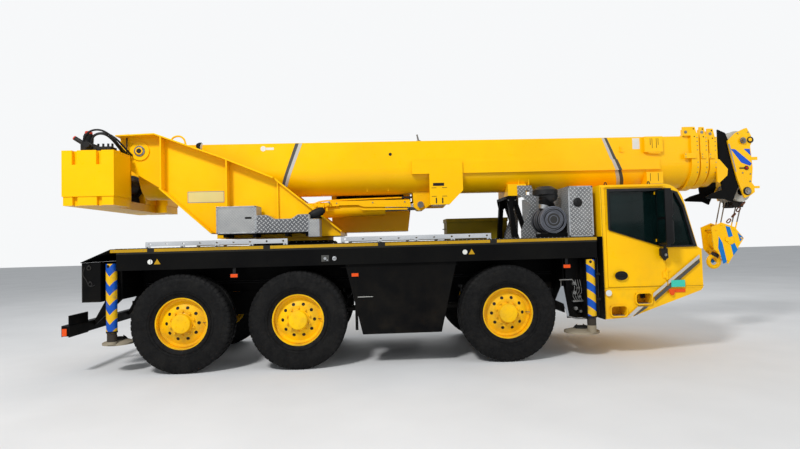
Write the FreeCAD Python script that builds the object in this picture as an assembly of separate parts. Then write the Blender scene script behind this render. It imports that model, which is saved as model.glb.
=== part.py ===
import FreeCAD, Part
import math
import os

Vector = FreeCAD.Vector

# Three-axle mobile crane with a telescopic boom, stowed for the road. Millimetres.
# X runs to the nose from the rear axle, +Y to the crane's left, Z up from the ground.
# The finished shapes are moved back by X_MIDDLE, so the frame's origin is on the ground at mid length.

# Overall
HALF_WIDTH = 1275.0
TAIL_X = -1632.0
LAMP_T = 12.0
TIP_X = 9020.0
X_MIDDLE = (TAIL_X + TIP_X) / 2
SEAT = 0.3
RUN = 0.08
CLEAR = 6.0

# Wheels and axles
AXLE_X = {"rear": 0.0, "mid": 1601.0, "front": 4563.0}
STEERED = ("rear", "front")
SIDES = {"right": -1, "left": 1}
TYRE_R = 685.0
TYRE_W = 385.0
TYRE_Y = HALF_WIDTH - TYRE_W / 2 + 0.5
TYRE_TREAD_W = 330.0
RIM_FLANGE_R = 360.0
RIM_WALL = 16.0
RIM_W = 290.0
DISC_R = 300.0
DISC_HOLE_R = 17.0
DISC_HOLES = 10
DISC_HOLE_CIRCLE_R = 222.0
DISC_DEPTH = 95.0
HUB_R = 112.0
HUB_OUT_Y = HALF_WIDTH - 13.0
KINGPIN_Y = TYRE_Y - 215.0
KINGPIN_R = 38.0
KNUCKLE_R = 96.0
KNUCKLE_H = 250.0
STUB_R = 58.0
AXLE_BEAM_R = 92.0
DIFF_R = 205.0
DIFF_W = 250.0
TYRE_BULGE_R = 560.0
DISC_STEP_R = 196.0
DISC_RIM_OUT = 52.0
HUB_IN = -70.0
HUB_BLIND = 125.0
STEER_ARM = 230.0
STEER_ARM_W = 50.0
STEER_ARM_T = 36.0
FORK_T = 40.0
FORK_WEB_Y = KINGPIN_Y - 106.0
STRUT_Y = 530.0
STRUT_R = 55.0
STRUT_TOP_Z = 1300.0
STRUT_SHELF_T = 45.0

# Carrier frame
FRAME_HALF_W = 430.0
FRAME_BOTTOM_Z = 1045.0
FRAME_TOP_Z = 1560.0
FRAME_REAR_X = -1330.0
FORK_X = 3950.0
FRAME_RAIL_T = 90.0
TAIL_BOX_LEN = 250.0
TAIL_BOX_HALF_W = HALF_WIDTH - 35.0
TAIL_BOX_LOW_Z = 1020.0
UNDERRUN_X = TAIL_X + LAMP_T
UNDERRUN_T = 110.0
UNDERRUN_Z = (560.0, 700.0)
UNDERRUN_ARM_Y = 520.0
UNDERRUN_ARM_T = 40.0
UNDERRUN_ARM_UP = 60.0

# Deck
DECK_TOP_Z = 1740.0
DECK_PLATE = 8.0
DECK_FRONT_X = 5870.0
DECK_SLOPE_X = -930.0
DECK_BAND_LOW_Z = 1440.0
SLOPE_END_X = -1330.0
SLOPE_END_Z = 1570.0
BAND_T = 30.0
BAND_REAR_X = -850.0
BAND_FRONT_X = 5690.0
CROSS_MEMBER_X = (-820.0, 2420.0, 3700.0, 5400.0)
RAIL_SPANS = ((-540.0, 1450.0), (2210.0, 4390.0))
RAIL_FOOT = 60.0
RAIL_FEET = 5
RAIL_HOLE_R = 14.0
RAIL_HOLES = 9
TANK_TOP_Z = FRAME_TOP_Z - 5.0
TANK_LOW_Z = 455.0
TANK_OUTLINE = [
    (AXLE_X["mid"] + 649.0, TANK_TOP_Z), (AXLE_X["front"] - 688.0, TANK_TOP_Z),
    (AXLE_X["front"] - 953.0, TANK_LOW_Z), (AXLE_X["mid"] + 899.0, TANK_LOW_Z),
]
TANK_OUT_Y = HALF_WIDTH - 35.0
TANK_IN_Y = HALF_WIDTH - 395.0
TANK_ARM = 60.0
TANK_ARM_X = (AXLE_X["mid"] + 1099.0, AXLE_X["front"] - 1113.0)
TANK_ARM_Z = (1180.0, 1320.0)
ENGINE_X = (4850.0, 5600.0)
ENGINE_HALF_W = 300.0
ENGINE_Z = (940.0, 1550.0)
ENGINE_MOUNT_X = (5100.0, 5220.0)
ENGINE_MOUNT_Z = (FRAME_BOTTOM_Z + 60, FRAME_BOTTOM_Z + 160)
GEARBOX_X = 4080.0
GEARBOX_HALF_W = 190.0
GEARBOX_LOW_Z = 960.0
GEARBOX_TOP_Z = (1300.0, 1200.0)
DROP_X = (4100.0, 4290.0)
SHAFT_R = 45.0
SHAFT_FLANGE_R = 80.0
SHAFT_FLANGE_T = 40.0
RAIL_Y = HALF_WIDTH - 195.0
RAIL_H = 65.0
RAIL_T = 25.0
RAIL_LOW_Z = 1765.0

# Outriggers
LEG_HALF = 70.0
LEG_Y = HALF_WIDTH - 75.0
BEAM_W = 170.0
BEAM_H = 196.0
BEAM_WALL = 12.0
BEAM_INNER_Y = LEG_Y - 200.0
BOX_WALL = 18.0
JACK_ROD_R = 45.0
WEAR_PAD_LEN = 120.0
PAD_Y = HALF_WIDTH - 260.0
PAD_T = 60.0
PAD_RIM = 25.0
PAD_TOP_R = 120.0
PAD_SOCKET_R = 62.0
LEGS = {
    # end: leg x, leg bottom z, leg top z, first beam's underside z, pad x, pad low z, pad radius
    "rear": (-950.0, 590.0, 1540.0, 1062.0, -950.0, 410.0, 205.0),
    "front": (5780.0, 580.0, 1415.0, 960.0, 5700.0, 345.0, 250.0),
}

# Slewing ring
SLEW_X = 1400.0
SLEW_R = 620.0
SLEW_SPLIT_Z = 1800.0
TURNTABLE_Z = 1860.0
TURNTABLE_T = 70.0

# Boom
PIVOT_X = -810.0
PIVOT_Z = 3210.0
PIVOT_PIN_R = 55.0
BOOM_TOP_Z = 3335.0
BOOM_HALF_W = 380.0
BOOM_ARC_Z = 2900.0
BOOM_WALL = 10.0
BOOM_STEP = 30.0
BOOM_TAIL_X = -930.0
BOOM_END_X = 7980.0

# Superstructure side plates
PLATE_TAIL_Z = PIVOT_Z - 200.0
PLATE_IN_Y = 556.0
PLATE_T = 40.0
PLATE_OUTLINE = [
    # x, z from the rear top corner round by the foot
    (-1100.0, 3430.0), (-540.0, 3450.0), (440.0, 3080.0), (1200.0, 2760.0),
    (2200.0, 1930.0), (280.0, 1930.0), (-480.0, 2620.0), (-1100.0, PLATE_TAIL_Z),
]
FLANGE_OUT = 60.0
FLANGE_T = 22.0

# Counterweight
CW_REAR_X = -1620.0
CW_FRONT_X = -910.0
CW_NOTCH_X = -1100.0 - SEAT
CW_NOTCH_Y = 700.0
CW_HALF_W = HALF_WIDTH - 75.0
CW_LOW_Z = 2360.0
CW_SPLIT_Z = CW_LOW_Z + 125.0
CW_TOP_Z = PLATE_TAIL_Z + 120.0
CW_STEP_TOP_Z = CW_TOP_Z - 0.23 * (CW_TOP_Z - CW_SPLIT_Z)
CW_STEP_Y = 520.0
CW_GAP_Y = 250.0
CW_SLOT_W = 70.0
CW_SLOT_DEPTH = 60.0
CW_SLOTS_X = (-1480.0, -1150.0)

# Luffing cylinder
BARREL_X = 400.0
BARREL_Z = 2250.0
ROD_EYE_X = 3450.0
ROD_EYE_Z = 2335.0
BARREL_R = 130.0
BARREL_BORE_R = 105.0
ROD_R = 75.0
LUFF_PIN_R = 45.0
LUFF_LUG_T = 50.0
LUFF_LUG_Y = 150.0
PIN_HEAD = 40.0
BARREL_LEN = 2480.0

# Cabs
CAB_REAR_X = 5940.0
CAB_WALL = 45.0
CAB_FLOOR_Z = 1000.0
CAB_ROOF_Z = 2475.0
DOOR_REAR_X = 6015.0
DOOR_FRONT_X = 6865.0
DOOR_LOW_Z = 1010.0
DOOR_TOP_Z = 2430.0
DOOR_GAP = 6.0
HINGE_X = DOOR_FRONT_X + DOOR_GAP / 2
HINGE_R = 14.0
HINGE_PIN_R = 7.0
HINGE_H = 90.0
HINGE_END = 25.0
HINGE_LEAF = 55.0
HINGE_Z = (1120.0, 2200.0)
GLASS_T = 6.0
CABIN_X = (1950.0, 3350.0)
CABIN_Y = (HALF_WIDTH - 613.0, HALF_WIDTH - 43.0)
CABIN_Z = (1935.0, 3400.0)
CABIN_CHIN = 60.0
CABIN_KNEE_Z = 420.0
CABIN_BROW_X = 40.0
CABIN_BROW_Z = 480.0
CABIN_ROOF_X = 260.0
CABIN_BACK_Z = 90.0
CABIN_WALL = 35.0
CABIN_FRONT_RIM = 60.0
CABIN_REAR_RIM = 90.0
CABIN_PANE_IN = 20.0
CABIN_PANE_SET = 15.0

CABIN_DOORWAY = [(2360.0, 1990.0), (2960.0, 1990.0), (2960.0, 3340.0), (2360.0, 3340.0)]
CABIN_DOOR = [(2330.0, 1960.0), (2990.0, 1960.0), (2990.0, 3370.0), (2330.0, 3370.0)]
CABIN_DOOR_WINDOW = [(2390.0, 2420.0), (2930.0, 2420.0), (2930.0, 3310.0), (2390.0, 3310.0)]
CABIN_DOOR_T = 30.0
CABIN_SIDE_WINDOW = [
    (2060.0, 2420.0), (3200.0, 2420.0), (3200.0, 2860.0), (3040.0, 3300.0), (2060.0, 3300.0),
]
CABIN_FRONT_CUT_X = (3180.0, 3400.0)
CABIN_FRONT_CUT_Z = (2380.0, 2900.0)
CABIN_REAR_CUT_Z = (2600.0, 3200.0)
CABIN_SEAT_X = 2560.0

# Superstructure
FLANGED_EDGES = (0, 1, 2, 3, 5)
PLATE_RIBS = (
    # x, foot z, top z
    (-460.0, 2620.0, 3400.0), (500.0, 1931.0, 3040.0), (1230.0, 1931.0, 2720.0),
)
PIVOT_BOSS_R = 140.0
PIVOT_BOSS_T = 20.0
PIVOT_PIN_Y = 640.0
TABLE_X = (320.0, 2180.0)
CROSS_WALLS = ((1180.0, 2020.0), (2060.0, 2010.0))
TAIL_PLATE = [(-370.0, 2490.0), (-340.0, 2490.0), (300.0, 1931.0), (270.0, 1931.0)]
REAR_WALL_Z = (3030.0, 3400.0)
CABIN_ARM_X = (2000.0, 2180.0)
CABIN_ARM_Z = (1880.0, CABIN_Z[0])
CW_SEAM = 12.0
CW_SLOT_LOW_Z = CW_TOP_Z - 0.31 * (CW_TOP_Z - CW_SPLIT_Z)
WINCH_X = -1300.0
WINCH_Z = CW_SPLIT_Z + 275.0
WINCH_R = 150.0
WINCH_FLANGE_R = 195.0
WINCH_HALF_W = 210.0
WINCH_FLANGE_T = 15.0
WINCH_CHEEK_T = 20.0
WINCH_CHEEK_X = (120.0, 70.0)
WINCH_CHEEK_UP = 70.0
SIDE_BOX_Y = (-PLATE_IN_Y - PLATE_T - FLANGE_OUT - 1.0, -PLATE_IN_Y - PLATE_T - FLANGE_OUT - 344.0)
SIDE_BOX_LOW_Z = 1920.0
BOX_ARM_X = (700.0, 1700.0)
BOX_ARM_Z = (1860.0, SIDE_BOX_LOW_Z)
LOCKER_X = (430.0, 1000.0)
LOCKER_Z = (SIDE_BOX_LOW_Z, 2310.0)
SIDE_PANEL = [
    (999.0, SIDE_BOX_LOW_Z), (1760.0, SIDE_BOX_LOW_Z), (1760.0, 2170.0), (1600.0, 2170.0), (1500.0, 2110.0),
    (1250.0, 2110.0), (1150.0, 2170.0), (999.0, 2170.0),
]
SIDE_POST_X = (1750.0, 1900.0)
SIDE_POST_Z = (1850.0, 2100.0)

# Boom sections, head and hook
SECTION_ENDS = (BOOM_END_X, 8150.0, 8320.0, 8520.0)
TELE_TAIL_X = -700.0
TELE_TAIL_STEP = 90.0
COLLAR_LEN = 130.0
COLLAR_GROW = 45.0
PAD_LEN = 260.0
PAD_INSET = 20.0
BOOM_EAR = [(-925.0, 3335.0), (-925.0, 3085.0), (-700.0, 2960.0), (-400.0, 2960.0), (-400.0, 3335.0)]
LUFF_PLATE = [
    # x ahead of the rod's eye, z
    (-140.0, 3010.0), (-140.0, 2800.0), (130.0, 2800.0), (130.0, ROD_EYE_Z - 25.0),
    (440.0, ROD_EYE_Z - 25.0), (660.0, 2530.0), (660.0, 3000.0),
]
LUFF_PLATE_T = 60.0
LUFF_CROSS_X = (ROD_EYE_X + 210.0, ROD_EYE_X + 430.0)
LUFF_CROSS_Z = (ROD_EYE_Z - 5.0, 2560.0)
LUFF_LUG = [
    # x ahead of the rod's eye, z above it
    (-120.0, 235.0), (-110.0, -35.0), (-40.0, -90.0), (40.0, -90.0), (230.0, 45.0), (230.0, 235.0),
]
EAR_BACK = (260.0, 135.0, 155.0)
EAR_FRONT = 60.0
EAR_FOOT = 20.0
EAR_T = 30.0
EAR_TOP_Z = (3478.0, 3478.0, 3456.0)
STOP_OUT = 22.0
STOP_Z = (2965.0, 3050.0)
SECTION_HORN = [
    (8300.0, 2960.0), (8352.0, 2945.0), (8484.0, 2787.0), (8470.0, 2683.0), (8330.0, 2560.0),
    (8300.0, 2580.0),
]
BOOM_FOOT_X = (4850.0, 5150.0)
BOOM_FOOT_Y = 335.0
BOOM_FOOT_Z = 2432.0
BOOM_FOOT_TOP_Z = 2620.0
BOOM_BRACKETS = (
    # x from, x to, z from, z to, reach out from the section's side
    (4090.0, 7340.0, 2805.0, 2975.0, 25.0),
    (7070.0, 7370.0, 3080.0, 3330.0, 60.0),
    (7100.0, 7370.0, 2570.0, 2760.0, 30.0),
)
HEAD_FRAME_T = 27.0
HEAD_FRAME = [
    (8374.0, 3445.0), (8497.0, 3389.0), (8591.0, 3143.0), (8699.0, 2792.0), (8704.0, 2548.0),
    (8563.0, 2250.0), (8459.0, 2300.0), (8160.0, 2317.0), (8130.0, 2345.0), (8240.0, 2400.0),
    (8414.0, 2450.0), (8380.0, 2700.0),
]
HEAD_T = 30.0
HEAD_CHEEK = [
    # x, z from the rear top corner round by the front
    (8517.0, 3253.0), (8659.0, 3383.0), (8815.0, 3455.0), (8850.0, 3460.0), (8915.0, 3340.0),
    (8925.0, 3230.0), (8893.0, 3160.0), (8905.0, 3000.0), (8917.0, 2799.0), (8890.0, 2560.0),
    (8930.0, 2505.0), (8935.0, 2400.0), (8842.0, 2339.0), (8756.0, 2308.0), (8653.0, 2606.0),
    (8585.0, 2900.0),
]
HEAD_LUGS = (
    # reach in x, low z, top z
    (9005.0, 2930.0, 2980.0), (TIP_X, 2465.0, 2500.0),
)
HEAD_LUG_X = 8890.0
HEAD_PIN_R = 40.0
HEAD_PIN_OUT = 30.0
HEAD_SHEAVES = ((8760.0, 3250.0, 190.0), (8800.0, 2420.0, 160.0))
HEAD_FRONT_PIN = (8880.0, 3262.0, 28.0)
SHEAVE_GROOVE = 25.0
SHEAVE_HALF_W = 24.0
GROOVE_HALF_W = 12.0
HEAD_SHEAVE_Y = (-180.0, -60.0, 60.0, 180.0)
HEAD_BACK_Z = (2660.0, 3270.0)
BARREL_EYE_R = 115.0
BARREL_NECK = 200.0
BARREL_NECK_R = 80.0
BARREL_EYE_W = 92.0
BARREL_FLOOR = 230.0
GLAND_T = 60.0
PISTON_START = 270.0
PISTON_T = 90.0
ROD_EYE_R = 85.0
ROD_EYE_W = 90.0
HOOK_X = 8560.0
HOOK_Z = 1640.0
HOOK_HALF_W = 150.0
HOOK_CHEEK_T = 20.0
HOOK_CHEEK = [
    (8300.0, 1850.0), (8480.0, 1920.0), (8700.0, 1840.0), (8850.0, 1650.0), (8560.0, 1230.0),
    (8330.0, 1480.0),
]
HOOK_PIN_R = 40.0
HOOK_PIN_OUT = 20.0
HOOK_SHEAVE_HALF = 25.0
HOOK_SHEAVE_R = 190.0
HOOK_SHEAVE_Y = (-60.0, 60.0)
HOOK_EYE_X = 8410.0
HOOK_EYE_Z = 1270.0
HOOK_RING_R = 92.0
HOOK_BAR_R = 34.0
HOOK_SHANK_R = 45.0
ROPE_R = 10.0
HOOK_ROPES = ((-1, 8490.0, 1780.0), (1, 8740.0, 1700.0))

# Engine housing, air intake, boom rest and stowage box on the deck
HOUSING_X = (5510.0, 5860.0)
HOUSING_Y = HALF_WIDTH - 75.0
HOUSING_TOP_Z = 2470.0
HOUSING_T = 20.0
OUTLET_X = 5640.0
OUTLET_Z = 2330.0
OUTLET_R = 90.0
INTAKE_X = 5250.0
INTAKE_Y = 325.0 - HALF_WIDTH
INTAKE_TOP_Z = 2500.0
HAT_R = 180.0
HAT_H = 120.0
HAT_CROWN_R = HAT_R * 0.6
HAT_CROWN_H = 50.0
NECK_TAPER = 20.0
NECK_R = 85.0
FILTER_X = 5300.0
FILTER_Z = 2000.0
FILTER_R = 193.0
FILTER_FACE_Y = 125.0 - HALF_WIDTH
FILTER_LEN = 480.0
FILTER_CAP_R = FILTER_R / 2
FILTER_EDGE = 10.0
FILTER_DISH = 30.0
SADDLE_HALF = 70.0
SADDLE_IN = 80.0
REST_X = 4850.0
REST_T = 70.0
REST_FOOT_Y = 560.0
REST_HEAD_Y = 330.0
REST_TOP_Z = BOOM_FOOT_Z - 8.0
REST_HEAD_Z = REST_TOP_Z - 42.0
REST_LEG_W = 90.0
REST_BRACE_X = 5180.0
REST_BRACE_W = 70.0
REST_BRACE_T = 60.0
REST_BRACE_IN = 10.0
REST_LIP = 30.0
STORAGE_X = (3980.0, 5060.0)
STORAGE_Y = (REST_FOOT_Y + 60.0, HALF_WIDTH - 235.0)
STORAGE_Z = (DECK_TOP_Z, 2130.0)
STORAGE_LID_OUT = 12.0
STORAGE_LID_H = 60.0

# Driver's cab outline: roof end, a point on the screen's bend, its end, the screen's foot and the chin
CAB_ROOF_END_X = 6900.0
CAB_FRONT_X = 7405.0
CAB_NOSE = ((7075.0, 2395.0), (7170.0, 2230.0), (7345.0, 1560.0), (7405.0, 1520.0))
DOOR_PANEL = [
    (DOOR_REAR_X, DOOR_LOW_Z), (DOOR_FRONT_X, DOOR_LOW_Z), (DOOR_FRONT_X, DOOR_TOP_Z),
    (DOOR_REAR_X, DOOR_TOP_Z),
]
DOOR_OPENING = [
    (DOOR_REAR_X - DOOR_GAP, DOOR_LOW_Z - DOOR_GAP), (DOOR_FRONT_X + DOOR_GAP, DOOR_LOW_Z - DOOR_GAP),
    (DOOR_FRONT_X + DOOR_GAP, DOOR_TOP_Z + DOOR_GAP), (DOOR_REAR_X - DOOR_GAP, DOOR_TOP_Z + DOOR_GAP),
]
DOOR_WINDOW = [(6055.0, 1820.0), (6800.0, 1570.0), (6800.0, 2395.0), (6055.0, 2395.0)]
QUARTER_WINDOW = [(6930.0, 1575.0), (7270.0, 1575.0), (7130.0, 2130.0), (7020.0, 2340.0), (6930.0, 2390.0)]
WINDSCREEN_CUT = [(7190.0, 1620.0), (7440.0, 1620.0), (7290.0, 2330.0), (7000.0, 2330.0)]
WINDSCREEN_HALF_W = HALF_WIDTH - 105.0
CAB_PANE = ((7310.0, 1620.0), (7150.0, 2232.0), (7095.0, 2330.0))
REAR_WINDOW_Y = HALF_WIDTH - 375.0
REAR_WINDOW_Z = (1760.0, 2360.0)
UNDERBODY = [
    (CAB_REAR_X, CAB_FLOOR_Z), (CAB_REAR_X, 555.0), (6320.0, 575.0), (7370.0, 930.0), (7405.0, 970.0),
    (7405.0, CAB_FLOOR_Z),
]
STEP_DEPTH = 210.0
STEPS = ((6400.0, 6630.0, 760.0, 910.0), (6030.0, 6260.0, 600.0, 740.0))
MIRROR_X = (6735.0, 6825.0)
MIRROR_Y = (HALF_WIDTH + 55.0, HALF_WIDTH + 285.0)
MIRROR_Z = (1600.0, 2385.0)
MIRROR_ARM_T = 40.0
MIRROR_ARM_Z = (1640.0, 2320.0)
SEAT_H = 420.0
SEAT_D = 480.0
SEAT_W = 480.0
SEAT_BACK = 700.0
SEAT_BACK_T = 110.0
SEAT_BACK_W = 420.0
SEAT_LEAN = 95.0
CUSHION_HALF_T = 60.0
SEAT_POST_R = 90.0
CAB_SEAT_X = 6380.0
CAB_SEAT_Y = HALF_WIDTH - 625.0
STEER_WHEEL_X = 6960.0
STEER_WHEEL_Z = 1640.0
STEER_WHEEL_R = 225.0
STEER_RIM_R = 14.0
STEER_COLUMN_R = 32.0
DASH_GAP = 8.0
DASH_TOP_Z = 1500.0
DASH_DEPTH = 172.0
DASH_LIP = 272.0
DASH_DROP = 100.0
DASH_FOOT = 152.0

# Lamps: how far out, how wide, and between what heights
HEADLAMP_Y = (790.0, 1010.0)
HEADLAMP_Z = (1030.0, 1150.0)
MARKER_LAMP_X = (6960.0, 7130.0)
MARKER_LAMP_Z = (910.0, 960.0)
TAIL_LAMP_Y = (900.0, 1180.0)
TAIL_LAMP_INSET = 10.0


def block(xs, ys, zs):
    """A box between two x, two y and two z values, in any order."""
    low = [min(pair) for pair in (xs, ys, zs)]
    size = [abs(pair[1] - pair[0]) for pair in (xs, ys, zs)]
    return Part.makeBox(*size, Vector(*low))


def face_of(points):
    """A flat face through the corner points."""
    return Part.Face(Part.makePolygon(points + points[:1]))


def prism_xz(outline, y0, y1):
    """An outline of x and z points, carried from y0 to y1."""
    low, high = min(y0, y1), max(y0, y1)
    return face_of([Vector(x, low, z) for x, z in outline]).extrude(Vector(0, high - low, 0))


def prism_yz(outline, x0, x1):
    """An outline of y and z points, carried from x0 to x1."""
    return face_of([Vector(x0, y, z) for y, z in outline]).extrude(Vector(x1 - x0, 0, 0))


def prism_xy(outline, z0, z1):
    """An outline of x and y points, carried from z0 to z1."""
    return face_of([Vector(x, y, z0) for x, y in outline]).extrude(Vector(0, 0, z1 - z0))


def rod(start, end, radius):
    """A round bar between two points."""
    path = Vector(*end) - Vector(*start)
    return Part.makeCylinder(radius, path.Length, Vector(*start), path)


def tube(start, end, radius, bore):
    """A round tube between two points."""
    return rod(start, end, radius).cut(rod(start, end, bore))


def turned_y(profile, x, y, z, side):
    """A turned piece about a line along Y; the profile holds radius and outward distance."""
    points = [Vector(x + radius, y + side * out, z) for radius, out in profile]
    return face_of(points).revolve(Vector(x, y, z), Vector(0, 1, 0), 360)


def turned_z(profile, x, y):
    """A turned piece about an upright line; the profile holds radius and height."""
    points = [Vector(x + radius, y, z) for radius, z in profile]
    return face_of(points).revolve(Vector(x, y, 0), Vector(0, 0, 1), 360)


def join(*shapes):
    """One solid from pieces that meet or overlap."""
    first, rest = shapes[0], list(shapes[1:])
    return first.fuse(rest).removeSplitter() if rest else first


def both_sides(shape):
    """The shape and its mirror image across the middle of the crane."""
    return [shape, shape.mirror(Vector(0, 0, 0), Vector(0, 1, 0))]


def export(name, *shapes):
    """Writes one sub-part, moved so that the frame's origin is at mid length."""
    solids = [solid for shape in shapes for solid in shape.Solids]
    whole = solids[0] if len(solids) == 1 else Part.makeCompound(solids)
    whole.translate(Vector(-X_MIDDLE, 0, 0))
    whole.exportStep("parts/" + name + ".step")


def tyre(x, side):
    """A tyre out to its tread, with sloped sidewalls."""
    half, tread = TYRE_W / 2, TYRE_TREAD_W / 2
    bore = RIM_FLANGE_R + SEAT
    bead = RIM_W / 2
    profile = [
        (bore, -bead), (bore, bead), (TYRE_BULGE_R, half), (TYRE_R, tread),
        (TYRE_R, -tread), (TYRE_BULGE_R, -half),
    ]
    return turned_y(profile, x, side * TYRE_Y, TYRE_R, side)


def rim(x, side):
    """A rim with a dished disc, hand holes and a hub drum that stands out."""
    y = side * TYRE_Y
    half = RIM_W / 2
    inner = RIM_FLANGE_R - RIM_WALL
    hub_out = HUB_OUT_Y - TYRE_Y
    bore = STUB_R + RUN
    profile = [
        (0, hub_out), (HUB_R, hub_out), (HUB_R, DISC_DEPTH), (DISC_STEP_R, DISC_DEPTH),
        (DISC_R, DISC_RIM_OUT), (inner, DISC_RIM_OUT), (inner, half), (RIM_FLANGE_R, half),
        (RIM_FLANGE_R, -half), (inner, -half), (inner, DISC_RIM_OUT - RIM_WALL),
        (DISC_R, DISC_RIM_OUT - RIM_WALL), (DISC_STEP_R, DISC_DEPTH - RIM_WALL),
        (HUB_R, DISC_DEPTH - RIM_WALL), (HUB_R, HUB_IN), (bore, HUB_IN), (bore, HUB_BLIND), (0, HUB_BLIND),
    ]
    wheel = turned_y(profile, x, y, TYRE_R, side)
    holes = []
    for number in range(DISC_HOLES):
        angle = 2 * math.pi * number / DISC_HOLES
        hx = x + DISC_HOLE_CIRCLE_R * math.cos(angle)
        hz = TYRE_R + DISC_HOLE_CIRCLE_R * math.sin(angle)
        holes.append(rod((hx, y, hz), (hx, y + side * half, hz), DISC_HOLE_R))
    return wheel.cut(Part.makeCompound(holes))


def knuckle(x, side):
    """A steering knuckle: a bored post on the kingpin, a stub for the hub and a steering arm."""
    y = side * KINGPIN_Y
    post = rod((x, y, TYRE_R - KNUCKLE_H / 2), (x, y, TYRE_R + KNUCKLE_H / 2), KNUCKLE_R)
    flange = rod((x, y, TYRE_R), (x, side * (TYRE_Y + HUB_IN - CLEAR), TYRE_R), KNUCKLE_R)
    stub = rod((x, y, TYRE_R), (x, side * (TYRE_Y + HUB_BLIND - CLEAR), TYRE_R), STUB_R)
    arm_z = TYRE_R - KNUCKLE_H / 2
    arm = block((x - STEER_ARM, x), (y - STEER_ARM_W / 2, y + STEER_ARM_W / 2), (arm_z, arm_z + STEER_ARM_T))
    bore = rod((x, y, 0), (x, y, 2 * TYRE_R), KINGPIN_R + RUN)
    return join(post, flange, stub, arm).cut(bore)


def steered_end(x, side):
    """The fork at a steered beam's end, with its kingpin."""
    y = side * KINGPIN_Y
    reach = KNUCKLE_H / 2 + SEAT
    pieces = [rod((x, y, TYRE_R - reach - FORK_T), (x, y, TYRE_R + reach + FORK_T), KINGPIN_R)]
    for sign in (-1, 1):
        z = TYRE_R + sign * reach
        eye = rod((x, y, z), (x, y, z + sign * FORK_T), KNUCKLE_R)
        neck = block((x - KNUCKLE_R, x + KNUCKLE_R), (y, side * FORK_WEB_Y), (z, z + sign * FORK_T))
        pieces += [eye, neck]
    web = block(
        (x - KNUCKLE_R, x + KNUCKLE_R), (side * FORK_WEB_Y, side * (FORK_WEB_Y - FORK_T)),
        (TYRE_R - reach - FORK_T, TYRE_R + reach + FORK_T),
    )
    return join(web, *pieces)


def axle(name, x):
    """One axle beam with its drive head, ends and two suspension struts."""
    end_y = FORK_WEB_Y - FORK_T / 2 if name in STEERED else TYRE_Y + HUB_IN - CLEAR
    pieces = [
        rod((x, -end_y, TYRE_R), (x, end_y, TYRE_R), AXLE_BEAM_R),
        rod((x, -DIFF_W / 2, TYRE_R), (x, DIFF_W / 2, TYRE_R), DIFF_R),
    ]
    for side in SIDES.values():
        if name in STEERED:
            pieces.append(steered_end(x, side))
        else:
            pieces.append(rod((x, 0, TYRE_R), (x, side * (TYRE_Y + HUB_BLIND - CLEAR), TYRE_R), STUB_R))
        pieces.append(rod((x, side * STRUT_Y, TYRE_R), (x, side * STRUT_Y, STRUT_TOP_Z - SEAT), STRUT_R))
    return join(*pieces)


def chassis():
    """The carrier's frame: a closed spine that forks round the engine, with its outrigger housings."""
    spine = block((FRAME_REAR_X, FORK_X), (-FRAME_HALF_W, FRAME_HALF_W), (FRAME_BOTTOM_Z, FRAME_TOP_Z))
    pieces = [spine]
    pieces += both_sides(block((FORK_X - 1, CAB_REAR_X), (-FRAME_HALF_W, -FRAME_HALF_W + FRAME_RAIL_T),
                               (FRAME_BOTTOM_Z, FRAME_TOP_Z)))
    for x in AXLE_X.values():
        pieces += both_sides(block((x - STRUT_R, x + STRUT_R), (-FRAME_HALF_W, -STRUT_Y - STRUT_R),
                                   (STRUT_TOP_Z, STRUT_TOP_Z + STRUT_SHELF_T)))
    pieces.append(block((FRAME_REAR_X, FRAME_REAR_X + TAIL_BOX_LEN), (-TAIL_BOX_HALF_W, TAIL_BOX_HALF_W),
                        (TAIL_BOX_LOW_Z, SLOPE_END_Z - DECK_PLATE - 1)))
    pieces += [outrigger_housing(end) for end in LEGS]
    pieces.append(rod((SLEW_X, 0, FRAME_TOP_Z), (SLEW_X, 0, SLEW_SPLIT_Z), SLEW_R))
    pieces += underrun()
    frame = join(*pieces)
    for end in LEGS:
        frame = frame.cut(outrigger_channels(end))
    return frame


def underrun():
    """The bar across the tail, on two arms."""
    bar = block((UNDERRUN_X, UNDERRUN_X + UNDERRUN_T), (-CW_HALF_W, CW_HALF_W), UNDERRUN_Z)
    arm = prism_xz([
        (UNDERRUN_X + UNDERRUN_T - 1, UNDERRUN_Z[1]),
        (UNDERRUN_X + UNDERRUN_T - 1, UNDERRUN_Z[0] + UNDERRUN_ARM_UP),
        (FRAME_REAR_X + TAIL_BOX_LEN, TAIL_BOX_LOW_Z + 1), (FRAME_REAR_X, TAIL_BOX_LOW_Z + 1),
    ], -UNDERRUN_ARM_Y, -UNDERRUN_ARM_Y - UNDERRUN_ARM_T)
    return [bar] + both_sides(arm)


def channel_z(end, side):
    """The underside of a side's beam: the right beam runs under the left one."""
    low = LEGS[end][3]
    return low if side < 0 else low + BEAM_H + 2 * CLEAR + BOX_WALL


def outrigger_housing(end):
    """A box across the frame that holds both beams of one end."""
    x = LEGS[end][0]
    half = BEAM_W / 2 + CLEAR + BOX_WALL
    low = channel_z(end, -1) - CLEAR - BOX_WALL
    high = channel_z(end, 1) + BEAM_H + CLEAR + BOX_WALL
    reach = LEG_Y - LEG_HALF - CLEAR
    return block((x - half, x + half), (-reach, reach), (low, high))


def outrigger_channels(end):
    """The two hollows that the beams slide in, with a wear pad left under each beam's mouth."""
    x = LEGS[end][0]
    half = BEAM_W / 2 + CLEAR
    hollows = []
    for side in SIDES.values():
        low = channel_z(end, side)
        hollow = block((x - half, x + half), (-side * (BEAM_INNER_Y + CLEAR), side * HALF_WIDTH),
                       (low - CLEAR, low + BEAM_H + CLEAR))
        mouth = LEG_Y - LEG_HALF - CLEAR
        pad_y = (side * (mouth - WEAR_PAD_LEN), side * mouth)
        pad = block((x - half, x + half), pad_y, (low - CLEAR, low - SEAT))
        hollows.append(hollow.cut(pad))
    return Part.makeCompound(hollows)


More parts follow.
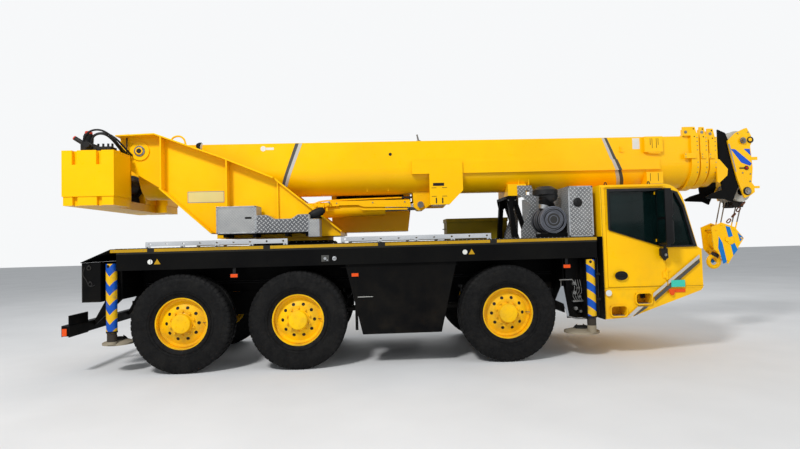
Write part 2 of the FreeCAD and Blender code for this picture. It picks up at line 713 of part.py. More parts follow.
def outrigger_beam(end, side):
    """A sliding beam with its upright leg tube."""
    x, leg_low, leg_high = LEGS[end][:3]
    low = channel_z(end, side)
    inner = -side * BEAM_INNER_Y
    beam = block((x - BEAM_W / 2, x + BEAM_W / 2), (inner, side * LEG_Y), (low, low + BEAM_H))
    hollow = block((x - BEAM_W / 2 + BEAM_WALL, x + BEAM_W / 2 - BEAM_WALL),
                   (inner, side * (LEG_Y - LEG_HALF - BEAM_WALL)),
                   (low + BEAM_WALL, low + BEAM_H - BEAM_WALL))
    leg = rod((x, side * LEG_Y, leg_low), (x, side * LEG_Y, leg_high), LEG_HALF)
    bore = rod((x, side * LEG_Y, leg_low), (x, side * LEG_Y, leg_high - BEAM_WALL), JACK_ROD_R + RUN)
    return join(beam.cut(hollow), leg).cut(bore)


def jack(end, side):
    """The jack's rod with its pad, drawn up under the leg."""
    x, leg_low, leg_high, _, pad_x, pad_low, pad_r = LEGS[end]
    y = side * PAD_Y
    shaft = rod((x, side * LEG_Y, pad_low + PAD_T), (x, side * LEG_Y, leg_high - 2 * BEAM_WALL), JACK_ROD_R)
    pad = turned_z([(0, pad_low), (pad_r, pad_low), (pad_r, pad_low + PAD_RIM), (PAD_TOP_R, pad_low + PAD_T),
                    (0, pad_low + PAD_T)], pad_x, y)
    socket = rod((x, side * LEG_Y, pad_low + PAD_RIM), (x, side * LEG_Y, leg_low - CLEAR), PAD_SOCKET_R)
    return join(pad, socket, shaft)


def deck():
    """The deck plate with its tail slope, bands and cross members, open round the slewing ring."""
    top = prism_xz([
        (SLOPE_END_X, SLOPE_END_Z), (DECK_SLOPE_X, DECK_TOP_Z), (DECK_FRONT_X, DECK_TOP_Z),
        (DECK_FRONT_X, DECK_TOP_Z - DECK_PLATE), (DECK_SLOPE_X, DECK_TOP_Z - DECK_PLATE),
        (SLOPE_END_X, SLOPE_END_Z - DECK_PLATE),
    ], -HALF_WIDTH, HALF_WIDTH)
    band = block((BAND_REAR_X, BAND_FRONT_X), (-HALF_WIDTH, -HALF_WIDTH + BAND_T),
                 (DECK_BAND_LOW_Z, DECK_TOP_Z - 1))
    pieces = [top] + both_sides(band)
    for x in CROSS_MEMBER_X:
        pieces.append(block((x - BAND_T, x + BAND_T), (-HALF_WIDTH + 1, HALF_WIDTH - 1),
                            (FRAME_TOP_Z, DECK_TOP_Z - 1)))
    plate = join(*pieces)
    ring_hole = rod((SLEW_X, 0, FRAME_TOP_Z - 10), (SLEW_X, 0, DECK_TOP_Z + 10), SLEW_R + CLEAR)
    return plate.cut(ring_hole)


def deck_rails():
    """Two drilled rails along each side of the deck, on short feet."""
    rails = []
    for start, end in RAIL_SPANS:
        rail = block((start, end), (-RAIL_Y, -RAIL_Y + RAIL_T), (RAIL_LOW_Z, RAIL_LOW_Z + RAIL_H))
        feet = [block((x, x + RAIL_FOOT), (-RAIL_Y, -RAIL_Y + RAIL_T), (DECK_TOP_Z, RAIL_LOW_Z + 1))
                for x in steps(start, end - RAIL_FOOT, RAIL_FEET)]
        middle = RAIL_LOW_Z + RAIL_H / 2
        holes = [rod((x, -RAIL_Y - 1, middle), (x, -RAIL_Y + RAIL_T + 1, middle), RAIL_HOLE_R)
                 for x in steps(start + RAIL_FOOT, end - RAIL_FOOT, RAIL_HOLES)]
        rails += both_sides(join(rail, *feet).cut(Part.makeCompound(holes)))
    return rails


def steps(first, last, count):
    """Evenly spaced values from first to last."""
    return [first + (last - first) * number / (count - 1) for number in range(count)]


def side_tanks():
    """The tapered tank on each side between the wheels, on two arms from the frame."""
    tank = prism_xz(TANK_OUTLINE, -TANK_OUT_Y, -TANK_IN_Y)
    arms = [block((x - TANK_ARM, x + TANK_ARM), (-TANK_IN_Y - 1, -FRAME_HALF_W), TANK_ARM_Z)
            for x in TANK_ARM_X]
    return both_sides(join(tank, *arms))


def driveline():
    """The engine as one block, its gearbox with the drop case, and the shafts to the drive heads."""
    engine = block(ENGINE_X, (-ENGINE_HALF_W, ENGINE_HALF_W), ENGINE_Z)
    gearbox = prism_xz([
        (ENGINE_X[0] + 1, GEARBOX_LOW_Z), (ENGINE_X[0] + 1, GEARBOX_TOP_Z[0]),
        (GEARBOX_X, GEARBOX_TOP_Z[1]), (GEARBOX_X, GEARBOX_LOW_Z),
    ], -GEARBOX_HALF_W, GEARBOX_HALF_W)
    mounts = both_sides(block(ENGINE_MOUNT_X, (-ENGINE_HALF_W + 1, -FRAME_HALF_W + FRAME_RAIL_T),
                              ENGINE_MOUNT_Z))
    drop = block(DROP_X, (-SHAFT_FLANGE_R, SHAFT_FLANGE_R), (TYRE_R - SHAFT_FLANGE_R, GEARBOX_LOW_Z + 1))
    power = join(engine, gearbox, drop, *mounts)
    reach = DIFF_R + SEAT
    runs = (
        (AXLE_X["rear"] + reach, AXLE_X["mid"] - reach),
        (AXLE_X["mid"] + reach, DROP_X[0]),
        (DROP_X[1], AXLE_X["front"] - reach),
    )
    shafts = []
    for start, end in runs:
        flange = min(SHAFT_FLANGE_T, (end - start) / 2)
        shaft = rod((start, 0, TYRE_R), (end, 0, TYRE_R), SHAFT_R)
        ends = [rod((x, 0, TYRE_R), (x + out, 0, TYRE_R), SHAFT_FLANGE_R)
                for x, out in ((start, flange), (end, -flange))]
        shafts.append(join(shaft, *ends))
    return [power] + shafts


def engine_housing():
    """The tread-plate housing behind the cab, with its round outlet, and the panel over the boom rest."""
    shell = block(HOUSING_X, (-HOUSING_Y, HOUSING_Y), (DECK_TOP_Z, HOUSING_TOP_Z))
    inner_y = HOUSING_Y - HOUSING_T
    inside = block((HOUSING_X[0] + HOUSING_T, HOUSING_X[1] - HOUSING_T), (-inner_y, inner_y),
                   (DECK_TOP_Z - 1, HOUSING_TOP_Z - HOUSING_T))
    outlet = rod((OUTLET_X, -HOUSING_Y - 1, OUTLET_Z), (OUTLET_X, -inner_y + 1, OUTLET_Z), OUTLET_R)
    return shell.cut(inside).cut(outlet)


def air_intake():
    """The intake's hat on its neck, an elbow, and the filter drum that lies across the deck."""
    hat = turned_z([(0, INTAKE_TOP_Z), (HAT_CROWN_R, INTAKE_TOP_Z), (HAT_R, INTAKE_TOP_Z - HAT_CROWN_H),
                    (HAT_R, INTAKE_TOP_Z - HAT_H), (NECK_R, INTAKE_TOP_Z - HAT_H - NECK_TAPER),
                    (NECK_R, FILTER_Z), (0, FILTER_Z)], INTAKE_X, INTAKE_Y)
    drum = turned_y([(0, 0), (FILTER_CAP_R, 0), (FILTER_CAP_R + FILTER_EDGE, -FILTER_DISH),
                     (FILTER_R - 2 * FILTER_EDGE, -FILTER_DISH), (FILTER_R - FILTER_EDGE, 0),
                     (FILTER_R, -FILTER_EDGE), (FILTER_R, -FILTER_LEN), (0, -FILTER_LEN)],
                    FILTER_X, FILTER_FACE_Y, FILTER_Z, -1)
    saddle_y = (FILTER_FACE_Y + SADDLE_IN, FILTER_FACE_Y + FILTER_LEN - SADDLE_IN)
    saddle = block((FILTER_X - SADDLE_HALF, FILTER_X + SADDLE_HALF), saddle_y,
                   (DECK_TOP_Z, FILTER_Z - FILTER_R / 2))
    return join(drum, hat, saddle)


def boom_rest():
    """The post that the stowed boom lies on: two legs, a head and a rubber pad."""
    legs = prism_yz([(-REST_FOOT_Y, DECK_TOP_Z), (-REST_FOOT_Y + REST_LEG_W, DECK_TOP_Z),
                     (-REST_HEAD_Y + REST_LEG_W, REST_HEAD_Z), (-REST_HEAD_Y, REST_HEAD_Z)],
                    REST_X, REST_X + REST_T)
    top_x = REST_X + REST_T
    brace = prism_xz([(top_x - 1, REST_HEAD_Z - 1), (top_x + REST_BRACE_W, REST_HEAD_Z - 1),
                      (REST_BRACE_X, DECK_TOP_Z), (REST_BRACE_X - REST_BRACE_W, DECK_TOP_Z)],
                     -REST_HEAD_Y + REST_BRACE_IN, -REST_HEAD_Y + REST_BRACE_IN + REST_BRACE_T)
    head = block((REST_X - REST_LIP, top_x + REST_BRACE_W), (-REST_HEAD_Y, REST_HEAD_Y),
                 (REST_HEAD_Z - 2, REST_TOP_Z))
    return join(head, *(both_sides(legs) + both_sides(brace)))


def storage_box():
    """The olive stowage box on the left of the deck."""
    lid_z = STORAGE_Z[1] - STORAGE_LID_H
    body = block(STORAGE_X, STORAGE_Y, (STORAGE_Z[0], lid_z))
    lid_x = (STORAGE_X[0] - STORAGE_LID_OUT, STORAGE_X[1] + STORAGE_LID_OUT)
    lid_y = (STORAGE_Y[0] - STORAGE_LID_OUT, STORAGE_Y[1] + STORAGE_LID_OUT)
    lid = block(lid_x, lid_y, (lid_z, STORAGE_Z[1]))
    return join(body, lid)


def cab_outline(inset):
    """The cab's side outline from the floor round the roof to the nose, drawn in by an inset."""
    rear, floor, roof = CAB_REAR_X + inset, CAB_FLOOR_Z + inset, CAB_ROOF_Z - inset
    nose = [Vector(x - inset, 0, z) for x, z in CAB_NOSE]
    edges = [
        Part.LineSegment(Vector(nose[3].x, 0, floor), Vector(rear, 0, floor)).toShape(),
        Part.LineSegment(Vector(rear, 0, floor), Vector(rear, 0, roof)).toShape(),
        Part.LineSegment(Vector(rear, 0, roof), Vector(CAB_ROOF_END_X - inset, 0, roof)).toShape(),
        Part.Arc(Vector(CAB_ROOF_END_X - inset, 0, roof), nose[0], nose[1]).toShape(),
        Part.LineSegment(nose[1], nose[2]).toShape(),
        Part.LineSegment(nose[2], nose[3]).toShape(),
        Part.LineSegment(nose[3], Vector(nose[3].x, 0, floor)).toShape(),
    ]
    return Part.Face(Part.Wire(edges))


def extruded_between(face, y0, y1):
    """A face drawn at y = 0, carried from y0 to y1."""
    moved = face.copy()
    moved.translate(Vector(0, y0, 0))
    return moved.extrude(Vector(0, y1 - y0, 0))


def cab_shell():
    """The driver's cab: a hollow shell with its door openings and windows cut."""
    shell = extruded_between(cab_outline(0), -HALF_WIDTH, HALF_WIDTH)
    shell = shell.cut(extruded_between(cab_outline(CAB_WALL), -HALF_WIDTH + CAB_WALL, HALF_WIDTH - CAB_WALL))
    inner, outer = HALF_WIDTH - CAB_WALL - 1, HALF_WIDTH + 1
    cuts = both_sides(prism_xz(DOOR_OPENING, inner, outer))
    cuts += both_sides(prism_xz(QUARTER_WINDOW, inner, outer))
    cuts.append(prism_xz(WINDSCREEN_CUT, -WINDSCREEN_HALF_W, WINDSCREEN_HALF_W))
    rear_x = (CAB_REAR_X - 1, CAB_REAR_X + CAB_WALL + 1)
    cuts.append(block(rear_x, (-REAR_WINDOW_Y, REAR_WINDOW_Y), REAR_WINDOW_Z))
    shell = shell.cut(Part.makeCompound(cuts))
    return join(shell, *(hinge_parts(-1, False) + hinge_parts(1, False)))


def cab_floor():
    """The cab's underbody with the bumper's rising edge and two steps cut into each side."""
    body = prism_xz(UNDERBODY, -HALF_WIDTH, HALF_WIDTH)
    steps_cut = []
    for x0, x1, z0, z1 in STEPS:
        steps_cut += both_sides(block((x0, x1), (-HALF_WIDTH - 1, -HALF_WIDTH + STEP_DEPTH), (z0, z1)))
    return body.cut(Part.makeCompound(steps_cut))


def hinge_parts(side, on_door):
    """One side's door hinges: tubes on leaves for the door, or pins with end plates for the shell."""
    y = side * (HALF_WIDTH + HINGE_R + SEAT)
    leaf_y = (side * HALF_WIDTH, side * (HALF_WIDTH + HINGE_R))
    parts = []
    for z in HINGE_Z:
        if on_door:
            tube_part = rod((HINGE_X, y, z), (HINGE_X, y, z + HINGE_H), HINGE_R)
            leaf = block((HINGE_X - HINGE_LEAF, HINGE_X), leaf_y, (z, z + HINGE_H))
            bore = rod((HINGE_X, y, z - 1), (HINGE_X, y, z + HINGE_H + 1), HINGE_PIN_R + RUN)
            parts.append(tube_part.fuse(leaf).cut(bore))
        else:
            low, high = z - SEAT - HINGE_END, z + HINGE_H + SEAT + HINGE_END
            parts.append(rod((HINGE_X, y, low), (HINGE_X, y, high), HINGE_PIN_R))
            for end_z in (low, high - HINGE_END):
                parts.append(rod((HINGE_X, y, end_z), (HINGE_X, y, end_z + HINGE_END), HINGE_R))
                parts.append(block((HINGE_X, HINGE_X + HINGE_LEAF), leaf_y, (end_z, end_z + HINGE_END)))
    return parts


def door(side):
    """A cab door with its window cut and its mirror on an arm."""
    y_out, y_in = side * HALF_WIDTH, side * (HALF_WIDTH - CAB_WALL)
    panel = prism_xz(DOOR_PANEL, y_in, y_out)
    panel = panel.cut(prism_xz(DOOR_WINDOW, y_in - side, y_out + side))
    arms = [block((MIRROR_X[0], MIRROR_X[1]), (y_out - side, side * MIRROR_Y[1]), (z, z + MIRROR_ARM_T))
            for z in MIRROR_ARM_Z]
    mirror = block(MIRROR_X, (side * MIRROR_Y[0], side * MIRROR_Y[1]), MIRROR_Z)
    return join(panel, mirror, *(arms + hinge_parts(side, True)))


def door_glass(side):
    """The door's fixed pane, in the middle of the frame's thickness."""
    y = side * (HALF_WIDTH - CAB_WALL / 2)
    return prism_xz(DOOR_WINDOW, y, y + side * GLASS_T)


def cab_glazing():
    """The windscreen, the quarter panes and the rear pane."""
    front = [(x + shift, z) for shift, rows in ((0, CAB_PANE), (GLASS_T, CAB_PANE[::-1])) for x, z in rows]
    screen = prism_xz(front, -WINDSCREEN_HALF_W, WINDSCREEN_HALF_W)
    quarter = prism_xz(QUARTER_WINDOW, -HALF_WIDTH + CAB_WALL / 2, -HALF_WIDTH + CAB_WALL / 2 - GLASS_T)
    rear_x = CAB_REAR_X + CAB_WALL / 2
    rear = block((rear_x, rear_x + GLASS_T), (-REAR_WINDOW_Y, REAR_WINDOW_Y), REAR_WINDOW_Z)
    return [screen, rear] + both_sides(quarter)


def seat(x, y, floor):
    """A seat on its post, facing the nose."""
    low, rear = floor + SEAT_H, x - SEAT_D / 2
    top = low + SEAT_BACK
    post = rod((x, y, floor), (x, y, low), SEAT_POST_R)
    cushion = block((rear, x + SEAT_D / 2), (y - SEAT_W / 2, y + SEAT_W / 2),
                    (low - CUSHION_HALF_T, low + CUSHION_HALF_T))
    back = prism_xz([(rear, low), (rear + SEAT_BACK_T, low),
                     (rear + SEAT_BACK_T - SEAT_LEAN, top), (rear - SEAT_LEAN, top)],
                    y - SEAT_BACK_W / 2, y + SEAT_BACK_W / 2)
    return join(cushion, post, back)


def cab_interior():
    """The dashboard with the steering wheel, and the two seats."""
    floor = CAB_FLOOR_Z + CAB_WALL
    front = CAB_FRONT_X - CAB_WALL - DASH_GAP
    dash = prism_xz([(front, floor), (front, DASH_TOP_Z), (front - DASH_DEPTH, DASH_TOP_Z),
                     (front - DASH_LIP, DASH_TOP_Z - DASH_DROP), (front - DASH_FOOT, floor)],
                    -HALF_WIDTH + CAB_WALL + 1, HALF_WIDTH - CAB_WALL - 1)
    x, y, z = STEER_WHEEL_X, CAB_SEAT_Y, STEER_WHEEL_Z
    wheel = Part.makeTorus(STEER_WHEEL_R, STEER_RIM_R, Vector(x, y, z), Vector(-1, 0, 2))
    column = rod((x, y, z), (front - DASH_DEPTH, y, DASH_TOP_Z - 2 * DASH_DROP), STEER_COLUMN_R)
    spokes = rod((x, y - STEER_WHEEL_R, z), (x, y + STEER_WHEEL_R, z), STEER_RIM_R)
    seats = [seat(CAB_SEAT_X, y, floor) for y in (-CAB_SEAT_Y, CAB_SEAT_Y)]
    return [join(dash, column, spokes, wheel)] + seats


def lamps():
    """Headlamps at the nose, corner lamps, and the lamps on the underrun bar's ends."""
    front = block((CAB_FRONT_X, CAB_FRONT_X + LAMP_T), HEADLAMP_Y, HEADLAMP_Z)
    marker = block(MARKER_LAMP_X, (HALF_WIDTH, HALF_WIDTH + LAMP_T), MARKER_LAMP_Z)
    rear = block((UNDERRUN_X - LAMP_T, UNDERRUN_X), TAIL_LAMP_Y,
                 (UNDERRUN_Z[0] + TAIL_LAMP_INSET, UNDERRUN_Z[1] - TAIL_LAMP_INSET))
    return both_sides(Part.makeCompound([front, marker, rear]))


def edge_flange(start, end, y_in, reach):
    """A flange along one edge of a side plate, standing out from it."""
    (x0, z0), (x1, z1) = start, end
    length = math.hypot(x1 - x0, z1 - z0)
    nx, nz = (z1 - z0) / length * FLANGE_T, -(x1 - x0) / length * FLANGE_T
    return prism_xz([(x0, z0), (x1, z1), (x1 + nx, z1 + nz), (x0 + nx, z0 + nz)], y_in, y_in + reach)


def upper_frame():
    """The turntable, the two flanged side plates and the walls between them, with both pivots' pins."""
    low, high = -PLATE_IN_Y - PLATE_T, -PLATE_IN_Y
    plate = prism_xz(PLATE_OUTLINE, low, high)
    plate = plate.fuse([edge_flange(PLATE_OUTLINE[i], PLATE_OUTLINE[i + 1], low + 1, -FLANGE_OUT)
                        for i in FLANGED_EDGES])
    ribs = [prism_xz([(x, foot), (x + FLANGE_T, foot), (x + FLANGE_T, top), (x, top)],
                     low + 1, low - FLANGE_OUT + FLANGE_T) for x, foot, top in PLATE_RIBS]
    boss = rod((PIVOT_X, low - PIVOT_BOSS_T, PIVOT_Z), (PIVOT_X, high, PIVOT_Z), PIVOT_BOSS_R)
    side = join(plate, boss, *ribs)
    outer_y = PLATE_IN_Y + PLATE_T
    table = block(TABLE_X, (-outer_y, outer_y), (TURNTABLE_Z, TURNTABLE_Z + TURNTABLE_T))
    ring = rod((SLEW_X, 0, SLEW_SPLIT_Z + SEAT), (SLEW_X, 0, TURNTABLE_Z + 1), SLEW_R)
    walls = [block((x, x + FLANGE_T), (-PLATE_IN_Y - 1, PLATE_IN_Y + 1), (TURNTABLE_Z + 1, top))
             for x, top in CROSS_WALLS]
    tail = prism_xz(TAIL_PLATE, -PLATE_IN_Y - 1, PLATE_IN_Y + 1)
    rear_x = PLATE_OUTLINE[0][0]
    rear_wall = block((rear_x, rear_x + FLANGE_T), (-PLATE_IN_Y - 1, PLATE_IN_Y + 1), REAR_WALL_Z)
    lugs = [prism_xz([(BARREL_X - 150, TURNTABLE_Z + 1), (BARREL_X + 190, TURNTABLE_Z + 1),
                      (BARREL_X + 80, BARREL_Z + 90), (BARREL_X - 80, BARREL_Z + 90)],
                     y, y + LUFF_LUG_T) for y in (-LUFF_LUG_Y, LUFF_LUG_Y - LUFF_LUG_T)]
    luff_pin = rod((BARREL_X, -LUFF_LUG_Y - 30, BARREL_Z), (BARREL_X, LUFF_LUG_Y + 30, BARREL_Z), LUFF_PIN_R)
    pivot_pin = rod((PIVOT_X, -PIVOT_PIN_Y, PIVOT_Z), (PIVOT_X, PIVOT_PIN_Y, PIVOT_Z), PIVOT_PIN_R)
    cabin_arm = block(CABIN_ARM_X, (PLATE_IN_Y + PLATE_T - 1, CABIN_Y[1]), CABIN_ARM_Z)
    box_arm = block(BOX_ARM_X, (-PLATE_IN_Y - PLATE_T + 1, SIDE_BOX_Y[0]), BOX_ARM_Z)
    arms = [cabin_arm, box_arm]
    return join(table, ring, tail, rear_wall, luff_pin, pivot_pin, *(both_sides(side) + walls + lugs + arms))


def counterweight():
    """Two stacked weights round the frame's tail, open in the middle, with lifting slots."""
    plan = [
        (CW_REAR_X, -CW_HALF_W), (CW_FRONT_X, -CW_HALF_W), (CW_FRONT_X, -CW_NOTCH_Y),
        (CW_NOTCH_X, -CW_NOTCH_Y), (CW_NOTCH_X, CW_NOTCH_Y), (CW_FRONT_X, CW_NOTCH_Y),
        (CW_FRONT_X, CW_HALF_W), (CW_REAR_X, CW_HALF_W),
    ]
    upper = prism_xy(plan, CW_SPLIT_Z, CW_TOP_Z)
    step = block((CW_REAR_X - 1, CW_NOTCH_X + 1), (-CW_STEP_Y, CW_STEP_Y), (CW_STEP_TOP_Z, CW_TOP_Z + 1))
    gap = block((CW_REAR_X - 1, CW_NOTCH_X + 1), (-CW_GAP_Y, CW_GAP_Y), (CW_SPLIT_Z, CW_TOP_Z + 1))
    lower_plan = [(x + (CW_SEAM if x == CW_REAR_X else -CW_SEAM), y - math.copysign(CW_SEAM, y))
                  for x, y in plan]
    lower = prism_xy(lower_plan, CW_LOW_Z, CW_SPLIT_Z)
    slots = []
    for x in CW_SLOTS_X:
        slots += both_sides(block((x, x + CW_SLOT_W), (-CW_HALF_W - 1, -CW_HALF_W + CW_SLOT_DEPTH),
                                  (CW_SLOT_LOW_Z, CW_TOP_Z + 1)))
        slots += both_sides(block((x, x + CW_SLOT_W), (-CW_HALF_W - 1, -CW_HALF_W + CW_SLOT_DEPTH),
                                  (CW_LOW_Z - 1, CW_SPLIT_Z)))
    return join(upper, lower).cut(Part.makeCompound([step, gap] + slots))


def winch():
    """The hoist winch in the counterweight's gap: a flanged drum between two cheeks."""
    flange_y = WINCH_HALF_W - WINCH_FLANGE_T
    barrel = turned_y([
        (0, -WINCH_HALF_W), (WINCH_FLANGE_R, -WINCH_HALF_W), (WINCH_FLANGE_R, -flange_y),
        (WINCH_R, -flange_y), (WINCH_R, flange_y), (WINCH_FLANGE_R, flange_y),
        (WINCH_FLANGE_R, WINCH_HALF_W), (0, WINCH_HALF_W)], WINCH_X, 0, WINCH_Z, 1)
    foot, top = WINCH_CHEEK_X
    cheeks = both_sides(prism_xz([(WINCH_X - foot, CW_SPLIT_Z), (WINCH_X + foot, CW_SPLIT_Z),
                                  (WINCH_X + top, WINCH_Z + WINCH_CHEEK_UP),
                                  (WINCH_X - top, WINCH_Z + WINCH_CHEEK_UP)],
                                 -WINCH_HALF_W - WINCH_CHEEK_T, -WINCH_HALF_W + 1))
    return join(barrel, *cheeks)


def side_boxes():
    """The tread-plate boxes on the superstructure's right side: a locker, a low panel and the step post."""
    locker = block(LOCKER_X, SIDE_BOX_Y, LOCKER_Z)
    panel = prism_xz(SIDE_PANEL, SIDE_BOX_Y[0], SIDE_BOX_Y[1])
    post = block(SIDE_POST_X, SIDE_BOX_Y, SIDE_POST_Z)
    return join(locker, panel, post)


def cabin_outline(inset):
    """The operator's cabin from the side: upright back, sloped front."""
    x0, x1, z0, z1 = CABIN_X[0] + inset, CABIN_X[1] - inset, CABIN_Z[0] + inset, CABIN_Z[1] - inset
    return [
        (x0, z0), (x1 - CABIN_CHIN, z0), (x1, z0 + CABIN_KNEE_Z), (x1 - CABIN_BROW_X, z1 - CABIN_BROW_Z),
        (x1 - CABIN_ROOF_X, z1), (x0 + CABIN_CHIN, z1), (x0, z1 - CABIN_BACK_Z),
    ]


def cabin_window_y():
    """Where the cabin's front and rear windows lie across it."""
    front = (CABIN_Y[0] + CABIN_FRONT_RIM, CABIN_Y[1] - CABIN_FRONT_RIM)
    rear = (CABIN_Y[0] + CABIN_REAR_RIM, CABIN_Y[1] - CABIN_REAR_RIM)
    return front, rear


def cabin_shell():
    """The operator's cabin: a hollow shell with its windows and door opening cut."""
    shell = prism_xz(cabin_outline(0), CABIN_Y[0], CABIN_Y[1])
    shell = shell.cut(prism_xz(cabin_outline(CABIN_WALL), CABIN_Y[0] + CABIN_WALL, CABIN_Y[1] - CABIN_WALL))
    front_y, rear_y = cabin_window_y()
    cuts = [
        prism_xz(CABIN_DOORWAY, CABIN_Y[1] - CABIN_WALL - 1, CABIN_Y[1] + 1),
        prism_xz(CABIN_SIDE_WINDOW, CABIN_Y[0] - 1, CABIN_Y[0] + CABIN_WALL + 1),
        block(CABIN_FRONT_CUT_X, front_y, CABIN_FRONT_CUT_Z),
        block((CABIN_X[0] - 1, CABIN_X[0] + CABIN_WALL + 1), rear_y, CABIN_REAR_CUT_Z),
    ]
    return shell.cut(Part.makeCompound(cuts))


def cabin_glazing():
    """The cabin's fixed panes: front, right side and rear."""
    outline = cabin_outline(0)
    lower, upper = outline[2], outline[3]
    front_y, rear_y = cabin_window_y()
    low_x, high_x = lower[0] - CABIN_PANE_IN, upper[0] - CABIN_PANE_IN
    front = prism_xz([(low_x, CABIN_FRONT_CUT_Z[0]), (low_x + GLASS_T, CABIN_FRONT_CUT_Z[0]),
                      (high_x + GLASS_T, CABIN_FRONT_CUT_Z[1]), (high_x, CABIN_FRONT_CUT_Z[1])], *front_y)
    side_y, rear_x = CABIN_Y[0] + CABIN_PANE_SET, CABIN_X[0] + CABIN_PANE_SET
    side = prism_xz(CABIN_SIDE_WINDOW, side_y, side_y + GLASS_T)
    rear = block((rear_x, rear_x + GLASS_T), rear_y, CABIN_REAR_CUT_Z)
    return [front, side, rear]


def cabin_door():
    """The cabin's sliding door, hung outside its doorway, with its window cut."""
    y = CABIN_Y[1] + SEAT
    panel = prism_xz(CABIN_DOOR, y, y + CABIN_DOOR_T)
    return panel.cut(prism_xz(CABIN_DOOR_WINDOW, y - 1, y + CABIN_DOOR_T + 1))


def boom_half_width(level, grow=0.0):
    """Half the width of a boom section, for a nesting level."""
    return BOOM_HALF_W - level * BOOM_STEP + grow


def boom_face(level, grow=0.0):
    """A boom section's outline across its length: flat top, upright sides, round bottom."""
    half = boom_half_width(level, grow)
    top = BOOM_TOP_Z - level * BOOM_STEP + grow
    corners = [Vector(0, y, z) for y, z in
               ((-half, BOOM_ARC_Z), (-half, top), (half, top), (half, BOOM_ARC_Z))]
    edges = [Part.LineSegment(corners[i], corners[i + 1]).toShape() for i in range(3)]
    edges.append(Part.Arc(corners[3], Vector(0, 0, BOOM_ARC_Z - half), corners[0]).toShape())
    return Part.Face(Part.Wire(edges))


def boom_prism(level, x0, x1, grow=0.0):
    """A boom section's outline carried along the boom."""
    face = boom_face(level, grow)
    face.translate(Vector(x0, 0, 0))
    return face.extrude(Vector(x1 - x0, 0, 0))


def boom_section(level, x0, x1, fittings=()):
    """A hollow boom section with its collar, its fittings and the pads that carry the next one."""
    outer = boom_prism(level, x0, x1)
    last = level + 1 == len(SECTION_ENDS)
    collar = boom_prism(level, x1 - COLLAR_LEN, x1, 0 if last else COLLAR_GROW)
    section = outer.fuse([collar] + list(fittings)).cut(boom_prism(level, x0 - 1, x1 + 1, -BOOM_WALL))
    if not last:
        pads = boom_prism(level, x1 - PAD_LEN, x1 - PAD_INSET, -BOOM_WALL + 1)
        section = section.fuse(pads.cut(boom_prism(level + 1, x1 - PAD_LEN - 1, x1, SEAT)))
    return section.removeSplitter()


def collar_fittings(level):
    """The upright ears on a section's collar and the small blocks on its sides."""
    outer_y = boom_half_width(level, COLLAR_GROW)
    end = SECTION_ENDS[level]
    root_z = BOOM_TOP_Z - level * BOOM_STEP
    ear = prism_xz([(end - EAR_BACK[level], root_z), (end - EAR_BACK[level], EAR_TOP_Z[level]),
                    (end - EAR_FRONT, EAR_TOP_Z[level]), (end - EAR_FOOT, root_z)],
                   -outer_y, -outer_y + EAR_T)
    stop = block((end - EAR_BACK[level], end - EAR_FRONT), (-outer_y - STOP_OUT, -outer_y + 1), STOP_Z)
    return both_sides(ear) + both_sides(stop)


def boom_base():
    """The base section with its pivot ears, luffing bracket, brackets and the foot that lies on the rest."""
    inside = -BOOM_HALF_W / 2
    ears = both_sides(prism_xz(BOOM_EAR, -PLATE_IN_Y + CLEAR, inside))
    side_plates = both_sides(prism_xz([(ROD_EYE_X + x, z) for x, z in LUFF_PLATE],
                                      -BOOM_HALF_W - LUFF_PLATE_T, -BOOM_HALF_W + 1))
    cross = block(LUFF_CROSS_X, (-BOOM_HALF_W - 1, BOOM_HALF_W + 1), LUFF_CROSS_Z)
    lugs = both_sides(prism_xz([(ROD_EYE_X + x, ROD_EYE_Z + z) for x, z in LUFF_LUG],
                               -LUFF_LUG_Y, -LUFF_LUG_Y + LUFF_LUG_T))
    pin_heads = both_sides(rod((ROD_EYE_X, -LUFF_LUG_Y - PIN_HEAD, ROD_EYE_Z),
                               (ROD_EYE_X, -LUFF_LUG_Y + LUFF_LUG_T, ROD_EYE_Z), LUFF_PIN_R))
    brackets = []
    for x0, x1, z0, z1, reach in BOOM_BRACKETS:
        brackets += both_sides(block((x0, x1), (-BOOM_HALF_W - reach, inside), (z0, z1)))
    foot = block(BOOM_FOOT_X, (-BOOM_FOOT_Y, BOOM_FOOT_Y), (BOOM_FOOT_Z, BOOM_FOOT_TOP_Z))
    fittings = [cross, foot] + ears + side_plates + lugs + pin_heads + brackets + collar_fittings(0)
    section = boom_section(0, BOOM_TAIL_X, SECTION_ENDS[0], fittings)
    pivot = rod((PIVOT_X, -HALF_WIDTH, PIVOT_Z), (PIVOT_X, HALF_WIDTH, PIVOT_Z), PIVOT_PIN_R + RUN)
    return section.cut(pivot)


